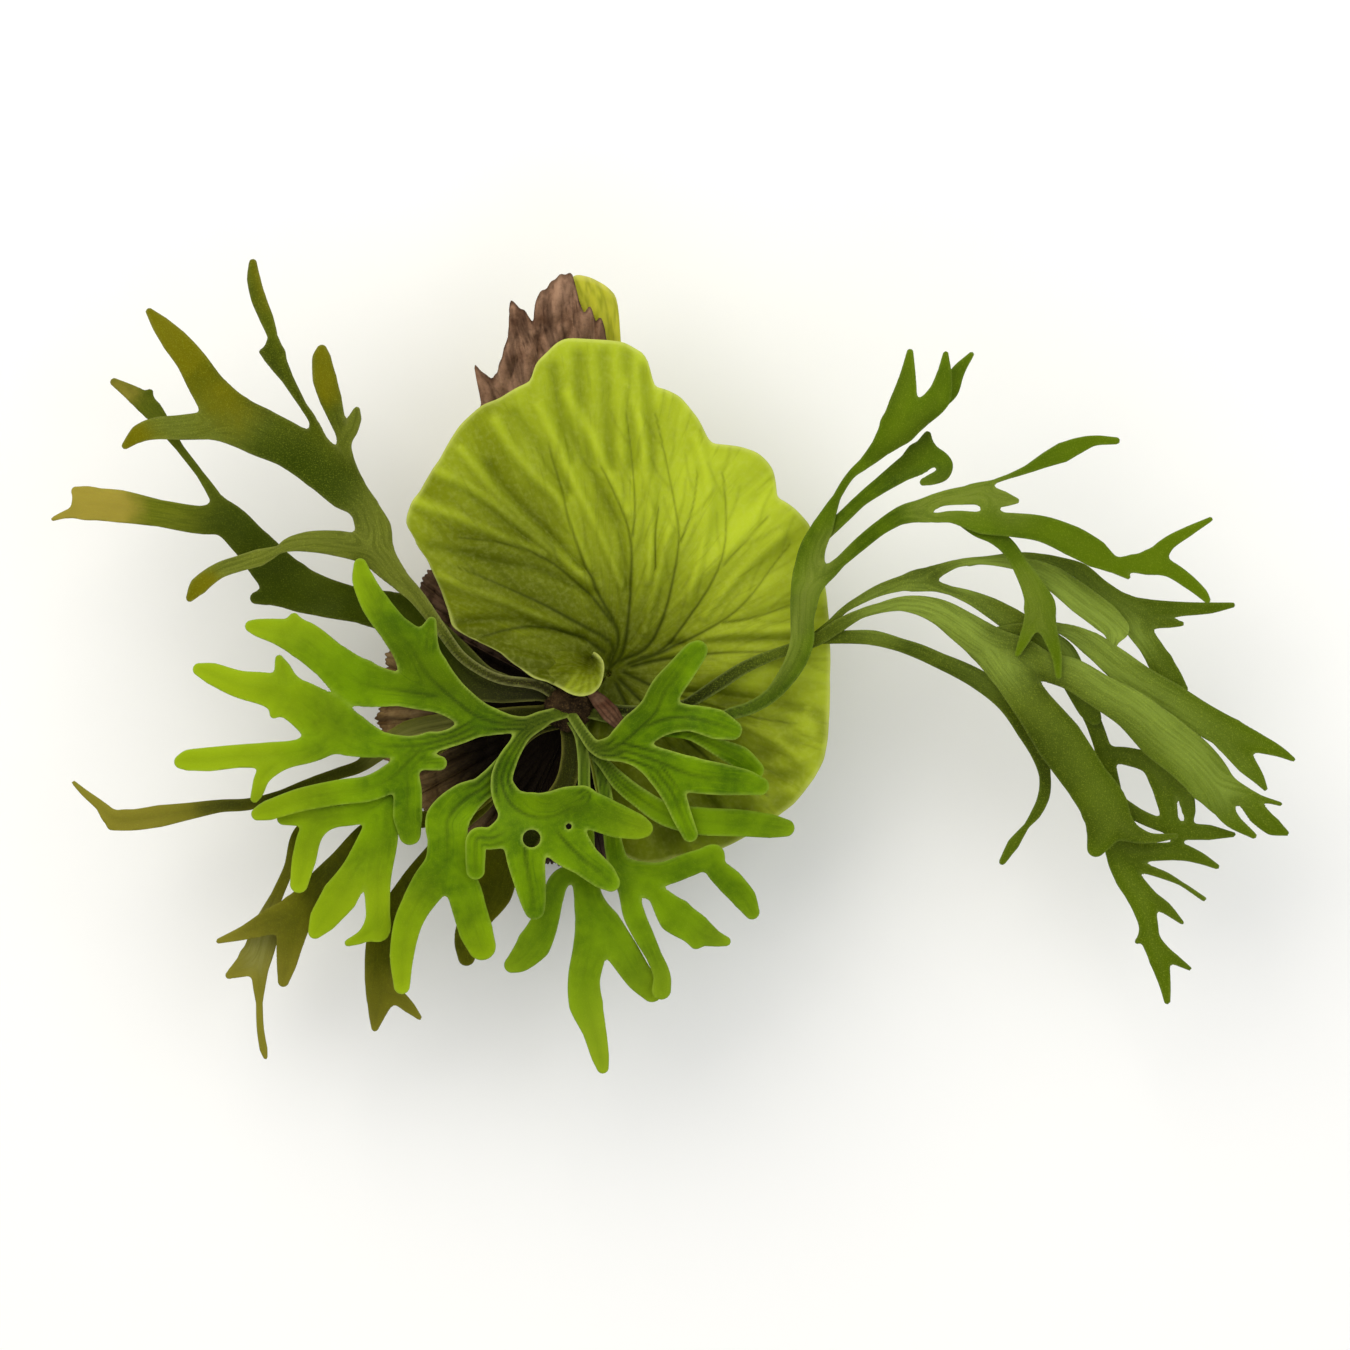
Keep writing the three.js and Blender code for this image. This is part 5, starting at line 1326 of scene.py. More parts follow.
        # painted highlight on the pleat crests
        ridge = np.maximum(ridge, (0.5 + 0.5 * fold) * 0.45)
        middle = np.stack([x, y, z], 2)
        normal = np.cross(np.gradient(middle, axis=1), np.gradient(middle, axis=0)).reshape(-1, 3)
        normal /= np.maximum(np.linalg.norm(normal, axis=1), 1e-9)[:, None]
        ids = np.arange(x.size).reshape(x.shape)
        walk = np.concatenate([ids[0, :-1], ids[:-1, -1], ids[-1, :0:-1], ids[:0:-1, 0]])
        rim = np.stack([walk, np.roll(walk, -1)], 1)
        margin = reach[:, None] - radius
        thickness = self.thickness * (0.5 + 0.5 * smoothstep(0.0, 1.8, margin.ravel()))
        hub = self.hub or self.centre
        free = smoothstep(self.free_from, self.free_from + 20, angle)[:, None]
        values = {
            "vein": vein,
            "ridge": ridge * smoothstep(0.1, 0.5, share),
            "edge": bell(margin, 1.3) * free,
            "valley": valley,
            "shade": self.shade(x, y),
            # painted light: paler towards +x and +y, the lit side
            "pale": self.lit_side_paleness * smoothstep(-30.0, 100.0, x * 0.9 + (y - self.centre[1]) * 0.4),
            "turn": TURN_LENGTH * np.arctan2(y - hub[1], x - hub[0]) + 0.6 * ripples(x, y, Ripple.FIBRE),
            "spoke": np.hypot(x - hub[0], y - hub[1]),
        }
        flat = {key: value.ravel() for key, value in values.items()}
        return Skin.thickened(middle.reshape(-1, 3), normal, thickness, lattice_faces(ids), rim, flat)

    def shade(self, x: Array, y: Array) -> Array:
        """Gives how much darker the shield is: most at its centre, and over its sectors.

        The centre fades as e to the minus squared distance. A sector is full between its angles,
        softened over 22 degrees, and fades out beyond its reach.

        Args:
            x: Points' x.
            y: Points' y.

        Returns:
            The share of the shade's colour at each point.
        """
        away = np.hypot(x - self.centre[0], y - self.centre[1])
        angle = np.degrees(np.arctan2(y - self.centre[1], x - self.centre[0]))
        angle = np.where(angle < -130, angle + 360, angle)
        dark = self.gloom * bell(away, self.gloom_reach)
        for low, high, depth, far in self.sectors:
            sector = smoothstep(low - SECTOR_FADE, low + SECTOR_FADE, angle)
            sector = sector * smoothstep(high + SECTOR_FADE, high - SECTOR_FADE, angle)
            dark = np.maximum(dark, depth * sector * smoothstep(far * 1.25, far * 0.6, away))
        return dark

    def build(self) -> bpy.types.Object:
        """Builds and dresses the shield, with its rolled lobe where it has one."""
        skins = [self.skin(), self.lobe.skin()] if self.lobe else [self.skin()]
        return Skin.joined(skins).piece(f"{self.node}_leaf", self.finish, self.node)


# Crown and root ball


def tube_faces(around: int, rows: int) -> Array:
    """Gives the triangles of a closed tube whose last two corners are its bottom and top poles.

    Args:
        around: Corners round the tube.
        rows: Corners along it.

    Returns:
        The triangles.
    """
    ids = np.arange(around * rows).reshape(around, rows)
    after = np.roll(ids, -1, axis=0)
    a, b = ids[:, :-1].ravel(), after[:, :-1].ravel()
    c, d = after[:, 1:].ravel(), ids[:, 1:].ravel()
    bottom, top = around * rows, around * rows + 1
    return np.concatenate([
        np.stack([a, b, c], 1),
        np.stack([a, c, d], 1),
        np.stack([after[:, 0], ids[:, 0], np.full(around, bottom)], 1),
        np.stack([ids[:, -1], after[:, -1], np.full(around, top)], 1),
    ])


@dataclass
class Crown:
    """The bud that all leaves grow from: a blunt stump covered in upright brown scales.

    Low side is how much lower the bud is on its lower side, where the stalks come over it.
    """

    radius: float = 12.0
    foot: float = 58.3
    top: float = 94.0
    low_side: float = 7.0
    around: int = 96
    rows: int = 60
    scales: int = 900
    scale_width: float = 0.32

    def build(self) -> bpy.types.Object:
        """Builds and dresses the stump and its scales in one piece."""
        return Skin.joined([self.stump(), self.fuzz()]).piece("crown_bud", BUD_FUZZ, "crown")

    def stump(self) -> Skin:
        """Turns a blunt profile round the crown's axis and roughens it.

        The radius is the crown's, drawn in over the top fifth as the root of 1 less the share of
        the way up it to the power 2.4, with lumps that are sines of angle and height.

        Returns:
            The closed stump.
        """
        h = np.linspace(0, 1, self.rows)
        turn = np.linspace(0, 2 * math.pi, self.around, endpoint=False)[:, None]
        top = np.clip((h - 0.82) / 0.18, 0, 1)
        radius = self.radius * np.sqrt(np.maximum(1 - top**2.4, 0))
        height = self.foot + (self.top - self.foot) * (h * 0.985)
        lump = 1 + 0.05 * np.sin(7 * turn + 9 * h) * np.sin(11 * h) + 0.03 * np.sin(17 * turn - 21 * h)
        x = CROWN_AXIS[0] + radius * lump * np.cos(turn) * 0.96
        y = CROWN_AXIS[1] + radius * lump * np.sin(turn) * 0.96
        z = height - self.low_side * smoothstep(0.6, 1.0, h) * smoothstep(3.0, -9.0, y - CROWN_AXIS[1])
        poles = [[*CROWN_AXIS, self.foot], [*CROWN_AXIS, self.top - 0.3 - 0.14 * self.low_side]]
        corners = np.vstack([np.stack([x, y, z], 2)[:, :-1].reshape(-1, 3), poles])
        return Skin.plain(corners, tube_faces(self.around, self.rows - 1))

    def fuzz(self) -> Skin:
        """Sets slim three-sided scales over the dome, leaning outwards.

        Returns:
            All scales as one sheet of closed bodies.
        """
        rng = np.random.default_rng(SEED)
        radius = self.radius * 0.97 * np.sqrt(rng.random(self.scales))
        turn = rng.random(self.scales) * 2 * math.pi
        x = CROWN_AXIS[0] + radius * np.cos(turn)
        y = CROWN_AXIS[1] + radius * np.sin(turn)
        z = self.top - 2.5 - 4.5 * (radius / self.radius) ** 3
        root = np.stack([x, y, z], 1)
        root[:, 2] -= self.low_side * smoothstep(3.0, -9.0, y - CROWN_AXIS[1])
        lean = np.stack([np.cos(turn), np.sin(turn), 2.2 + rng.random(self.scales)], 1)
        lean += rng.normal(0, 0.35, lean.shape)
        lean /= np.linalg.norm(lean, axis=1)[:, None]
        length = 2.0 + 2.2 * rng.random(self.scales)
        side = np.cross(lean, [0.31, 0.22, 0.93])
        side /= np.linalg.norm(side, axis=1)[:, None]
        turns = (np.array([0, 2, 4]) * math.pi / 3)[None, :, None]
        ring = np.cos(turns) * side[:, None] + np.sin(turns) * np.cross(lean, side)[:, None]
        feet = root[:, None] + self.scale_width * ring
        corners = np.concatenate([feet, (root + lean * length[:, None])[:, None]], axis=1)
        first = 4 * np.arange(self.scales)[:, None, None]
        faces = first + np.array([[0, 1, 3], [1, 2, 3], [2, 0, 3], [0, 2, 1]])[None]
        return Skin.plain(corners.reshape(-1, 3), faces.reshape(-1, 3))


# Profile of the root ball: spread, rise, share of the way from back to front
PROFILE = np.array([
    [0.84, 0.0, 0.0], [0.96, 0.12, 0.1], [1.0, 0.27, 0.22], [0.97, 0.44, 0.36], [0.89, 0.61, 0.5],
    [0.76, 0.76, 0.64], [0.58, 0.89, 0.78], [0.38, 0.965, 0.89], [0.2, 1.0, 1.0],
])


@dataclass
class RootBall:
    """The root ball: a lumpy dome with a flat back, matted with thin roots."""

    centre: tuple[float, float] = (-14.0, -14.0)
    half_width: float = 72.0
    half_height: float = 66.0
    depth: float = 58.0
    around: int = 200
    rows: int = 100
    roots: int = 620
    root_links: int = 9
    root_sides: int = 4
    lowest: float = 0.05

    def shape(self, turn: Array, share: Array) -> Array:
        """Gives points on the dome: a spread that follows the solid's profile, and lumps of sines.

        Args:
            turn: Angles round the ball.
            share: Shares of the way from back to front.

        Returns:
            The points.
        """
        spread = np.interp(share, PROFILE[:, 2], PROFILE[:, 0])
        rise = np.interp(share, PROFILE[:, 2], PROFILE[:, 1])
        lump = 0.03 * np.sin(5 * turn + 9 * share) + 0.022 * np.sin(9 * turn - 13 * share)
        lump = 1 + lump * (1 - rise**6)
        lump += 0.012 * np.sin(23 * turn + 31 * share) * np.sin(19 * turn - 17 * share) * (1 - rise**6)
        mid_x = self.centre[0] + (CROWN_AXIS[0] - self.centre[0]) * smoothstep(0.5, 1.0, rise)
        mid_y = self.centre[1] + (CROWN_AXIS[1] - self.centre[1]) * smoothstep(0.5, 1.0, rise)
        x = mid_x + self.half_width * spread * lump * np.cos(turn)
        y = mid_y + self.half_height * spread * lump * np.sin(turn)
        return np.stack([x, y, self.depth * rise], -1)

    def build(self) -> bpy.types.Object:
        """Builds and dresses the dome and its roots in one piece."""
        return Skin.joined([self.dome(), self.mat()]).piece("root_ball_mat", ROOT_MAT, "root_ball")

    def dome(self) -> Skin:
        """Closes the dome with a pole at its flat back and one under the crown.

        Returns:
            The closed dome.
        """
        turn = np.linspace(0, 2 * math.pi, self.around, endpoint=False)[:, None]
        dome = self.shape(*np.broadcast_arrays(turn, np.linspace(0, 1, self.rows)[None, :]))
        corners = np.vstack([dome.reshape(-1, 3), [*self.centre, 0.0], [*CROWN_AXIS, self.depth]])
        return Skin.plain(corners, tube_faces(self.around, self.rows))

    def mat(self) -> Skin:
        """Lays thin roots on the dome as short tubes that wander along its surface.

        Angle and share run along each root as a straight line plus a sine, the root arches off the
        dome as a sine, and its tube is thickest half way.

        Returns:
            All roots as one sheet of closed bodies.
        """
        rng = np.random.default_rng(SEED + 1)
        count = self.roots
        turn = rng.random(count)[:, None] * 2 * math.pi
        share = 0.06 + 0.8 * rng.random(count)[:, None]
        t = np.linspace(0, 1, self.root_links)[None, :]
        swing = rng.normal(0, 0.22, (count, 1)) * t + rng.normal(0, 0.06, (count, 1)) * np.sin(t * 7)
        climb = rng.normal(0, 0.12, (count, 1)) * t + 0.02 * np.sin(t * 9 + turn)
        path = self.shape(turn + swing, np.clip(share + climb, 0.05, 0.93))
        outward = path - np.array([*self.centre, 0.0])
        outward /= np.linalg.norm(outward, axis=2)[..., None]
        path = path + outward * (0.5 + 0.5 * np.sin(t * math.pi))[..., None]
        ahead = np.gradient(path, axis=1)
        ahead /= np.linalg.norm(ahead, axis=2)[..., None]
        side = np.cross(ahead, outward)
        side /= np.linalg.norm(side, axis=2)[..., None]
        thick = (0.35 + 0.5 * rng.random((count, 1))) * (0.35 + 0.65 * np.sin(t * math.pi) ** 0.5)
        around = np.linspace(0, 2 * math.pi, self.root_sides, endpoint=False)[None, :, None, None]
        ring = np.cos(around) * side[:, None] + np.sin(around) * outward[:, None]
        tubes = (path[:, None] + thick[:, None, :, None] * ring).reshape(count, -1, 3)
        corners = np.concatenate([tubes, path[:, :1], path[:, -1:]], axis=1)
        corners[..., 2] = np.maximum(corners[..., 2], self.lowest)
        first = corners.shape[1] * np.arange(count)[:, None, None]
        faces = tube_faces(self.root_sides, self.root_links)[None, :, ::-1] + first
        return Skin.plain(corners.reshape(-1, 3), faces.reshape(-1, 3))


# Leaf tables: stations are x, y, z and half width

# The bright frond in front, with a left arm and a lower arm from one stalk
FRONT_FROND = Frond(
    "front_frond", BRIGHT, stalk=84.0, arch=0.12,
    # painted shade on parts of the blade that lie in shadow
    dusk=[
        (15, 0.55, [(-104, 26), (-84, 12), (-62, 4)]), (11, 0.45, [(-76, -14), (-58, -34)]),
        (12, 0.4, [(-78, 34), (-70, 46)]), (10, 0.35, [(-30, -46), (-14, -52)]),
    ],
    sheets=[BladeSheet([
        # left arm, with its upper finger
        [[-18, -6, 88, 3.2], [-28, -8.8, 91.5, 3.5], [-37, -12, 95.5, 3.8], [-45, -12, 98.5, 4.5],
         [-55, -10.5, 102, 7], [-62, -8, 104, 8], [-75, 2, 108, 9], [-87, 14, 112, 12],
         [-94, 26, 115, 10], [-103, 36, 117, 7.5], [-112, 48, 118, 7], [-118, 60, 118, 5.5],
         [-119.5, 67.5, 117, 3.2]],
        [[-88, 20, 113, 8], [-86, 32, 116, 5], [-84, 39, 117, 2.5]],
        # upper middle finger
        [[-76, 1, 108.5, 8], [-100, 5, 112, 8], [-120, 9, 115, 12], [-135, 20, 117, 9.5],
         [-148, 30, 118, 9.5], [-160, 34, 118, 6.5], [-170, 36, 116, 4.5], [-174, 36.8, 115, 3]],
        [[-149, 32, 118, 5], [-152.5, 41, 118, 2.5]],
        # lower middle finger and its side tips
        [[-58, -11, 103, 6], [-75, -19, 107, 4.5], [-95, -23, 109, 5], [-110, -22, 111, 6.5],
         [-125, -17, 113, 11], [-137, -10, 115, 13], [-150, -1, 116.5, 11], [-165, 5, 117, 8.5],
         [-180, 8, 116.5, 6.8], [-193, 13, 115, 5.5], [-200, 15.3, 113, 3.2]],
        [[-153, 3, 117, 6], [-158, 15, 117, 4.2], [-160, 20.5, 116.5, 2]],
        [[-158, 0, 117, 5], [-162.5, -7, 117, 2.2]],
        # lowest finger of the left arm
        [[-130, -14, 114, 9], [-138, -21, 115, 7.5], [-150, -26, 116, 6.5], [-165, -27.5, 116, 6.5],
         [-180, -28, 115.5, 5.8], [-195, -29.5, 114, 6], [-205, -30, 112, 5.3], [-209, -30.8, 111, 3.5]],
        [[-158, -29, 116, 5], [-168, -38, 115, 4], [-171, -46, 114, 3], [-172.5, -49, 113.5, 2]],
        # lower blade of the left arm
        [[-85, -21, 108, 4.5], [-95, -30, 108, 6], [-103, -38, 108, 7], [-115, -44, 108, 6.5],
         [-130, -46, 109, 6.3], [-150, -50, 108, 5.8], [-165, -55, 106, 5], [-171, -57, 105, 3.2]],
        [[-93, -30, 108, 5], [-86, -31, 108, 4], [-80, -31.5, 107.5, 3.6]],
        [[-97, -35, 108, 6], [-96, -45, 107.5, 7], [-96, -58, 106.5, 7.3], [-95, -67, 105, 5.5]],
        # lower arm, which spreads into a broad blade with four fingers
        [[-30, -11, 92, 3.6], [-38, -17, 96, 3.8], [-42, -23, 99, 4], [-46.5, -31, 104, 5],
         [-49, -41, 109, 5.5], [-44, -52, 114, 8], [-34, -58, 118, 12], [-24, -58, 119, 12.5],
         [-14, -54, 118, 11], [-5, -55, 117.5, 9.5], [8, -60, 117, 8.5], [18, -63, 116, 6.5],
         [22, -64, 115.5, 4.5]],
        [[-14, -54, 118, 8], [-8, -48, 117, 5]],
        [[-36, -62, 119, 13], [-37, -76, 120, 10], [-35, -90, 118.5, 8], [-33.3, -100, 116, 6.3],
         [-32.6, -104.5, 115, 5]],
        [[-24, -62, 119, 12], [-16, -72, 119.5, 11], [-8, -79.5, 119, 8], [1, -87, 117, 6.8],
         [5.5, -91, 116, 4.6]],
        [[-44, -64, 119, 8], [-54, -69, 119, 5.5], [-61, -69, 118.5, 5.2], [-62, -78, 118, 5],
         [-62, -85, 116, 4.6]],
    ], holes=[[-34, -69, 4.5], [-15.5, -63, 1.6]]), BladeSheet([
        # two long lobes of the lower arm, a little behind its blade
        [[-41, -21.5, 97, 3.2], [-47, -31, 102.3, 4.6], [-55, -41, 106, 6], [-60, -45, 107, 6],
         [-68, -50, 109, 8.5], [-76, -60, 111, 11], [-76, -70, 112, 10], [-77, -82, 112, 10.5],
         [-85, -92, 111, 9], [-92, -103, 110, 7.5], [-96, -112, 108, 7], [-99, -128, 105, 6],
         [-99, -143, 101, 4]],
        [[-74, -84, 112, 9], [-68, -95, 111, 8.7], [-65, -105, 109.5, 8.5], [-62, -115, 108, 8.5],
         [-59, -123, 106, 7]],
    ]), BladeSheet([
        # lobes carried behind the left arm
        [[-101, -42, 107, 6], [-112, -53, 104.5, 6.5], [-130, -58, 104, 5.3], [-148, -58.5, 103, 4.6],
         [-158, -59, 102, 3.5]],
        [[-106, -48, 106, 6], [-108, -70, 103, 7], [-111, -90, 101, 6.5], [-111, -108, 98, 6],
         [-111, -115, 97, 6]],
        [[-111, -112, 98, 5.5], [-119, -118.5, 96, 3.2], [-126, -121.5, 95, 1.8]],
        [[-110, -60, 104, 6], [-122, -85, 102, 7], [-130, -98, 100, 9], [-138, -109, 98, 7],
         [-142.5, -116, 97, 3.5]],
        [[-135, -58, 104, 5], [-144, -66, 103, 6], [-148, -80, 101, 6], [-150.5, -92, 99, 4.5]],
    ])],
)

# The bright frond just right of the crown
RIGHT_BRIGHT_FROND = Frond(
    "right_bright_frond", BRIGHT, stalk=70.0, arch=0.12,
    # painted shade on parts of the blade that lie in shadow
    dusk=[(11, 0.5, [(10, -6), (20, 0), (30, 14)])],
    sheets=[BladeSheet([
        [[-14, -8, 88, 2.6], [-8, -17, 92, 2.8], [-2, -24, 97, 3.5], [5, -25, 101, 5], [13, -20, 104, 8],
         [20, -14, 107, 9], [28, -6, 110, 9], [33, 5, 112, 8], [40, 14, 114, 7], [47, 23, 114, 6],
         [49, 25, 113.5, 4.8]],
        [[18, -16, 106, 8], [32, -9.5, 109, 8], [45, -9, 111, 6.5], [58, -12, 112, 7.5],
         [66, -15, 111, 5]],
        [[3, -24, 100, 4.5], [15, -26, 104, 6], [30, -31, 107, 7], [45, -37, 110, 9],
         [60, -39.5, 111, 8], [72, -41, 110, 6.5], [80, -43, 108.5, 4.5]],
        [[24, -30, 106, 6], [36, -46, 107, 6], [41, -58, 106, 5], [45, -67, 104, 4]],
    ]), BladeSheet([
        [[30, -14, 106, 4], [45, -16, 105, 4], [52, -20, 104, 3.5], [60, -24, 103.5, 4.5],
         [70, -29, 102.5, 6], [77, -35, 101, 5]],
    ])],
)

# The twisted grey-green frond at the upper left
UPPER_LEFT_FROND = Frond(
    "upper_left_frond", HOARY, stalk=90.0, arch=0.16,
    aged=[
        (24, 1.0, [(-222, 196), (-212, 176)]), (19, 0.62, [(-204, 166), (-184, 148)]),
        (13, 0.9, [(-240, 127), (-232, 131)]), (12, 0.75, [(-139, 178), (-136, 156)]),
        (9, 0.9, [(-204, 52), (-196, 58)]), (14, 0.8, [(-165, 222), (-158, 205)]),
    ],
    pale=[
        (15, 0.9, [(-86, 38), (-98, 58), (-110, 78), (-119, 96)]),
        (15, 0.9, [(-120, 84), (-145, 80), (-175, 68), (-198, 55)]),
        (15, 0.75, [(-225, 134), (-200, 136), (-178, 128)]), (11, 0.7, [(-123, 128), (-121, 142)]),
    ],
    # painted shade on the shadowed inner side of the blade
    dusk=[(17, 0.95, [(-166, 122), (-148, 116), (-132, 104)])],
    sheets=[BladeSheet([
        [[-18, -1, 86, 3], [-30, 7, 90, 2.6], [-50, 10.5, 96, 2.4], [-60, 15, 98, 2.4],
         [-70, 22.5, 100, 2.6], [-80, 36, 102.5, 3], [-92, 52, 105, 4], [-100, 60, 107, 5],
         [-111, 74, 110, 8.5], [-113, 85, 112, 9], [-117, 95, 114, 7], [-121, 105, 117, 3.5],
         [-125, 120, 121, 2.5], [-129, 134, 124, 3], [-134, 150, 128, 5.5], [-137, 160, 128, 6],
         [-138.5, 170, 127, 4.7], [-138.5, 174.5, 125, 2.6]],
        [[-127.5, 128, 123, 2.4], [-124, 134, 126, 3.3], [-122, 140, 129, 3.3], [-121, 144.5, 132, 1.6]],
        [[-112, 74, 110, 7], [-130, 78, 114, 6.5], [-145, 79, 118, 5.2], [-155, 77.5, 120, 3.5],
         [-160, 75, 121, 2], [-170, 71, 122, 4.3], [-180, 68, 121, 4], [-190, 64.5, 119, 4],
         [-200, 57, 116, 4.5], [-204.5, 51, 113, 2]],
        [[-118, 97, 114.5, 6], [-127, 105, 116, 10], [-139, 117, 117, 12], [-155, 127, 116, 11],
         [-170, 134, 115, 12], [-183, 141, 114, 12], [-195, 155, 113, 9], [-204.5, 170, 112, 7.3],
         [-212, 179, 111, 6.5], [-219, 187, 109, 4.5], [-225, 194, 107, 1.8]],
        [[-180, 138, 114, 10], [-195, 137, 114, 7], [-210, 136, 114, 6.2], [-222, 135.5, 113, 5.5],
         [-230, 133, 111, 4.5], [-237, 127, 109, 1.8]],
        [[-139, 122, 117, 6], [-143, 139, 119, 2], [-148, 147, 121, 1.8], [-155.5, 160, 123, 3],
         [-162, 172, 124, 5.5], [-163, 181, 125, 2.5], [-166, 190, 125, 3.5], [-170, 200, 124, 3.8],
         [-172.5, 210, 122, 3.4], [-173, 218, 120, 2]],
        [[-162, 172, 124, 4], [-168.5, 173.5, 123, 1.2]],
    ])],
)

# The dark frond behind it
DARK_LEFT_FROND = Frond(
    "dark_left_frond", BROWN_TIPPED, stalk=60.0, arch=0.16,
    aged=[(17, 1.0, [(-268, 98), (-246, 97)]), (10, 0.5, [(-243, 160), (-236, 154)])],
    pale=[(17, 0.9, [(-240, 97), (-208, 93)]), (9, 0.5, [(-228, 145), (-214, 122)])],
    # painted shade on parts of the blade that lie in shadow
    dusk=[(18, 0.8, [(-190, 87), (-176, 78), (-160, 66)]), (16, 0.7, [(-140, 48), (-118, 40)])],
    sheets=[BladeSheet([
        [[-18, 1, 80.5, 4], [-30, 3.5, 82.3, 4], [-40, 4.5, 83.3, 5.5], [-50, 6, 84.7, 7.5],
         [-60, 9, 86, 9], [-75, 22, 89, 10], [-100, 42, 93, 11], [-120, 47, 96, 8.5], [-140, 52, 98, 10],
         [-155, 58, 100, 12], [-175, 79, 102.5, 9], [-187, 90, 103, 8.5], [-200, 90, 104, 7],
         [-220, 93.3, 104, 6.7], [-240, 96.8, 103.5, 8.2], [-256, 98.2, 102, 8]],
        [[-155, 58, 100, 10], [-165, 52.5, 99, 5], [-172, 51, 98, 3]],
        [[-186, 90, 103, 7], [-192, 101, 102.5, 3], [-200, 113, 102, 1.9], [-210, 126, 101, 2],
         [-215, 133, 101, 3], [-224, 145, 100, 5], [-232, 152, 99, 4.5], [-243, 159, 97, 2]],
        [[-228, 148, 99.5, 3], [-225, 154, 98.5, 1.5]],
        [[-255, 101, 102, 5], [-262, 104.5, 101, 2.2]],
        [[-256, 95, 102, 4], [-268, 92.5, 100, 1.8], [-273.5, 90.5, 99, 1]],
    ])],
)

# Mid-green fronds that hang below
LOWER_CENTRE_FROND = Frond(
    "lower_centre_frond", GREEN,
    sheets=[BladeSheet([
        [[-17, -7, 83, 2.4], [-14, -11, 84.5, 2.5], [-10.5, -17, 87, 2.6], [-8.2, -30, 92, 3],
         [-8, -42, 95, 3], [-7, -65, 100, 4], [-8, -86, 102, 6], [-6, -98, 103, 7], [-4, -112, 103, 8.5],
         [-5, -124, 102, 8.5], [-8, -140, 100.5, 8], [-7, -152, 99, 8.5], [-3, -165, 96, 6],
         [0, -178, 93, 4.5], [1.3, -184, 91, 3]],
        [[-4, -104, 103, 7], [2, -112, 102.5, 8.5], [12, -127, 100, 8], [20, -139, 97, 7],
         [26, -146, 94, 5.2]],
        [[-10, -84, 101, 4], [-20, -90, 102, 5], [-24, -100, 103, 5.5], [-28, -112, 102, 7],
         [-33, -122, 101, 8.5], [-40, -130, 98, 6], [-44, -132.5, 97, 4]],
    ])],
)

LOWER_RIGHT_FROND = Frond(
    "lower_right_frond", GREEN,
    sheets=[BladeSheet([
        [[-12, -9, 76.5, 2.5], [-6, -20, 80, 2.6], [-1, -30, 84, 3], [4, -55, 92, 3.5], [8, -78, 98, 5],
         [14, -95, 102, 5], [17, -107, 103.5, 5.5], [22, -118, 103, 5], [27, -128, 102, 4],
         [31, -138, 100.5, 4.3], [30.7, -145, 99, 4.8]],
        [[14, -88, 101, 6], [28, -97, 103, 4.5], [38, -108, 104, 9], [48, -114.5, 103, 7.5],
         [57, -119, 101, 4.2], [63, -120.7, 99, 2.4]],
        [[46, -113, 103, 6], [48, -121.5, 101.5, 3]],
        [[10, -84, 100, 5], [30, -87, 104, 6], [45, -82, 105, 6], [57, -77.5, 105, 5]],
        [[56, -78, 105, 5], [58, -84, 104, 5.5], [65, -91, 102, 6.5], [72, -99, 99, 6],
         [76, -106, 97, 3.8]],
    ])],
)

RIGHT_LOW_FROND = Frond(
    "right_low_frond", GREEN,
    sheets=[BladeSheet([
        [[-12, -6, 79.8, 2.6], [-9, -14, 82, 2.6], [-5, -24, 86, 2.6], [2, -32, 90.5, 3],
         [10, -41, 95, 4.5], [20, -49, 98, 5], [33, -57, 99.5, 6], [50, -60.5, 100, 7],
         [70, -61.5, 99.5, 6.8], [85, -63, 98, 6], [93, -64, 97, 4.3]],
    ])],
)

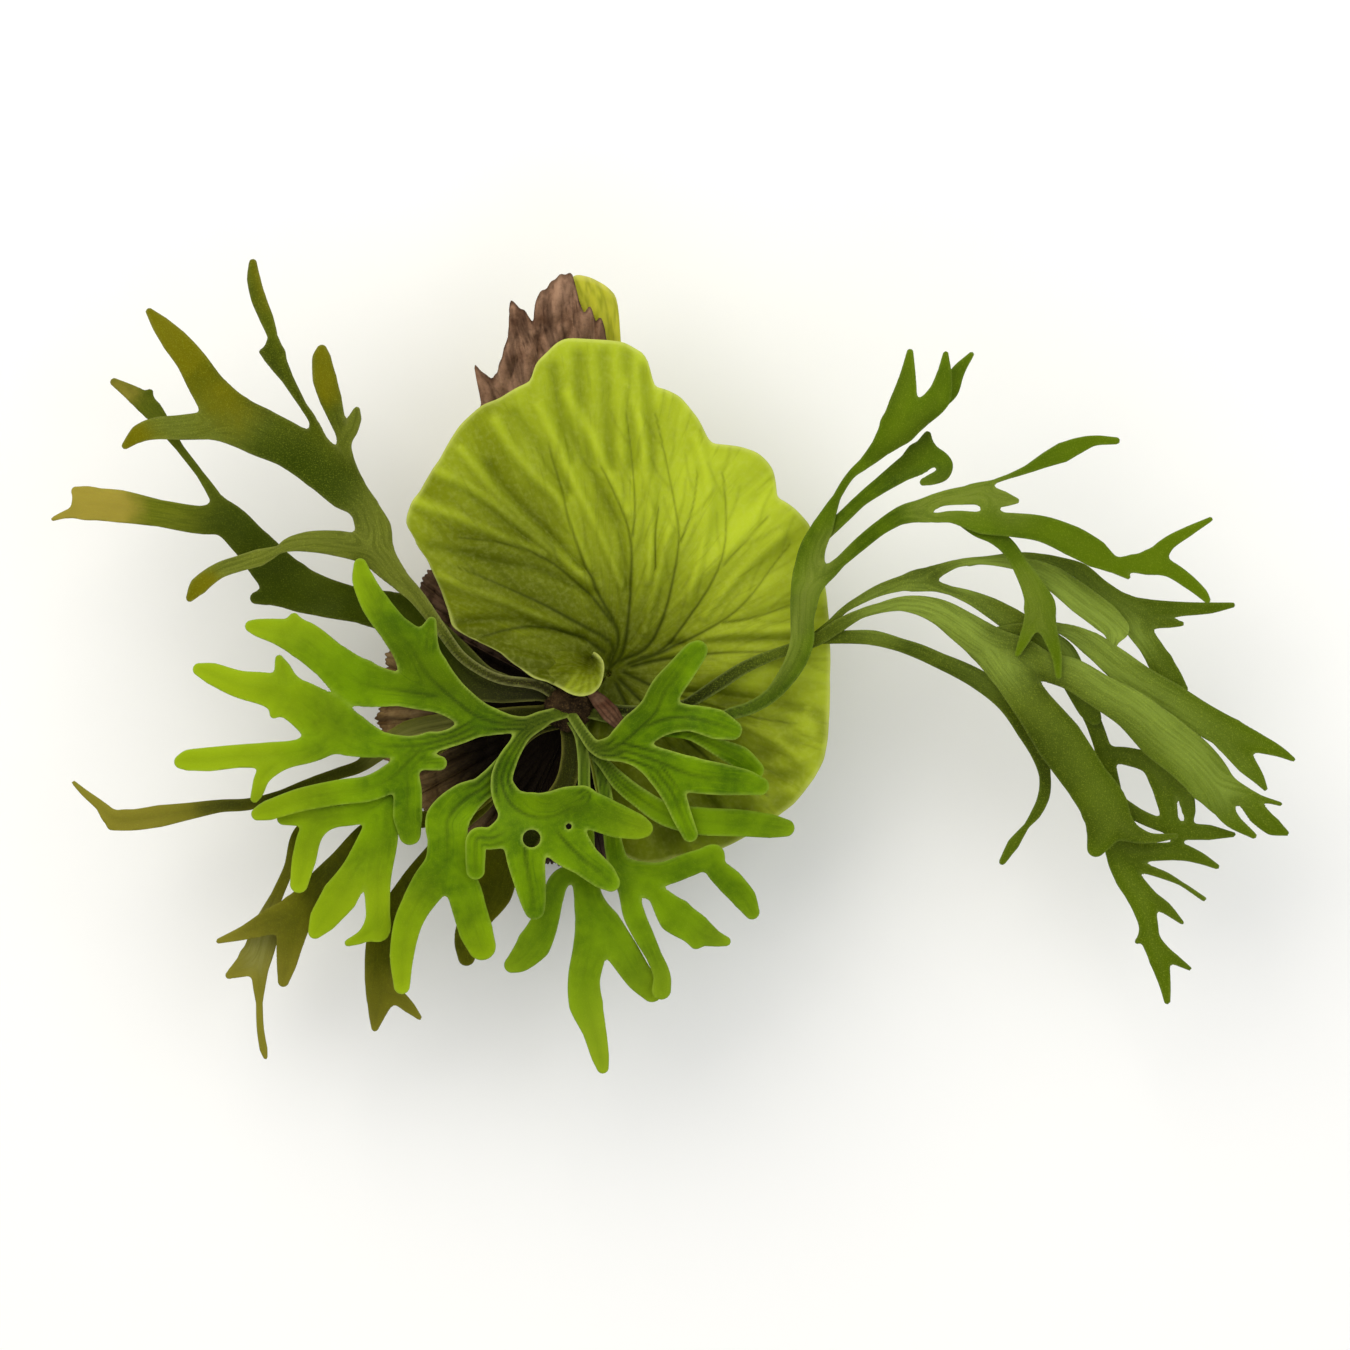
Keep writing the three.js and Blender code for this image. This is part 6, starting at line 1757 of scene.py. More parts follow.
# The tall frond on the right: one pale stalk that fans into three arching arms
TALL_RIGHT_FROND = Frond(
    "tall_right_frond", SHADED, stalk=125.0, arch=0.2,
    pale=[
        (10, 0.8, [(162, 95), (172, 100), (194, 104), (206, 99)]), (9, 0.5, [(212, 60), (218, 38)]),
        (7, 0.85, [(40, -2), (66, 4), (88, 14), (97, 34), (104, 58), (116, 78)]),
    ],
    # painted shade on parts of the blade that lie in shadow
    dusk=[(9, 0.7, [(146, 118), (164, 134)]), (9, 0.5, [(136, 146), (146, 160)])],
    sheets=[BladeSheet([
        [[-8, -6, 83.5, 2.6], [5, -9, 86, 2.8], [22, -13, 89, 3], [42, -14, 92, 3], [56, -11, 94, 3],
         [65, -7, 96, 3], [75, -4, 98, 3.2], [85, 2, 100, 3.5], [92, 10, 102, 4.5], [98, 20, 105, 5.5],
         [101, 30, 108, 6], [101, 40, 111, 5.8], [102, 50, 115, 7], [104, 62, 119, 8],
         [106, 75, 125, 6.5], [111, 86, 130, 5.3], [118, 101, 135, 2], [125, 112, 139, 2],
         [132, 118, 142, 3], [140, 126, 145, 5], [148, 136, 147, 9], [151, 148, 148, 6.8],
         [153, 160, 147, 4.2], [154.3, 173, 145, 1.6]],
        [[150, 136, 147, 8], [159, 142, 147.5, 6.5], [168, 150, 148, 6.3], [171, 160, 147, 4.2],
         [172, 172, 145, 1.4]],
        [[103, 57, 117.5, 6], [112, 62, 121, 4], [120, 69, 126, 2.8], [130, 78, 132, 3.5],
         [140, 86, 137, 3.7], [150, 92, 142, 4.5], [160, 96, 146, 4], [170, 100, 149, 3.6],
         [180, 101.5, 151, 4.5], [190, 102, 151, 5.3], [200, 100, 150, 4], [207, 99, 149, 1.5]],
        [[193, 99, 151, 4], [194.5, 93, 151, 4], [196, 89, 151, 4]],
        [[186, 104, 151, 3], [196, 108.5, 151, 1.1], [203, 111, 150.5, 1.2], [212, 114.5, 150, 2],
         [222, 119.5, 149, 3.8], [230, 123, 147, 5], [238, 126.5, 145, 4], [246, 129, 142, 2.6],
         [257, 129, 139, 1.8]],
        [[154, 92.5, 144, 4], [165, 90.5, 147, 2.2], [175, 91, 149, 3], [190, 88, 151, 5.5],
         [205, 87, 151, 6], [220, 85, 150, 6.5], [235, 79, 147, 7.5], [246, 73, 144, 7],
         [256, 66, 140, 3], [263, 61, 137, 1]],
        [[248, 73, 143, 3], [256, 69, 141, 2], [265, 68, 139, 4.5], [274, 69, 137, 5.8],
         [283, 78, 136, 3.5], [293, 84, 135, 2.6], [304, 90, 133, 1.2]],
        [[274, 68.5, 137, 5.5], [284, 65, 136, 4], [293, 59, 134, 3.5], [300, 53, 132, 2.6],
         [302.5, 49.8, 131, 1.6]],
    ]), BladeSheet([
        [[108, 80, 127.5, 4], [120, 90, 131, 3.2], [130, 99.5, 134, 3.2], [140, 107, 137, 4.2],
         [150, 114, 139, 5.5], [160, 121, 140, 7.3], [163, 132, 140, 1.8]],
        [[158, 121, 140, 6], [166, 121.5, 140, 4.5], [171.5, 117, 141, 4.2], [170.5, 112.5, 142, 3.6],
         [165.5, 109.8, 143, 2.8], [160.8, 108.3, 143, 1.7]],
    ]), BladeSheet([
        [[151, 136, 146.5, 5], [160, 142, 143.5, 5], [167, 148, 141.5, 5], [174, 154, 140, 4.5],
         [178, 163, 139, 3.5], [185, 172, 136, 1.3]],
    ]), BladeSheet([
        [[180, 89.5, 149, 3], [188, 84.5, 148.5, 3.5], [196, 81.5, 147.5, 4], [203, 76, 146, 4],
         [209, 67, 143, 4], [216, 55, 140, 6], [219, 46, 137, 7.5], [214, 36, 133, 3.6],
         [209.5, 26, 130, 2], [208, 22.8, 129, 1.3]],
        [[219, 46, 137, 7], [224, 33, 134, 4], [227.5, 22, 132.5, 2.6], [228.5, 12, 131.5, 1.5]],
    ])],
)

# The long arching frond on the right: a dark stalk, then arms that droop
ARCHING_FROND = Frond(
    "arching_frond", DARK, stalk=140.0, arch=0.38,
    # painted highlights along the arched crowns of the arms
    pale=[
        (13, 0.9, [(186, 64), (204, 66), (224, 55), (244, 42), (262, 29)]),
        (13, 0.75, [(140, 46), (160, 48), (182, 38), (202, 18)]),
        (13, 0.7, [(232, 30), (250, 14), (272, -2), (292, -22), (310, -44)]),
    ],
    # painted shade on the lower edges of the drooping arms
    dusk=[(10, 0.6, [(212, -18), (228, -44), (242, -66)]), (6, 0.6, [(196, 34), (212, 24)])],
    sheets=[BladeSheet([
        [[-8, -2, 78.5, 2.4], [10, -5, 81.5, 2.6], [28, -5, 85, 2.6], [43, -2, 88.5, 2.6],
         [50, 2, 90.5, 3], [60, 8.5, 93, 3.4], [70, 15, 95, 3.2], [80, 20, 96.5, 3],
         [92, 24.5, 98.5, 2.7], [108, 30, 102, 3.2], [119, 37, 107, 3.4], [130, 43, 111, 2.4],
         [140, 46, 115, 2.6], [150, 48, 118, 3.6], [160, 47, 121, 5], [170, 43.5, 123, 6.5],
         [180, 37, 124, 8], [192, 28, 124, 9.5], [205, 12, 123, 9], [217, -4, 120, 10],
         [229, -20, 116, 12], [243, -40, 110, 11], [252, -54, 106, 12], [252, -64, 102, 9],
         [248, -74, 98.5, 4.5]],
        [[255, -58, 104.5, 9], [265, -66, 101.5, 5], [275, -69, 100, 2.6], [288, -68, 97, 1.3]],
        [[192, 29, 124, 8], [210, 24, 126, 7], [222, 17, 127, 7], [235, 13, 126.5, 8],
         [250, 4, 124.5, 8.5], [265, -5, 121.5, 9.8], [280, -18, 117, 12], [295, -30, 112, 12],
         [304, -40, 108.5, 11.5], [311, -53, 104, 5.5], [316, -60, 101, 4], [327, -68, 97, 1.4]],
        [[308, -42, 107, 7], [322, -50, 104, 3.6], [329, -57, 102, 5], [336, -63, 100, 4.5],
         [343, -66.5, 98, 1.5]],
        [[313, -42, 106, 4], [330, -49, 103, 1.5], [340, -52, 101, 1]],
    ]), BladeSheet([
        [[106, 29.5, 102, 3], [115, 38, 106, 1.9], [122, 45, 109, 1.7], [130, 50, 113, 2.2],
         [140, 55, 117, 3], [150, 58, 120, 3.8], [160, 60.5, 123, 5], [170, 65, 125.5, 3],
         [178, 68, 127, 2], [190, 69.5, 128.5, 2], [202, 69, 129, 3], [212, 67, 129, 3.7],
         [225, 61, 128, 6], [240, 50, 125, 7.2], [252, 41, 122, 7.2], [258, 35.5, 120, 6]],
        [[256, 31, 120, 3], [256, 26, 118, 1.3]],
        [[157, 59, 122.5, 4.5], [168, 56.5, 124, 2.6], [175, 54.5, 124.5, 2.3], [185, 51, 124, 3.5],
         [195, 46, 123, 5], [205, 40, 121.5, 6], [220, 31, 118, 6], [231, 23, 115, 6.5],
         [238, 8, 111, 6.5], [244, -4, 107.5, 5.5], [247, -9, 106, 3.5]],
    ]), BladeSheet([
        [[184, 68.5, 127.5, 1.9], [198, 71, 125, 1.5], [208, 72.3, 123.5, 1.4], [220, 71, 122, 2],
         [230, 68, 120, 3.2], [240, 64, 118, 4.2], [250, 55, 116, 5], [262, 47, 114, 6],
         [275, 46, 112, 4.2], [290, 45.5, 110, 3.6], [305, 46, 108, 2.8], [316, 47.4, 106, 1.3]],
        [[264, 43, 114, 4], [275, 39, 112.5, 3], [284, 38.5, 111, 2.5], [290.5, 38, 110, 1.2]],
        [[263, 44, 114, 5], [268, 36, 113, 5.8], [274, 28, 111, 5.5], [280, 19, 108.5, 6],
         [287, 12, 106, 3.6], [292.5, 5.5, 104, 1.4]],
        [[280, 18, 108.5, 5], [281.5, 8, 106, 4], [282, 0, 104.5, 2.4], [282, -4.5, 103, 1.3]],
    ]), BladeSheet([
        [[190, 31, 123.5, 4], [212, 36, 122.5, 2.6], [230, 35.5, 121.5, 2.8], [245, 28, 120, 6],
         [258, 18, 118, 7.5], [270, 9, 115.5, 8], [285, 0, 112, 8.5], [300, -9, 108.5, 8],
         [315, -17, 106, 8], [330, -22, 104, 4.6], [340, -26, 102, 2.6], [346.5, -29.7, 100.5, 1.1]],
        [[314, -21, 106, 6], [323, -32, 103.5, 5], [329, -39, 101.5, 3], [332.6, -44.4, 100, 1.1]],
    ]), BladeSheet([
        [[110, 31, 102.5, 3], [125, 31.5, 106, 3.4], [137, 31, 109, 3.8], [150, 27.5, 111, 3.4],
         [160, 24, 112, 3.8], [170, 19.5, 112.5, 4], [180, 15, 112.5, 4.5], [190, 9.5, 111.5, 5],
         [203, -1, 109, 5], [213, -15, 105, 5], [220, -28, 101, 4], [222.5, -38, 98, 2.9],
         [222, -48, 95, 3], [218, -57, 92, 2.6], [213.5, -63, 90, 1.4], [207, -72, 88, 3],
         [201.5, -81, 85, 1.7]],
    ]), BladeSheet([
        [[238, 8, 110.5, 5], [247, -12, 104, 4], [253, -30, 99, 4], [257, -50, 95, 4.5],
         [257, -66, 92, 5], [258, -78, 90, 4.5], [264, -89, 89, 6.2], [270, -98, 88, 6.5],
         [274, -110, 86, 5], [276, -120, 84.5, 4.5], [280, -130, 83, 5], [283, -142, 80, 3],
         [284.3, -151, 78, 1.6]],
        [[268, -94, 88.5, 4], [283, -104, 85, 3], [291.5, -111.5, 83, 1]],
        [[277, -122, 84, 3.5], [288, -130, 82, 2.5], [295.5, -134.7, 80.5, 1]],
        [[274, -117, 85, 3], [269, -121, 84, 1.2]],
        [[258, -70, 91.5, 4], [266, -75, 90.5, 5.2], [275, -76, 90, 4.6], [290, -76, 88.5, 4.4],
         [300, -79, 87, 3], [309, -83.5, 85, 1.3]],
        [[264, -80, 90, 3], [272, -84, 89, 2.4], [283, -88, 87.5, 2], [291, -92, 86, 1.1],
         [302.5, -99.7, 84, 1.2]],
        [[257, -50, 95, 4], [270, -58, 93.5, 3.4], [282, -63, 92, 3.2], [292, -65.5, 91, 4.2],
         [305, -66.3, 90, 3.8], [317, -67.4, 88.5, 1.3]],
        [[252, -27, 100, 3.5], [263, -28, 99.5, 4.5], [275, -32, 98.5, 5], [280, -40, 97.5, 5.5],
         [283, -50, 96, 4.8], [286, -62, 94, 3.8], [289, -70, 92.5, 2.2]],
        [[282, -38, 97.5, 4], [292, -46, 96.5, 4.2], [294.5, -55, 95.5, 3.4], [295, -61, 95, 1.7]],
    ])],
)

# Ageing olive fronds behind
OLD_SIDE_FROND = Frond(
    "old_side_frond", OLIVE,
    pale=[(9, 0.9, [(-74, -12), (-95, -18), (-112, -27)])],
    # painted shade along the shadowed lower side of the blade
    dusk=[(7, 0.7, [(-124, -34), (-160, -47), (-196, -54)])],
    sheets=[BladeSheet([
        [[-20, -5, 77, 3], [-50, -8, 82, 4], [-74, -12, 87, 6], [-95, -17, 90, 7], [-110, -25, 92, 5],
         [-120, -33, 93.5, 3.2], [-130, -36.5, 94, 3], [-145, -41, 95, 2], [-160, -47, 96, 1.8],
         [-175, -52, 97, 3], [-190, -53, 98, 3.2], [-205, -55.5, 98.5, 4.2], [-220, -58, 98.5, 5.5],
         [-235, -60, 97, 5.3], [-244, -59, 95.5, 4.5], [-250, -53, 94, 2.6], [-258, -46.5, 92, 1.8],
         [-263.5, -41.4, 90, 1]],
        [[-238, -60, 97, 4], [-244.5, -63.5, 96, 1.4]],
    ])],
)

OLD_LOW_FROND = Frond(
    "old_low_frond", OLIVE,
    sheets=[BladeSheet([
        [[-22, -9, 73.7, 2.8], [-31, -12.5, 76, 2.8], [-41, -22, 79, 3], [-47, -34, 81.5, 3.2],
         [-56, -47, 83.5, 3.6], [-72, -57, 85, 4], [-90, -60, 86, 4.2], [-105, -60, 87, 4.5],
         [-117, -66, 88, 4.6], [-130, -80, 89, 5], [-142, -93, 90, 6], [-152, -106, 90, 9],
         [-165, -111, 89, 6.5], [-178, -116.5, 88, 3.6], [-191, -120.7, 86, 1.3]],
        [[-151, -107, 90, 8], [-155, -120, 88.5, 7], [-157, -132, 86, 5], [-158.7, -141, 84, 2.8]],
    ])],
)

OLD_TRAILING_FROND = Frond(
    "old_trailing_frond", OLIVE,
    pale=[(9, 0.8, [(-168, -112), (-172, -128)])],
    sheets=[BladeSheet([
        [[-22, -6, 71, 2.4], [-32, -8, 73, 2.5], [-42, -10.5, 74.2, 2.6], [-60, -14, 75, 3],
         [-78, -22, 75.5, 3], [-95, -35, 77, 3], [-112, -46, 78, 3], [-130, -54, 79, 3],
         [-151, -66, 80.5, 2.6], [-156, -84, 81, 2.6], [-162, -98, 81, 3], [-168, -112, 80.5, 5],
         [-169, -120, 80, 7], [-174, -130, 79, 7.5], [-186, -138, 76, 2]],
        [[-170, -122, 80, 6], [-171, -142, 78, 3.4], [-171, -152, 76.5, 1.7], [-170.5, -165, 74, 1.8],
         [-169, -175, 72, 2], [-168, -179.5, 71, 1]],
    ])],
)

OLD_FORKED_FROND = Frond(
    "old_forked_frond", OLIVE,
    sheets=[BladeSheet([
        [[-21, -12, 70, 2.6], [-32, -15, 71, 3], [-42, -24, 72.5, 3], [-48, -38, 74, 3.2],
         [-58, -52, 75.5, 3.6], [-72, -64, 76.5, 4], [-85, -78, 77.5, 4.4], [-98, -95, 79, 5],
         [-110, -118, 80, 6.5], [-111, -140, 78, 7], [-110.5, -150, 76.5, 6.5], [-112, -158, 75, 4],
         [-113, -164.5, 73.5, 1.8]],
        [[-110, -147, 77, 6], [-102, -149, 76, 4], [-96, -154, 74.5, 3], [-90.7, -159.4, 73, 1.2]],
    ])],
)

OLD_BLUNT_FROND = Frond(
    "old_blunt_frond", OLIVE,
    # painted shade: the dark shadow seen through the front frond's hole
    dusk=[(10, 1.0, [(-42, -66), (-28, -72)])],
    sheets=[BladeSheet([
        [[-18, -11, 77, 2.6], [-15.5, -20, 79, 4], [-15, -32, 81, 5], [-18, -43, 82, 5.2],
         [-27, -56, 83, 6], [-38, -68, 84, 8], [-50, -82, 84.5, 10.5], [-54, -96, 85, 10],
         [-62, -108, 85, 8], [-68, -120, 84, 5], [-67, -129, 82, 4.3]],
    ])],
)

# A small dead scale beside the crown
DRY_SCALE = Frond(
    "dry_scale", PARCHMENT, cell=0.6, waviness=0.3,
    sheets=[BladeSheet([
        [[-4, 3, 89.5, 2.6], [0, -1, 91.5, 4], [5, -6.5, 91.5, 4.6], [9.5, -12, 90.5, 3.2]],
    ])],
)

# The large round lime-green shield, with its rolled lobe
MAIN_SHIELD = Shield(
    "main_shield", LIME_SHIELD, centre=(4, 13), foot=73.5, inner=1.5, climb=1.8, pleat_height=1.5,
    thickness=1.2, columns=540, rows=84, gloom=0.95, gloom_reach=58.0, pucker=1.3,
    veins=[
        [(5, 17), (10, 20), (13, 30), (15.5, 52), (16.3, 83), (8.5, 102), (1, 116.5)],
        [(16.3, 82), (18, 99), (16.6, 116.5), (13, 143)],
        [(10, 20), (24, 25), (32, 42), (35, 52), (40, 80.5), (38, 96), (33.5, 116.5), (28, 143)],
        [(40, 79), (46.7, 96), (49, 114)],
        [(20, 21), (29, 23), (39, 33), (63, 69.5), (63, 99), (61, 114)], [(62, 68), (76, 83), (84, 92)],
        [(14, 18), (32, 24), (63, 40), (76, 52), (88, 69.5), (95, 78)],
        [(62, 39), (76, 41), (95, 47.5), (104, 50)], [(16, 17), (32, 21), (61, 24), (90, 24), (104, 22)],
        [(5, 18), (11.5, 33), (-3, 56), (-18, 96), (-22, 116.5), (-26, 128)],
        [(7, 38), (-9, 58), (-31, 74), (-52, 80), (-70, 81)],
        [(4, 20), (8.5, 28.5), (-12, 39), (-27, 47.5), (-46, 56), (-71, 66.5)],
        [(2, 24), (-6, 30), (-20, 36), (-42, 37), (-60, 31)], [(28, 66), (27, 84), (29, 96)],
        [(12, 14), (28, 6), (48, -1), (72, -8), (98, -12)],
        [(10, 10), (26, -6), (44, -20), (62, -36), (84, -48)], [(8, 8), (18, -12), (30, -32), (42, -50)],
    ],
    ridges=[
        [(-28, 73), (-52, 83), (-72, 92), (-92, 99)],
        [(-2, 57), (-24, 75), (-41, 88), (-56, 101), (-80, 114)],
        [(-16, 70), (-44, 96), (-56, 109), (-69, 125)],
        [(-5, 66), (-13, 84), (-18, 99), (-32, 111), (-44, 125), (-52, 139)],
        [(11, 57), (0, 84), (-12, 107), (-18, 122), (-30, 146)],
        [(14, 93), (3, 116), (-6, 135), (-16, 152)], [(24, 60), (27, 96), (22, 130), (14, 158)],
        [(22, 34), (29, 60), (34, 84)], [(44, 50), (52, 78), (56, 104), (48, 130)],
        [(52, 42), (72, 66), (90, 82)], [(44, 29), (70, 34), (100, 36)],
        [(-14, 34), (-38, 46), (-62, 54), (-80, 62)], [(38, 0), (66, -8), (92, -22), (100, -30)],
        [(34, -10), (56, -26), (78, -48)],
    ],
    valleys=[
        [(-36, 81), (-56, 96), (-71, 107)], [(-10, 67), (-31, 88), (-48, 103), (-55, 117)],
        [(-16, 104), (-25, 119), (-35, 131), (-42, 142)],
        [(13, 57), (12, 82), (3, 100), (-9, 122), (-18, 140)],
        [(-6, 54), (-28, 65), (-52, 69), (-84, 76)], [(-8, 31), (-30, 38), (-54, 41), (-70, 38)],
        [(-14, 120), (-20, 145), (-23, 165)], [(-5, 118), (-9, 142), (-10, 171)],
        [(6, 116), (4, 142), (2, 172)], [(16, 116), (16, 142), (14, 171)],
        [(26, 114), (26, 138), (22, 164)], [(36, 28), (62, 31), (96, 30)], [(44, 4), (70, 2), (100, -4)],
        [(44, -14), (66, -28), (92, -40)], [(30, -18), (46, -38), (60, -56)],
    ],
    sectors=[(156, 240, 0.95, 112), (108, 156, 0.73, 118), (-125, -2, 0.52, 130), (-2, 42, 0.4, 116)],
    rim=[
        (-5.17, 5.25, 84), (-17.3, 5.9, 95), (-26.2, 9.1, 98), (-33, 11, 98), (-40, 16, 97.5),
        (-50, 24, 97), (-60, 29, 97), (-70, 33.5, 97.5), (-74, 37, 98), (-76, 45, 99), (-79, 54, 101),
        (-82, 61, 103), (-87, 72, 105), (-90, 78.5, 107), (-95, 82, 108.5), (-97, 87, 110),
        (-96.5, 92, 111), (-94, 99, 112), (-90, 104, 113), (-86, 111, 114), (-80, 120, 115),
        (-70, 137, 117), (-59, 147, 118.5), (-50, 150.5, 119), (-42, 155.5, 120), (-33, 159.5, 120.5),
        (-34, 165, 121), (-31, 169, 121), (-25, 174.5, 121.5), (-22, 178, 122), (-17, 180.5, 122),
        (-5, 180, 122), (12, 178.5, 121), (17, 175.5, 120.5), (23, 172.5, 120), (26.5, 169.5, 120),
        (25.5, 164, 119.5), (25.5, 158, 119.5), (27, 156.5, 119.5), (33, 155, 119), (40, 151.5, 118),
        (50, 139, 116), (53, 132, 115), (56, 128, 114), (62, 127.5, 113), (70, 126.5, 112),
        (78, 124, 111), (83, 120, 110), (86.5, 115, 109), (88, 108, 108), (88.5, 101, 107),
        (92, 99.5, 106), (97, 96, 105), (101, 92, 104), (104.5, 88, 103), (109, 75, 101), (112, 60, 99),
        (114, 45, 97), (115, 28, 95), (115, 11, 93), (115, 0, 92), (114.5, -10, 91), (114, -20, 90),
        (112, -30, 89), (108, -38, 88), (103, -45, 87.5), (97, -52, 87), (91, -56.5, 86.5),
        (83, -63, 86), (72, -69, 85), (62, -74, 84), (48, -78, 83), (37, -79, 82), (32, -81, 81.5),
        (22, -82, 80.5), (12, -78, 79.5), (5, -66, 78.5), (-1, -50, 78), (-4, -36, 77.5), (-6, -24, 77),
        (-8, -12, 76), (-7, -4, 75.5),
    ],
    lobe=Shield(
        "main_shield_lobe", LIME_SHIELD, centre=(-5, 21), foot=78, inner=1, climb=3, pleat_height=0.0,
        thickness=1.2, columns=110, rows=36, lit_side_paleness=0.3, gloom=1.0, gloom_reach=12.0, free_from=205.0,
        hub=(4, 13),
        sectors=[(120, 228, 0.8, 60)],
        rays=[
            [150, 22, 84], [165, 25, 85.5], [180, 26, 88], [192, 25, 91], [202, 24, 95],
            [211, 23.3, 98.5], [227, 21, 100.5], [244, 20.4, 101.5], [259, 19.6, 102], [276, 17.6, 102],
            [292, 14.5, 102], [303, 11.8, 102], [314, 10, 102], [329, 8.3, 102], [344, 7, 102],
            [360, 5.6, 101.5], [375, 4.7, 101], [395, 4, 99.5], [416, 3.6, 98],
        ],
    ),
)

# The upright yellow-green shield, of which only the top shows
BACK_SHIELD = Shield(
    "back_shield", YELLOW_SHIELD, centre=(-12, 0), foot=65.5, climb=1.2, pleats=26, pleat_height=1.2,
    thickness=1.2, columns=250, net=0.6,
    veins=[
        [(-3, 150), (-4, 180), (-7, 210)], [(4, 150), (5, 176), (3, 200), (-2, 211)],
        [(10, 150), (11, 172), (10, 192), (5, 206)],
    ],
    rays=[
        [38, 62, 68], [45, 82, 71], [53, 102, 75], [61, 118, 79], [69, 133, 82], [76, 148, 86],
        [81, 165, 91], [83, 180, 95], [83.4, 191, 96], [84.2, 203, 97], [86, 208, 97.5], [88, 211.5, 98],
        [90, 213, 98], [92.5, 206, 97], [96, 190, 94], [102, 160, 88], [108, 135, 82], [114, 112, 76],
        [120, 90, 71], [126, 66, 67.5],
    ],
)

# Dead brown shields wrapped round the root ball
BROWN_TOP_SHIELD = Shield(
    "brown_top_shield", WEATHERED, centre=(-12, 0), foot=68.5, climb=1.15, pleats=44, pleat_height=1.3,
    columns=400, fray=0.7, rounding=1, crumple=1.8, net=0.0, gloom=0.9, gloom_reach=110.0,
    veins=[
        [(-46, 192), (-38, 186), (-26, 172)], [(-35, 191), (-29, 186), (-21, 172)],
        [(-24, 206), (-27, 194), (-21, 174)], [(-13, 212), (-14, 196), (-10, 180)],
        [(-18, 208), (-20, 190), (-16, 176)], [(-47, 188), (-48, 176), (-53, 160)],
        [(-60, 164), (-54, 156), (-46, 150)],
    ],
    rays=[
        [58, 60, 76], [64, 92, 81], [72, 118, 86], [79, 142, 91], [84, 168, 96], [85.6, 186, 99],
        [86.3, 193, 100.5], [87, 189, 100], [87.8, 197, 101.5], [88.8, 193, 101.5], [89.6, 199, 102],
        [90.4, 212.5, 104], [91.8, 214, 104], [94, 207, 103], [95.8, 201, 101], [96.4, 190, 99],
        [97.6, 196.5, 100], [98.6, 200.5, 101], [99.4, 203.5, 101], [100.2, 188, 99], [102, 176, 97],
        [104.4, 166, 95], [105.6, 169, 95], [107, 175, 95], [107.6, 156, 92], [113, 138, 88],
        [121, 118, 82], [129, 103, 76], [135, 97, 71], [139, 99, 70], [144, 97, 69], [148, 93, 68.5],
        [152, 82, 68],
    ],
)

# its finish is the lighter copy of the parchment, painted light
BROWN_LEFT_SHIELD = Shield(
    "brown_left_shield", LIT_PARCHMENT, centre=(-12, -4), foot=63.5, fall=3, pleats=40, pleat_height=1.4,
    columns=340, fray=0.9, rounding=1, crumple=1.2, gloom=0.5, gloom_reach=60.0,
    sectors=[(-200, 300, 0.98, 86)],
    rays=[
        [128, 66, 54], [134, 84, 50], [140, 92, 47], [145, 90, 46], [149, 96, 45], [154, 100, 44],
        [160, 97, 43], [164, 99.5, 42], [168, 98, 42], [173, 102, 41], [178, 98, 41], [183, 101, 40],
        [188, 99, 40], [193, 103, 40], [197, 97, 40], [203, 98, 40], [209, 92, 41], [216, 93, 41],
        [223, 87, 42], [231, 86, 43], [238, 80, 44], [246, 74, 46],
    ],
)

BROWN_LOW_SHIELD = Shield(
    "brown_low_shield", PARCHMENT, centre=(-12, -6), foot=60.6, fall=4, pleats=36, pleat_height=1.2,
    columns=340, fray=0.9, rounding=1, crumple=1.2, gloom=0.6, gloom_reach=80.0,
    sectors=[(-200, 300, 0.98, 96)],
    rays=[
        [212, 74, 35], [220, 80, 33], [228, 78, 31], [236, 82, 30], [244, 78, 29], [252, 81, 29],
        [260, 77, 29], [268, 79, 29], [276, 75, 29], [284, 78, 30], [292, 74, 31], [300, 77, 32],
        [308, 74, 33], [316, 76, 35], [324, 78, 37], [332, 80, 39],
    ],
)

FRONDS = [
    FRONT_FROND, RIGHT_BRIGHT_FROND, UPPER_LEFT_FROND, DARK_LEFT_FROND, LOWER_CENTRE_FROND,
    LOWER_RIGHT_FROND, RIGHT_LOW_FROND, TALL_RIGHT_FROND, ARCHING_FROND, OLD_SIDE_FROND, OLD_LOW_FROND,
    OLD_TRAILING_FROND, OLD_FORKED_FROND, OLD_BLUNT_FROND, DRY_SCALE,
]
SHIELDS = [
    MAIN_SHIELD, BACK_SHIELD, BROWN_TOP_SHIELD, BROWN_LEFT_SHIELD, BROWN_LOW_SHIELD,
]


# Setting


@dataclass(frozen=True)
class Softbox:
    """A square softbox aimed at the plant: place and size in metres, power in watts."""

    name: str
    place: tuple[float, float, float]
    size: float
    power: float
    colour: str
    aim: tuple[float, float, float] = (0.03, 0.0, 0.08)

    def build(self) -> None:
        """Adds the softbox."""
        data = bpy.data.lights.new(self.name, "AREA")
        data.size = self.size
        data.energy = self.power
        data.color = linear(self.colour)[:3]
        lamp = bpy.data.objects.new(self.name, data)
        lamp.location = self.place
        lamp.rotation_euler = (Vector(self.aim) - Vector(self.place)).to_track_quat("-Z", "Y").to_euler()
        bpy.context.scene.collection.objects.link(lamp)


SOFTBOXES = [
    Softbox("key_softbox", (-0.85, 1.4, 1.8), 2.2, 39.0, "#fffaf0"),
    Softbox("fill_softbox", (1.3, 0.3, 1.9), 1.8, 11.0, "#f6f9ff"),
    Softbox("front_softbox", (0.2, -1.4, 2.0), 1.4, 6.0, "#ffffff"),
]


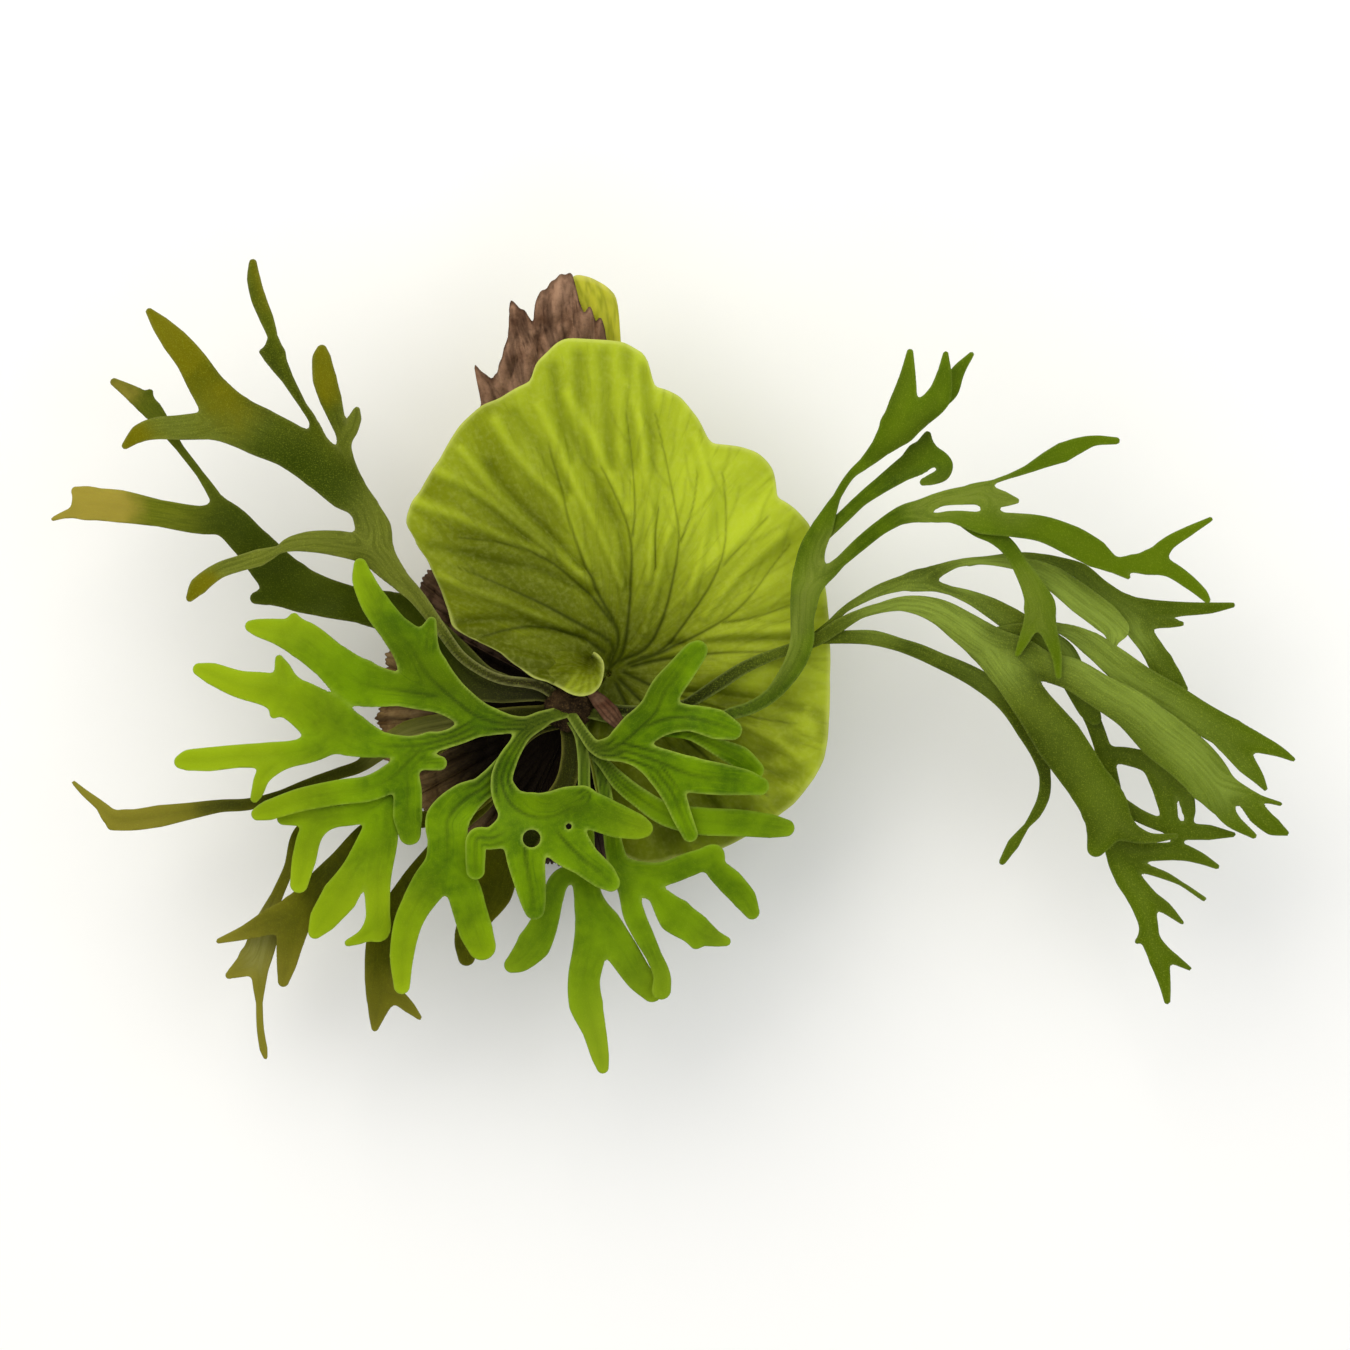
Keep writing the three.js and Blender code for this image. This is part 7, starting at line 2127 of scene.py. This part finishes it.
@dataclass
class Studio:
    """A pale floor, soft light from above and the photograph's point of view, in metres."""

    centre: tuple[float, float] = (0.0375, 0.0125)
    plane: float = 0.1
    distance: float = 7.5
    lens: float = 400.0
    sensor: float = 36.0
    nearest: float = 0.1
    farthest: float = 50.0
    floor_half: float = 6.0
    floor_drop: float = 0.0002
    air: str = "#ffffff"
    air_strength: float = 0.58

    def build(self) -> None:
        """Adds the floor, the lights, the even light of the room and the camera."""
        self.floor()
        for softbox in SOFTBOXES:
            softbox.build()
        world = bpy.data.worlds.new("studio_air")
        world.use_nodes = True
        background = world.node_tree.nodes["Background"]
        background.inputs["Color"].default_value = linear(self.air)
        background.inputs["Strength"].default_value = self.air_strength
        bpy.context.scene.world = world
        bpy.context.scene.view_settings.view_transform = "Standard"
        self.camera()

    def floor(self) -> None:
        """Adds a large pale sheet of matt paper under the plant."""
        half = self.floor_half
        mesh = bpy.data.meshes.new("floor")
        corners = [(-half, -half, 0), (half, -half, 0), (half, half, 0), (-half, half, 0)]
        mesh.from_pydata(corners, [], [(0, 1, 2, 3)])
        paper = {"Base_Color": linear("#f7f7f5"), "Roughness": 0.9, "Specular_IOR_Level": 0.1}
        mesh.materials.append(Shader("floor_paper").finish(**paper))
        piece = bpy.data.objects.new("floor", mesh)
        piece.location = (0, 0, -self.floor_drop)
        bpy.context.scene.collection.objects.link(piece)

    def camera(self) -> None:
        """Adds the camera, straight above, so far off that the view is nearly parallel."""
        data = bpy.data.cameras.new("camera")
        data.lens = self.lens
        data.sensor_width = self.sensor
        data.clip_start = self.nearest
        data.clip_end = self.farthest
        eye = bpy.data.objects.new("camera", data)
        eye.location = (*self.centre, self.plane + self.distance)
        bpy.context.scene.collection.objects.link(eye)
        bpy.context.scene.camera = eye


def main() -> None:
    """Builds the plant and its setting."""
    logging.basicConfig(level=logging.INFO, format="%(name)s: %(message)s")
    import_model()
    for part in (*FRONDS, *SHIELDS, Crown(), RootBall(), Studio()):
        part.build()


if __name__ == "__main__":
    main()
